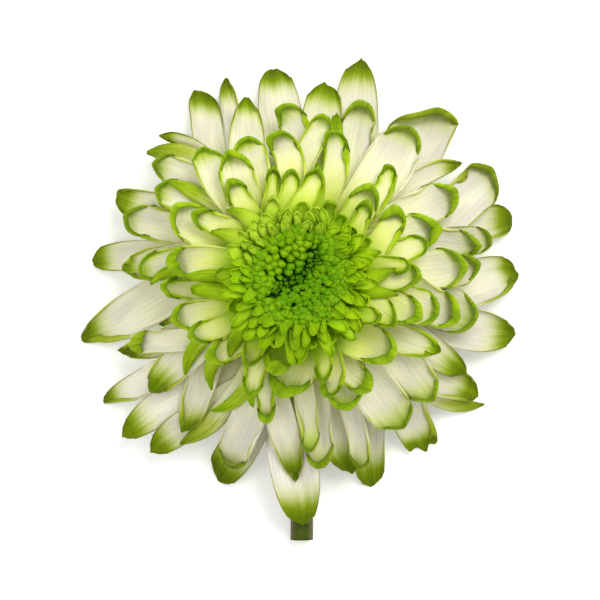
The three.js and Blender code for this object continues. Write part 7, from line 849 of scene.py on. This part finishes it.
def stem_material():
    g = Graph("stem_skin")
    ang, run, up = g.attr("ang"), g.attr("run"), g.attr("updot")
    streak = g.noise(g.vec(g.mul(ang, 7.0), g.mul(run, 0.35), 0.0), 1.0, 4.0, 0.6)
    fine = g.noise(g.vec(g.mul(ang, 30.0), g.mul(run, 1.2), 3.0), 1.0, 3.0, 0.6)
    # the flanks, which the camera sees edge-on, are grey-brown: the hairs' own colour with painted sheen; the top and
    # underside stay green
    colour = g.mix(g.ramp01(up, 0.40, 0.92), c4(0.135, 0.108, 0.048), c4(0.050, 0.078, 0.003))
    colour = g.mix(g.mul(g.ramp01(streak, 0.42, 0.72), 0.40), colour, c4(0.115, 0.140, 0.020))
    colour = g.mix(g.mul(g.ramp01(fine, 0.52, 0.80), 0.45), colour, c4(0.040, 0.040, 0.012))
    g.bump(g.add(g.mul(streak, 0.4), fine), 0.0003, 0.9)
    return g.finish(colour, 0.60, sss=0.05, spec=0.15)


def cut_material():
    g = Graph("cut_face")
    r = g.attr("cutr")
    xyz = g.object_xyz()
    cells = g.voronoi(xyz, 2600.0)
    n = g.noise(xyz, 900.0, 3.0, 0.6)
    colour = g.ramp(g.add(r, g.mul(g.sub(n, 0.5), 0.12)), [(0.0, (0.62, 0.64, 0.42)), (0.50, (0.56, 0.60, 0.34)), (0.66, (0.30, 0.40, 0.13)), (0.84, (0.20, 0.29, 0.06)), (1.0, (0.11, 0.14, 0.03))])
    colour = g.mix(g.mul(g.ramp01(cells, 0.1, 0.5), 0.25), colour, c4(0.72, 0.72, 0.54))
    g.bump(cells, 0.0002, 0.8)
    return g.finish(colour, 0.6, sss=0.1, spec=0.35)


def bract_material():
    g = Graph("bract_skin")
    edged, alo, acr, seed = g.attr("edged"), g.attr("alo"), g.attr("acr"), g.attr("seed")
    streak = g.noise(g.vec(g.mul(acr, 6.0), g.mul(alo, 1.5), g.mul(seed, 31.0)), 1.0, 3.0, 0.6)
    colour = g.mix(g.ramp01(streak, 0.3, 0.75), c4(0.11, 0.20, 0.025), c4(0.22, 0.34, 0.06))
    colour = g.mix(g.mul(g.falloff(g.math("ABSOLUTE", acr), 0.16), 0.5), colour, c4(0.07, 0.13, 0.02))
    colour = g.mix(g.mul(g.falloff(edged, 0.22), 0.8), colour, c4(0.50, 0.43, 0.24))
    g.bump(streak, 0.0002, 0.8)
    return g.finish(colour, 0.6, sss=0.08, spec=0.35)


def receptacle_material():
    g = Graph("receptacle_skin")
    xyz = g.object_xyz()
    n = g.noise(xyz, 500.0, 3.0, 0.6)
    cells = g.voronoi(xyz, 700.0)
    colour = g.mix(g.ramp01(n, 0.35, 0.7), c4(0.26, 0.38, 0.08), c4(0.42, 0.52, 0.18))
    colour = g.mix(g.mul(g.ramp01(cells, 0.25, 0.65), 0.4), colour, c4(0.14, 0.24, 0.04))
    g.bump(cells, 0.0004, 0.8)
    return g.finish(colour, 0.65, sss=0.1, spec=0.3)


def floor_material():
    g = Graph("studio_floor")
    n = g.noise(g.object_xyz(), 60.0, 2.0, 0.5)
    colour = g.mix(n, c4(0.94, 0.94, 0.94), c4(0.96, 0.96, 0.96))
    g.bsdf.inputs["Emission Color"].default_value = (1.0, 1.0, 1.0, 1.0)
    g.bsdf.inputs["Emission Strength"].default_value = 0.22
    return g.finish(colour, 0.9, spec=0.1)


# ------------------------------------------------------------------ mesh helpers
def make_object(name, verts, faces, attrs, mat, uv=None):
    me = bpy.data.meshes.new(name)
    v = (np.asarray(verts, float) + SHIFT) * 1e-3
    me.from_pydata([tuple(p) for p in v], [], [tuple(int(i) for i in f) for f in faces])
    for key, values in attrs.items():
        a = me.attributes.new(key, "FLOAT", "POINT")
        a.data.foreach_set("value", np.asarray(values, np.float32))
    if uv is not None:
        layer = me.uv_layers.new(name="UVMap")
        loops = np.empty(len(me.loops), np.int32)
        me.loops.foreach_get("vertex_index", loops)
        layer.data.foreach_set("uv", np.asarray(uv, np.float32)[loops].ravel())
    me.polygons.foreach_set("use_smooth", [True] * len(me.polygons))
    me.validate()
    me.update()
    ob = bpy.data.objects.new(name, me)
    bpy.context.scene.collection.objects.link(ob)
    me.materials.append(mat)
    return ob


class Pile:
    """Collects several closed bodies into one mesh."""

    def __init__(self):
        self.v, self.f, self.a, self.uv, self.n = [], [], {}, [], 0

    def put(self, body):
        v, f, a, uv = body
        self.v.append(v)
        self.f.extend([[i + self.n for i in q] for q in f])
        for k, x in a.items():
            self.a.setdefault(k, []).append(x)
        self.uv.append(uv)
        self.n += len(v)

    def build(self, name, mat):
        return make_object(name, np.vstack(self.v), self.f, {k: np.concatenate(x) for k, x in self.a.items()}, mat, np.vstack(self.uv))


petal_mat = petal_material()
groups = {}
EYE_UNDERSIDE = [(3.9, 31.8), (4.0, 34.6), (5.4, 37.6), (7.6, 39.9), (10.0, 41.3), (11.3, 42.0)]
roof = roof_map(EYE_UNDERSIDE)
for index, row in enumerate(FLORETS):
    small = row[0].startswith(("inner", "crown", "under"))
    body = petal(row, index, 18, 12, 5, 4) if small else petal(row, index)
    settle(body, roof)
    made = shell(body["S"], body["half"], body["extra"], body["uv"], body["flip"])
    if small:
        groups.setdefault(row[0], Pile()).put(made)
    else:
        ob = make_object("petal_" + row[0].replace("_floret", ""), made[0], made[1], made[2], petal_mat, made[3])
        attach(ob, "root")
        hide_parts(row[0])
for name, pile in groups.items():
    ob = pile.build("petals_" + name.replace("inner_florets", "inner_whorl"), petal_mat)
    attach(ob, "root")
    if name.startswith("inner"):
        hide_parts(name)


# ------------------------------------------------------------------ the eye
def eye_height(r):
    return np.interp(r, [0, 3, 6, 9, 11, 13, 15], [43.4, 44.0, 45.2, 46.5, 47.1, 47.2, 46.6])


def bud(p, axis, length, width, bend, seed, warm_lit, lift=0.0, point=0.0, seg=10):
    """A young floret: a slim stalk that swells to a head with a small cleft; point makes the head a pointed tube."""
    axis = unit(axis)
    rnd_ = rng(seed)
    turn = math.pi / 2 + rnd_.uniform(-0.9, 0.9)
    e1 = unit(np.cross(axis, np.array([math.cos(turn), math.sin(turn), 0.0])))
    e2 = np.cross(axis, e1)
    hs = [0.0, 0.25, 0.5, 0.66, 0.78, 0.87, 0.94, 0.985]
    ws = [(1 - point) * u_ + point * v_ for u_, v_ in zip([0.34, 0.46, 0.74, 0.93, 1.0, 0.90, 0.66, 0.34], [0.60, 0.78, 0.95, 1.0, 0.90, 0.72, 0.50, 0.20])]
    V, H = [], []
    ph = rnd_.uniform(0, 6.28)
    squash = rnd_.uniform(0.62, 0.92)
    lobe = rnd_.uniform(0.05, 0.13) + 0.26 * point
    mouth = max(0.0, point - 0.25)
    for h, wd in zip(hs, ws):
        for k_ in range(seg):
            a_ = 2 * math.pi * k_ / seg
            lobes = 1 + lobe * math.cos(5 * a_) * float(smooth(0.5, 0.95, h))
            dent = (0.14 + 0.30 * mouth) * width * float(smooth(0.9, 1.0, h)) * (0.5 - 0.5 * math.cos(5 * a_))
            q = p + axis * (length * (h - 1) - dent) + (e1 * math.cos(a_) + e2 * squash * math.sin(a_)) * (width / 2 * wd * lobes) + bend * (h - 1) ** 2 * length
            V.append(q)
            H.append(h)
    top = len(V)
    V.append(p - axis * (0.16 + 0.30 * mouth) * width)
    H.append(0.90 - 0.45 * mouth)
    low = len(V)
    V.append(p - axis * length + bend * length)
    H.append(0.0)
    F = []
    n = len(hs)
    for i in range(n - 1):
        for k_ in range(seg):
            a_, b_ = i * seg + k_, i * seg + (k_ + 1) % seg
            F.append((a_, b_, b_ + seg, a_ + seg))
    for k_ in range(seg):
        F.append(((n - 1) * seg + k_, (n - 1) * seg + (k_ + 1) % seg, top))
        F.append((k_, low, (k_ + 1) % seg))
    V = np.array(V)
    # lift sets how dark the foot of the head's painted shade goes; a negative lift paints the whole head darker, as
    # shade
    H = np.clip(np.array(H) * (1 - max(0.0, lift)) + lift, 0, 1)
    one = np.ones(len(V))
    uv = np.stack([np.linspace(0, 1, len(V)), H], 1)
    return V, F, {"budh": H, "rad": one * 0.0, "seed": one * ((seed * 0.37) % 1.0), "warm_lit": one * warm_lit}, uv


# painted shade: the heads along this line are painted darker, besides sitting lower
GAP = [(6.2, 8.6), (4.6, 4.0), (0.6, -0.3), (-4.0, -2.3), (-6.8, -5.6)]  # the dark line between the two sides of the eye


def to_gap(x, y):
    best = 99.0
    for (ax, ay), (bx, by) in zip(GAP[:-1], GAP[1:]):
        t = min(1.0, max(0.0, ((x - ax) * (bx - ax) + (y - ay) * (by - ay)) / ((bx - ax) ** 2 + (by - ay) ** 2)))
        best = min(best, math.hypot(x - ax - t * (bx - ax), y - ay - t * (by - ay)))
    return best


# painted shade: the heads in these hollows are painted darker, besides sitting lower
HOLES = [(-1.1, -9.2), (6.0, -6.3), (-5.4, -9.6)]  # small dark hollows in the fine side of the eye


def in_band(x, y):
    t = 1 - float(smooth(0.7, 2.1, to_gap(x, y)))
    for hx, hy in HOLES:
        t = max(t, 1 - float(smooth(0.2, 1.1, math.hypot(x - hx, y - hy))))
    return t


def bud_size(x, y):
    """Fine towards the lower right, large towards the upper left, even near the rim: spacing, share of upper left."""
    r = math.hypot(x, y)
    c, s_ = (x / r, y / r) if r > 1e-6 else (1.0, 0.0)
    side = (c * 0.66 - s_ * 0.75) * min(1.0, r / 3.0)
    far = float(smooth(8.5, 13.0, r))
    d = float(np.interp(side, [-1, -0.25, 0.15, 1], [2.15, 1.80, 1.22, 1.18])) * float(np.interp(r, [0, 8, 16], [0.95, 1.0, 1.2]))
    return (d * (1 - far) + 1.35 * far) * (1 - 0.38 * in_band(x, y)), side, far


rnd = rng(7)
spots = np.zeros((0, 3))
for k in rnd.permutation(7000):
    r = 15.0 * math.sqrt((k + 0.5) / 7000)
    a = k * 2.399963
    dx, dy = r * math.cos(a), r * math.sin(a)
    d = bud_size(dx, dy)[0]
    if len(spots) and np.min(np.hypot(spots[:, 0] - dx, spots[:, 1] - dy) / (0.5 * (spots[:, 2] + d))) < 0.80:
        continue
    spots = np.vstack([spots, [dx, dy, d]])
pile = Pile()
for k, (dx, dy, d) in enumerate(spots):
    r = math.hypot(dx, dy)
    c, s_ = dx / max(r, 1e-6), dy / max(r, 1e-6)
    side_, far = bud_size(dx, dy)[1:]
    in_gap = in_band(dx, dy)
    ul = float(smooth(0.0, 0.6, -side_)) * float(smooth(1.0, 3.5, r)) * (1 - far)
    z = float(eye_height(r)) + rnd.uniform(-0.40, 0.40) - 1.25 * in_gap
    inward = float(np.interp(r, [0, 4, 8, 10, 12, 16], [0.0, 0.10, -0.10, -0.40, -0.75, -1.5]))
    jit = 0.20 + 0.30 * (1 - ul)
    axis = np.array([-c * inward + 0.95 * ul, -s_ * inward - 0.95 * ul, 1.0]) + rnd.uniform(-jit, jit, 3) * np.array([1, 1, 0.3])
    # painted light on the upper-left heads, with their own warmer colour near the rim and at random
    warm_lit = float(np.clip(0.14 + 0.62 * ul + 0.35 * far + rnd.uniform(-0.3, 0.35), 0, 1)) * float(smooth(1, 6, r))
    # painted shade: deeper on the upper-left heads' sunk sides, and darkest for heads in the gap and the hollows
    lift = 0.20 + 0.26 * (1 - ul) + 0.05 * rnd.uniform(-1, 1) - 0.78 * in_gap
    point = float(np.clip(0.62 - 0.52 * ul + rnd.uniform(-0.25, 0.25), 0, 1))
    width = d * (1.95 - 0.67 * ul) * (1 - 0.22 * in_gap) * rnd.uniform(0.88, 1.12)
    pile.put(bud(np.array([AXIS[0] + dx, AXIS[1] + dy, z]), axis, 5.0 + 1.0 * ul, width, np.zeros(3), 900 + k, warm_lit, lift, point))
eye = pile.build("young_floret_heads", bud_material())
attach(eye, "root")
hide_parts("central_florets")


# the cushion that the young florets stand on; it takes the dark foot colour of the heads, their painted shade
def lathe(name, profile, mat, seg=64):
    V, F = [], []
    rows = len(profile)
    for rad_, z_ in profile:
        for k_ in range(seg):
            a_ = 2 * math.pi * k_ / seg
            V.append((AXIS[0] + rad_ * math.cos(a_), AXIS[1] + rad_ * math.sin(a_), z_))
    for i_ in range(rows - 1):
        for k_ in range(seg):
            a_, b_ = i_ * seg + k_, i_ * seg + (k_ + 1) % seg
            F.append((a_, b_, b_ + seg, a_ + seg))
    lo, hi = len(V), len(V) + 1
    V.append((AXIS[0], AXIS[1], profile[0][1]))
    V.append((AXIS[0], AXIS[1], profile[-1][1]))
    for k_ in range(seg):
        F.append((lo, (k_ + 1) % seg, k_))
        F.append((hi, (rows - 1) * seg + k_, (rows - 1) * seg + (k_ + 1) % seg))
    V = np.array(V, float)
    one = np.ones(len(V))
    return make_object(name, V, F, {"budh": one * 0.05, "rad": one, "seed": one * 0.3, "warm_lit": one * 0}, mat, np.stack([V[:, 0] * 0.02 + 0.5, V[:, 1] * 0.02 + 0.5], 1))


cushion = lathe("eye_cushion", EYE_UNDERSIDE + [(11.5, 42.4), (10.2, 43.0), (7.0, 42.4), (4.0, 41.2), (1.5, 40.6)], bpy.data.materials["young_floret_skin"])
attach(cushion, "root")

# ------------------------------------------------------------------ receptacle: its own solid, hidden by the petals
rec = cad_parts["receptacle"]
rec_mat = receptacle_material()
if rec.data.materials:
    for i in range(len(rec.data.materials)):
        rec.data.materials[i] = rec_mat
else:
    rec.data.materials.append(rec_mat)


# ------------------------------------------------------------------ bracts
def bract(a0, r0, z0, r1, z1, width, index):
    rnd_ = rng(3000 + index)
    rows, cols = 14, 8
    u = np.linspace(0, 1, rows)
    v = np.linspace(-1, 1, cols + 1)
    S = np.zeros((rows, cols + 1, 3))
    W_ = np.zeros(rows)
    c, s_ = math.cos(a0), math.sin(a0)
    nx = np.array([-s_, c, 0])
    for i, t in enumerate(u):
        r_ = r0 + (r1 - r0) * t
        z_ = z0 + (z1 - z0) * (0.25 * t + 0.75 * t**2.2)
        w = width * (0.55 + 0.45 * math.sin(math.pi * min(1, t / 0.55) / 2)) * (max(0.0, 1 - max(0, (t - 0.5) / 0.5) ** 2.2) ** 0.75 if t > 0.5 else 1)
        w = max(w, 0.25)
        W_[i] = w
        y = v * w / 2
        lift = 0.10 * w * np.abs(v) ** 2 * (1 if t > 0.4 else 0.6)
        base = np.array([AXIS[0] + r_ * c, AXIS[1] + r_ * s_, z_])
        S[i] = base + y[:, None] * nx + np.array([0, 0, 1.0]) * lift[:, None]
        # wrap round the cup
        S[i] -= np.array([c, s_, 0]) * ((y**2) / (2 * max(r_, 3.0)))[:, None]
    half = np.full((rows, cols + 1), 0.16) * (1 - 0.5 * np.abs(v)[None, :] ** 3)
    one = np.ones((rows, cols + 1))
    extra = {
        "edged": np.minimum((W_ / 2)[:, None] * (1 - np.abs(v))[None, :], ((1 - u) * abs(r1 - r0))[:, None] * one),
        "alo": u[:, None] * one, "acr": v[None, :] * one, "seed": one * rnd_.uniform(0, 1),
    }
    uvs = np.stack([(v[None, :] * 0.5 + 0.5) * one, u[:, None] * one], -1)
    return shell(S, half, extra, uvs)


pile = Pile()
bi = 0
for ring, (count, r0, z0, r1, z1, w) in enumerate([(15, 3.0, 13.2, 13.6, 17.0, 4.6), (13, 2.9, 12.9, 11.4, 15.4, 4.2), (11, 2.8, 12.65, 8.6, 13.9, 3.8)]):
    for i in range(count):
        a0 = 2 * math.pi * (i + 0.5 * (ring % 2) + 0.27 * ring) / count
        rr_ = rng(50 + bi)
        pile.put(bract(a0 + rr_.uniform(-0.04, 0.04), r0, z0, r1 * rr_.uniform(0.95, 1.04), z1 + rr_.uniform(-0.2, 0.3), w * rr_.uniform(0.92, 1.08), bi))
        bi += 1
bracts = pile.build("bract_scales", bract_material())
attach(bracts, "root")
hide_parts("involucre")


# ------------------------------------------------------------------ stem
def bez(a, b, c, d, t):
    return (1 - t) ** 3 * a + 3 * t * (1 - t) ** 2 * b + 3 * t * t * (1 - t) * c + t**3 * d


z0 = STEM_RADIUS
pa, pb = np.array([STEM_X, STEM_END_Y, z0]), np.array([0.1, -5.0, z0])
line = [pa + (pb - pa) * t for t in np.linspace(0, 1, 60)]
line += [bez(pb, np.array([0.0, 2.6, z0]), np.array([AXIS[0], AXIS[1], 5.4]), np.array([AXIS[0], AXIS[1], NECK_TOP_Z]), t) for t in np.linspace(0, 1, 30)[1:]]
line = np.array(line)
tan = unit(np.gradient(line, axis=0))
seg = 72
V, ang, run, updot = [], [], [], []
side = np.array([1.0, 0.0, 0.0])
length = np.r_[0, np.cumsum(np.linalg.norm(np.diff(line, axis=0), axis=1))]
for i, p in enumerate(line):
    e1 = unit(side - tan[i] * np.dot(side, tan[i]))
    e2 = np.cross(tan[i], e1)
    flare = 1 + 0.16 * float(smooth(length[-1] - 7, length[-1], length[i]))
    for k_ in range(seg):
        a_ = 2 * math.pi * k_ / seg
        rib = 0.13 * math.cos(8 * a_) + 0.05 * math.cos(13 * a_ + 0.02 * length[i]) + 0.03 * math.sin(length[i] * 0.35 + 3 * a_)
        r_ = (STEM_RADIUS - 0.12 + rib) * flare
        q = p + (e1 * math.cos(a_) + e2 * math.sin(a_)) * r_
        q[2] = max(q[2], 0.0)
        V.append(q)
        ang.append(abs(a_ - math.pi) / math.pi)
        run.append(length[i])
        updot.append(abs(math.sin(a_)))
F = []
rows = len(line)
for i in range(rows - 1):
    for k_ in range(seg):
        a_, b_ = i * seg + k_, i * seg + (k_ + 1) % seg
        F.append((a_, b_, b_ + seg, a_ + seg))
# the cut end: rings of pith, a little sunken
cut_from = len(F)
prev = 0
cutr = [1.0] * len(V)
first = np.array(V[:seg])
centre = first.mean(0)
cut_rng = rng(77)
for q_ in [0.9, 0.72, 0.5, 0.28]:
    start = len(V)
    for k_ in range(seg):
        V.append(centre + (first[k_] - centre) * q_ + np.array([0, 0.12 * (1 - q_) + cut_rng.uniform(-0.03, 0.03), 0]))
        for lst, val in ((ang, 0), (run, 0), (updot, 0), (cutr, q_)):
            lst.append(val)
    for k_ in range(seg):
        a_, b_ = prev + k_, prev + (k_ + 1) % seg
        c_, d_ = start + (k_ + 1) % seg, start + k_
        F.append((b_, a_, d_, c_))
    prev = start
V.append(centre + np.array([0, 0.14, 0]))
for lst in (ang, run, updot, cutr):
    lst.append(0.0)
for k_ in range(seg):
    F.append((prev + (k_ + 1) % seg, prev + k_, len(V) - 1))
cut_to = len(F)
V.append(line[-1])
for lst, val in ((ang, 0), (run, length[-1]), (updot, 0), (cutr, 1.0)):
    lst.append(val)
for k_ in range(seg):
    a_ = (rows - 1) * seg
    F.append((a_ + k_, a_ + (k_ + 1) % seg, len(V) - 1))
V = np.array(V)
stem = make_object("cut_stalk", V, F, {"ang": ang, "run": run, "updot": updot, "cutr": cutr}, stem_material(), np.stack([np.array(ang), np.array(run) / 80], 1))
stem.data.materials.append(cut_material())
for i in range(cut_from, cut_to):
    stem.data.polygons[i].material_index = 1
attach(stem, "root")
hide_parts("stem")

# ------------------------------------------------------------------ floor and light
me = bpy.data.meshes.new("floor")
me.from_pydata([(-3, -3, 0), (3, -3, 0), (3, 3, 0), (-3, 3, 0)], [], [(0, 1, 2, 3)])
floor = bpy.data.objects.new("floor", me)
bpy.context.scene.collection.objects.link(floor)
me.materials.append(floor_material())

world = bpy.data.worlds.new("studio")
bpy.context.scene.world = world
world.use_nodes = True
world.node_tree.nodes["Background"].inputs["Color"].default_value = (1.0, 0.99, 0.965, 1.0)
world.node_tree.nodes["Background"].inputs["Strength"].default_value = 0.64


def area(name, loc, target, size, energy, colour=(1, 1, 1)):
    data = bpy.data.lights.new(name, "AREA")
    data.shape = "SQUARE"
    data.size = size
    data.energy = energy
    data.color = colour
    ob = bpy.data.objects.new(name, data)
    bpy.context.scene.collection.objects.link(ob)
    d = Vector(target) - Vector(loc)
    ob.rotation_euler = d.to_track_quat("-Z", "Y").to_euler()
    ob.location = loc
    return ob


area("key_light", (0.34, 0.44, 0.84), (0, 0, 0.02), 0.55, 6.5, (1.0, 0.985, 0.94))
area("fill_light", (-0.55, -0.05, 0.75), (0, 0, 0.02), 0.6, 1.9)

scene = bpy.context.scene
scene.view_settings.view_transform = "Standard"
scene.view_settings.look = "None"
scene.view_settings.exposure = 0.0
scene.view_settings.gamma = 1.0
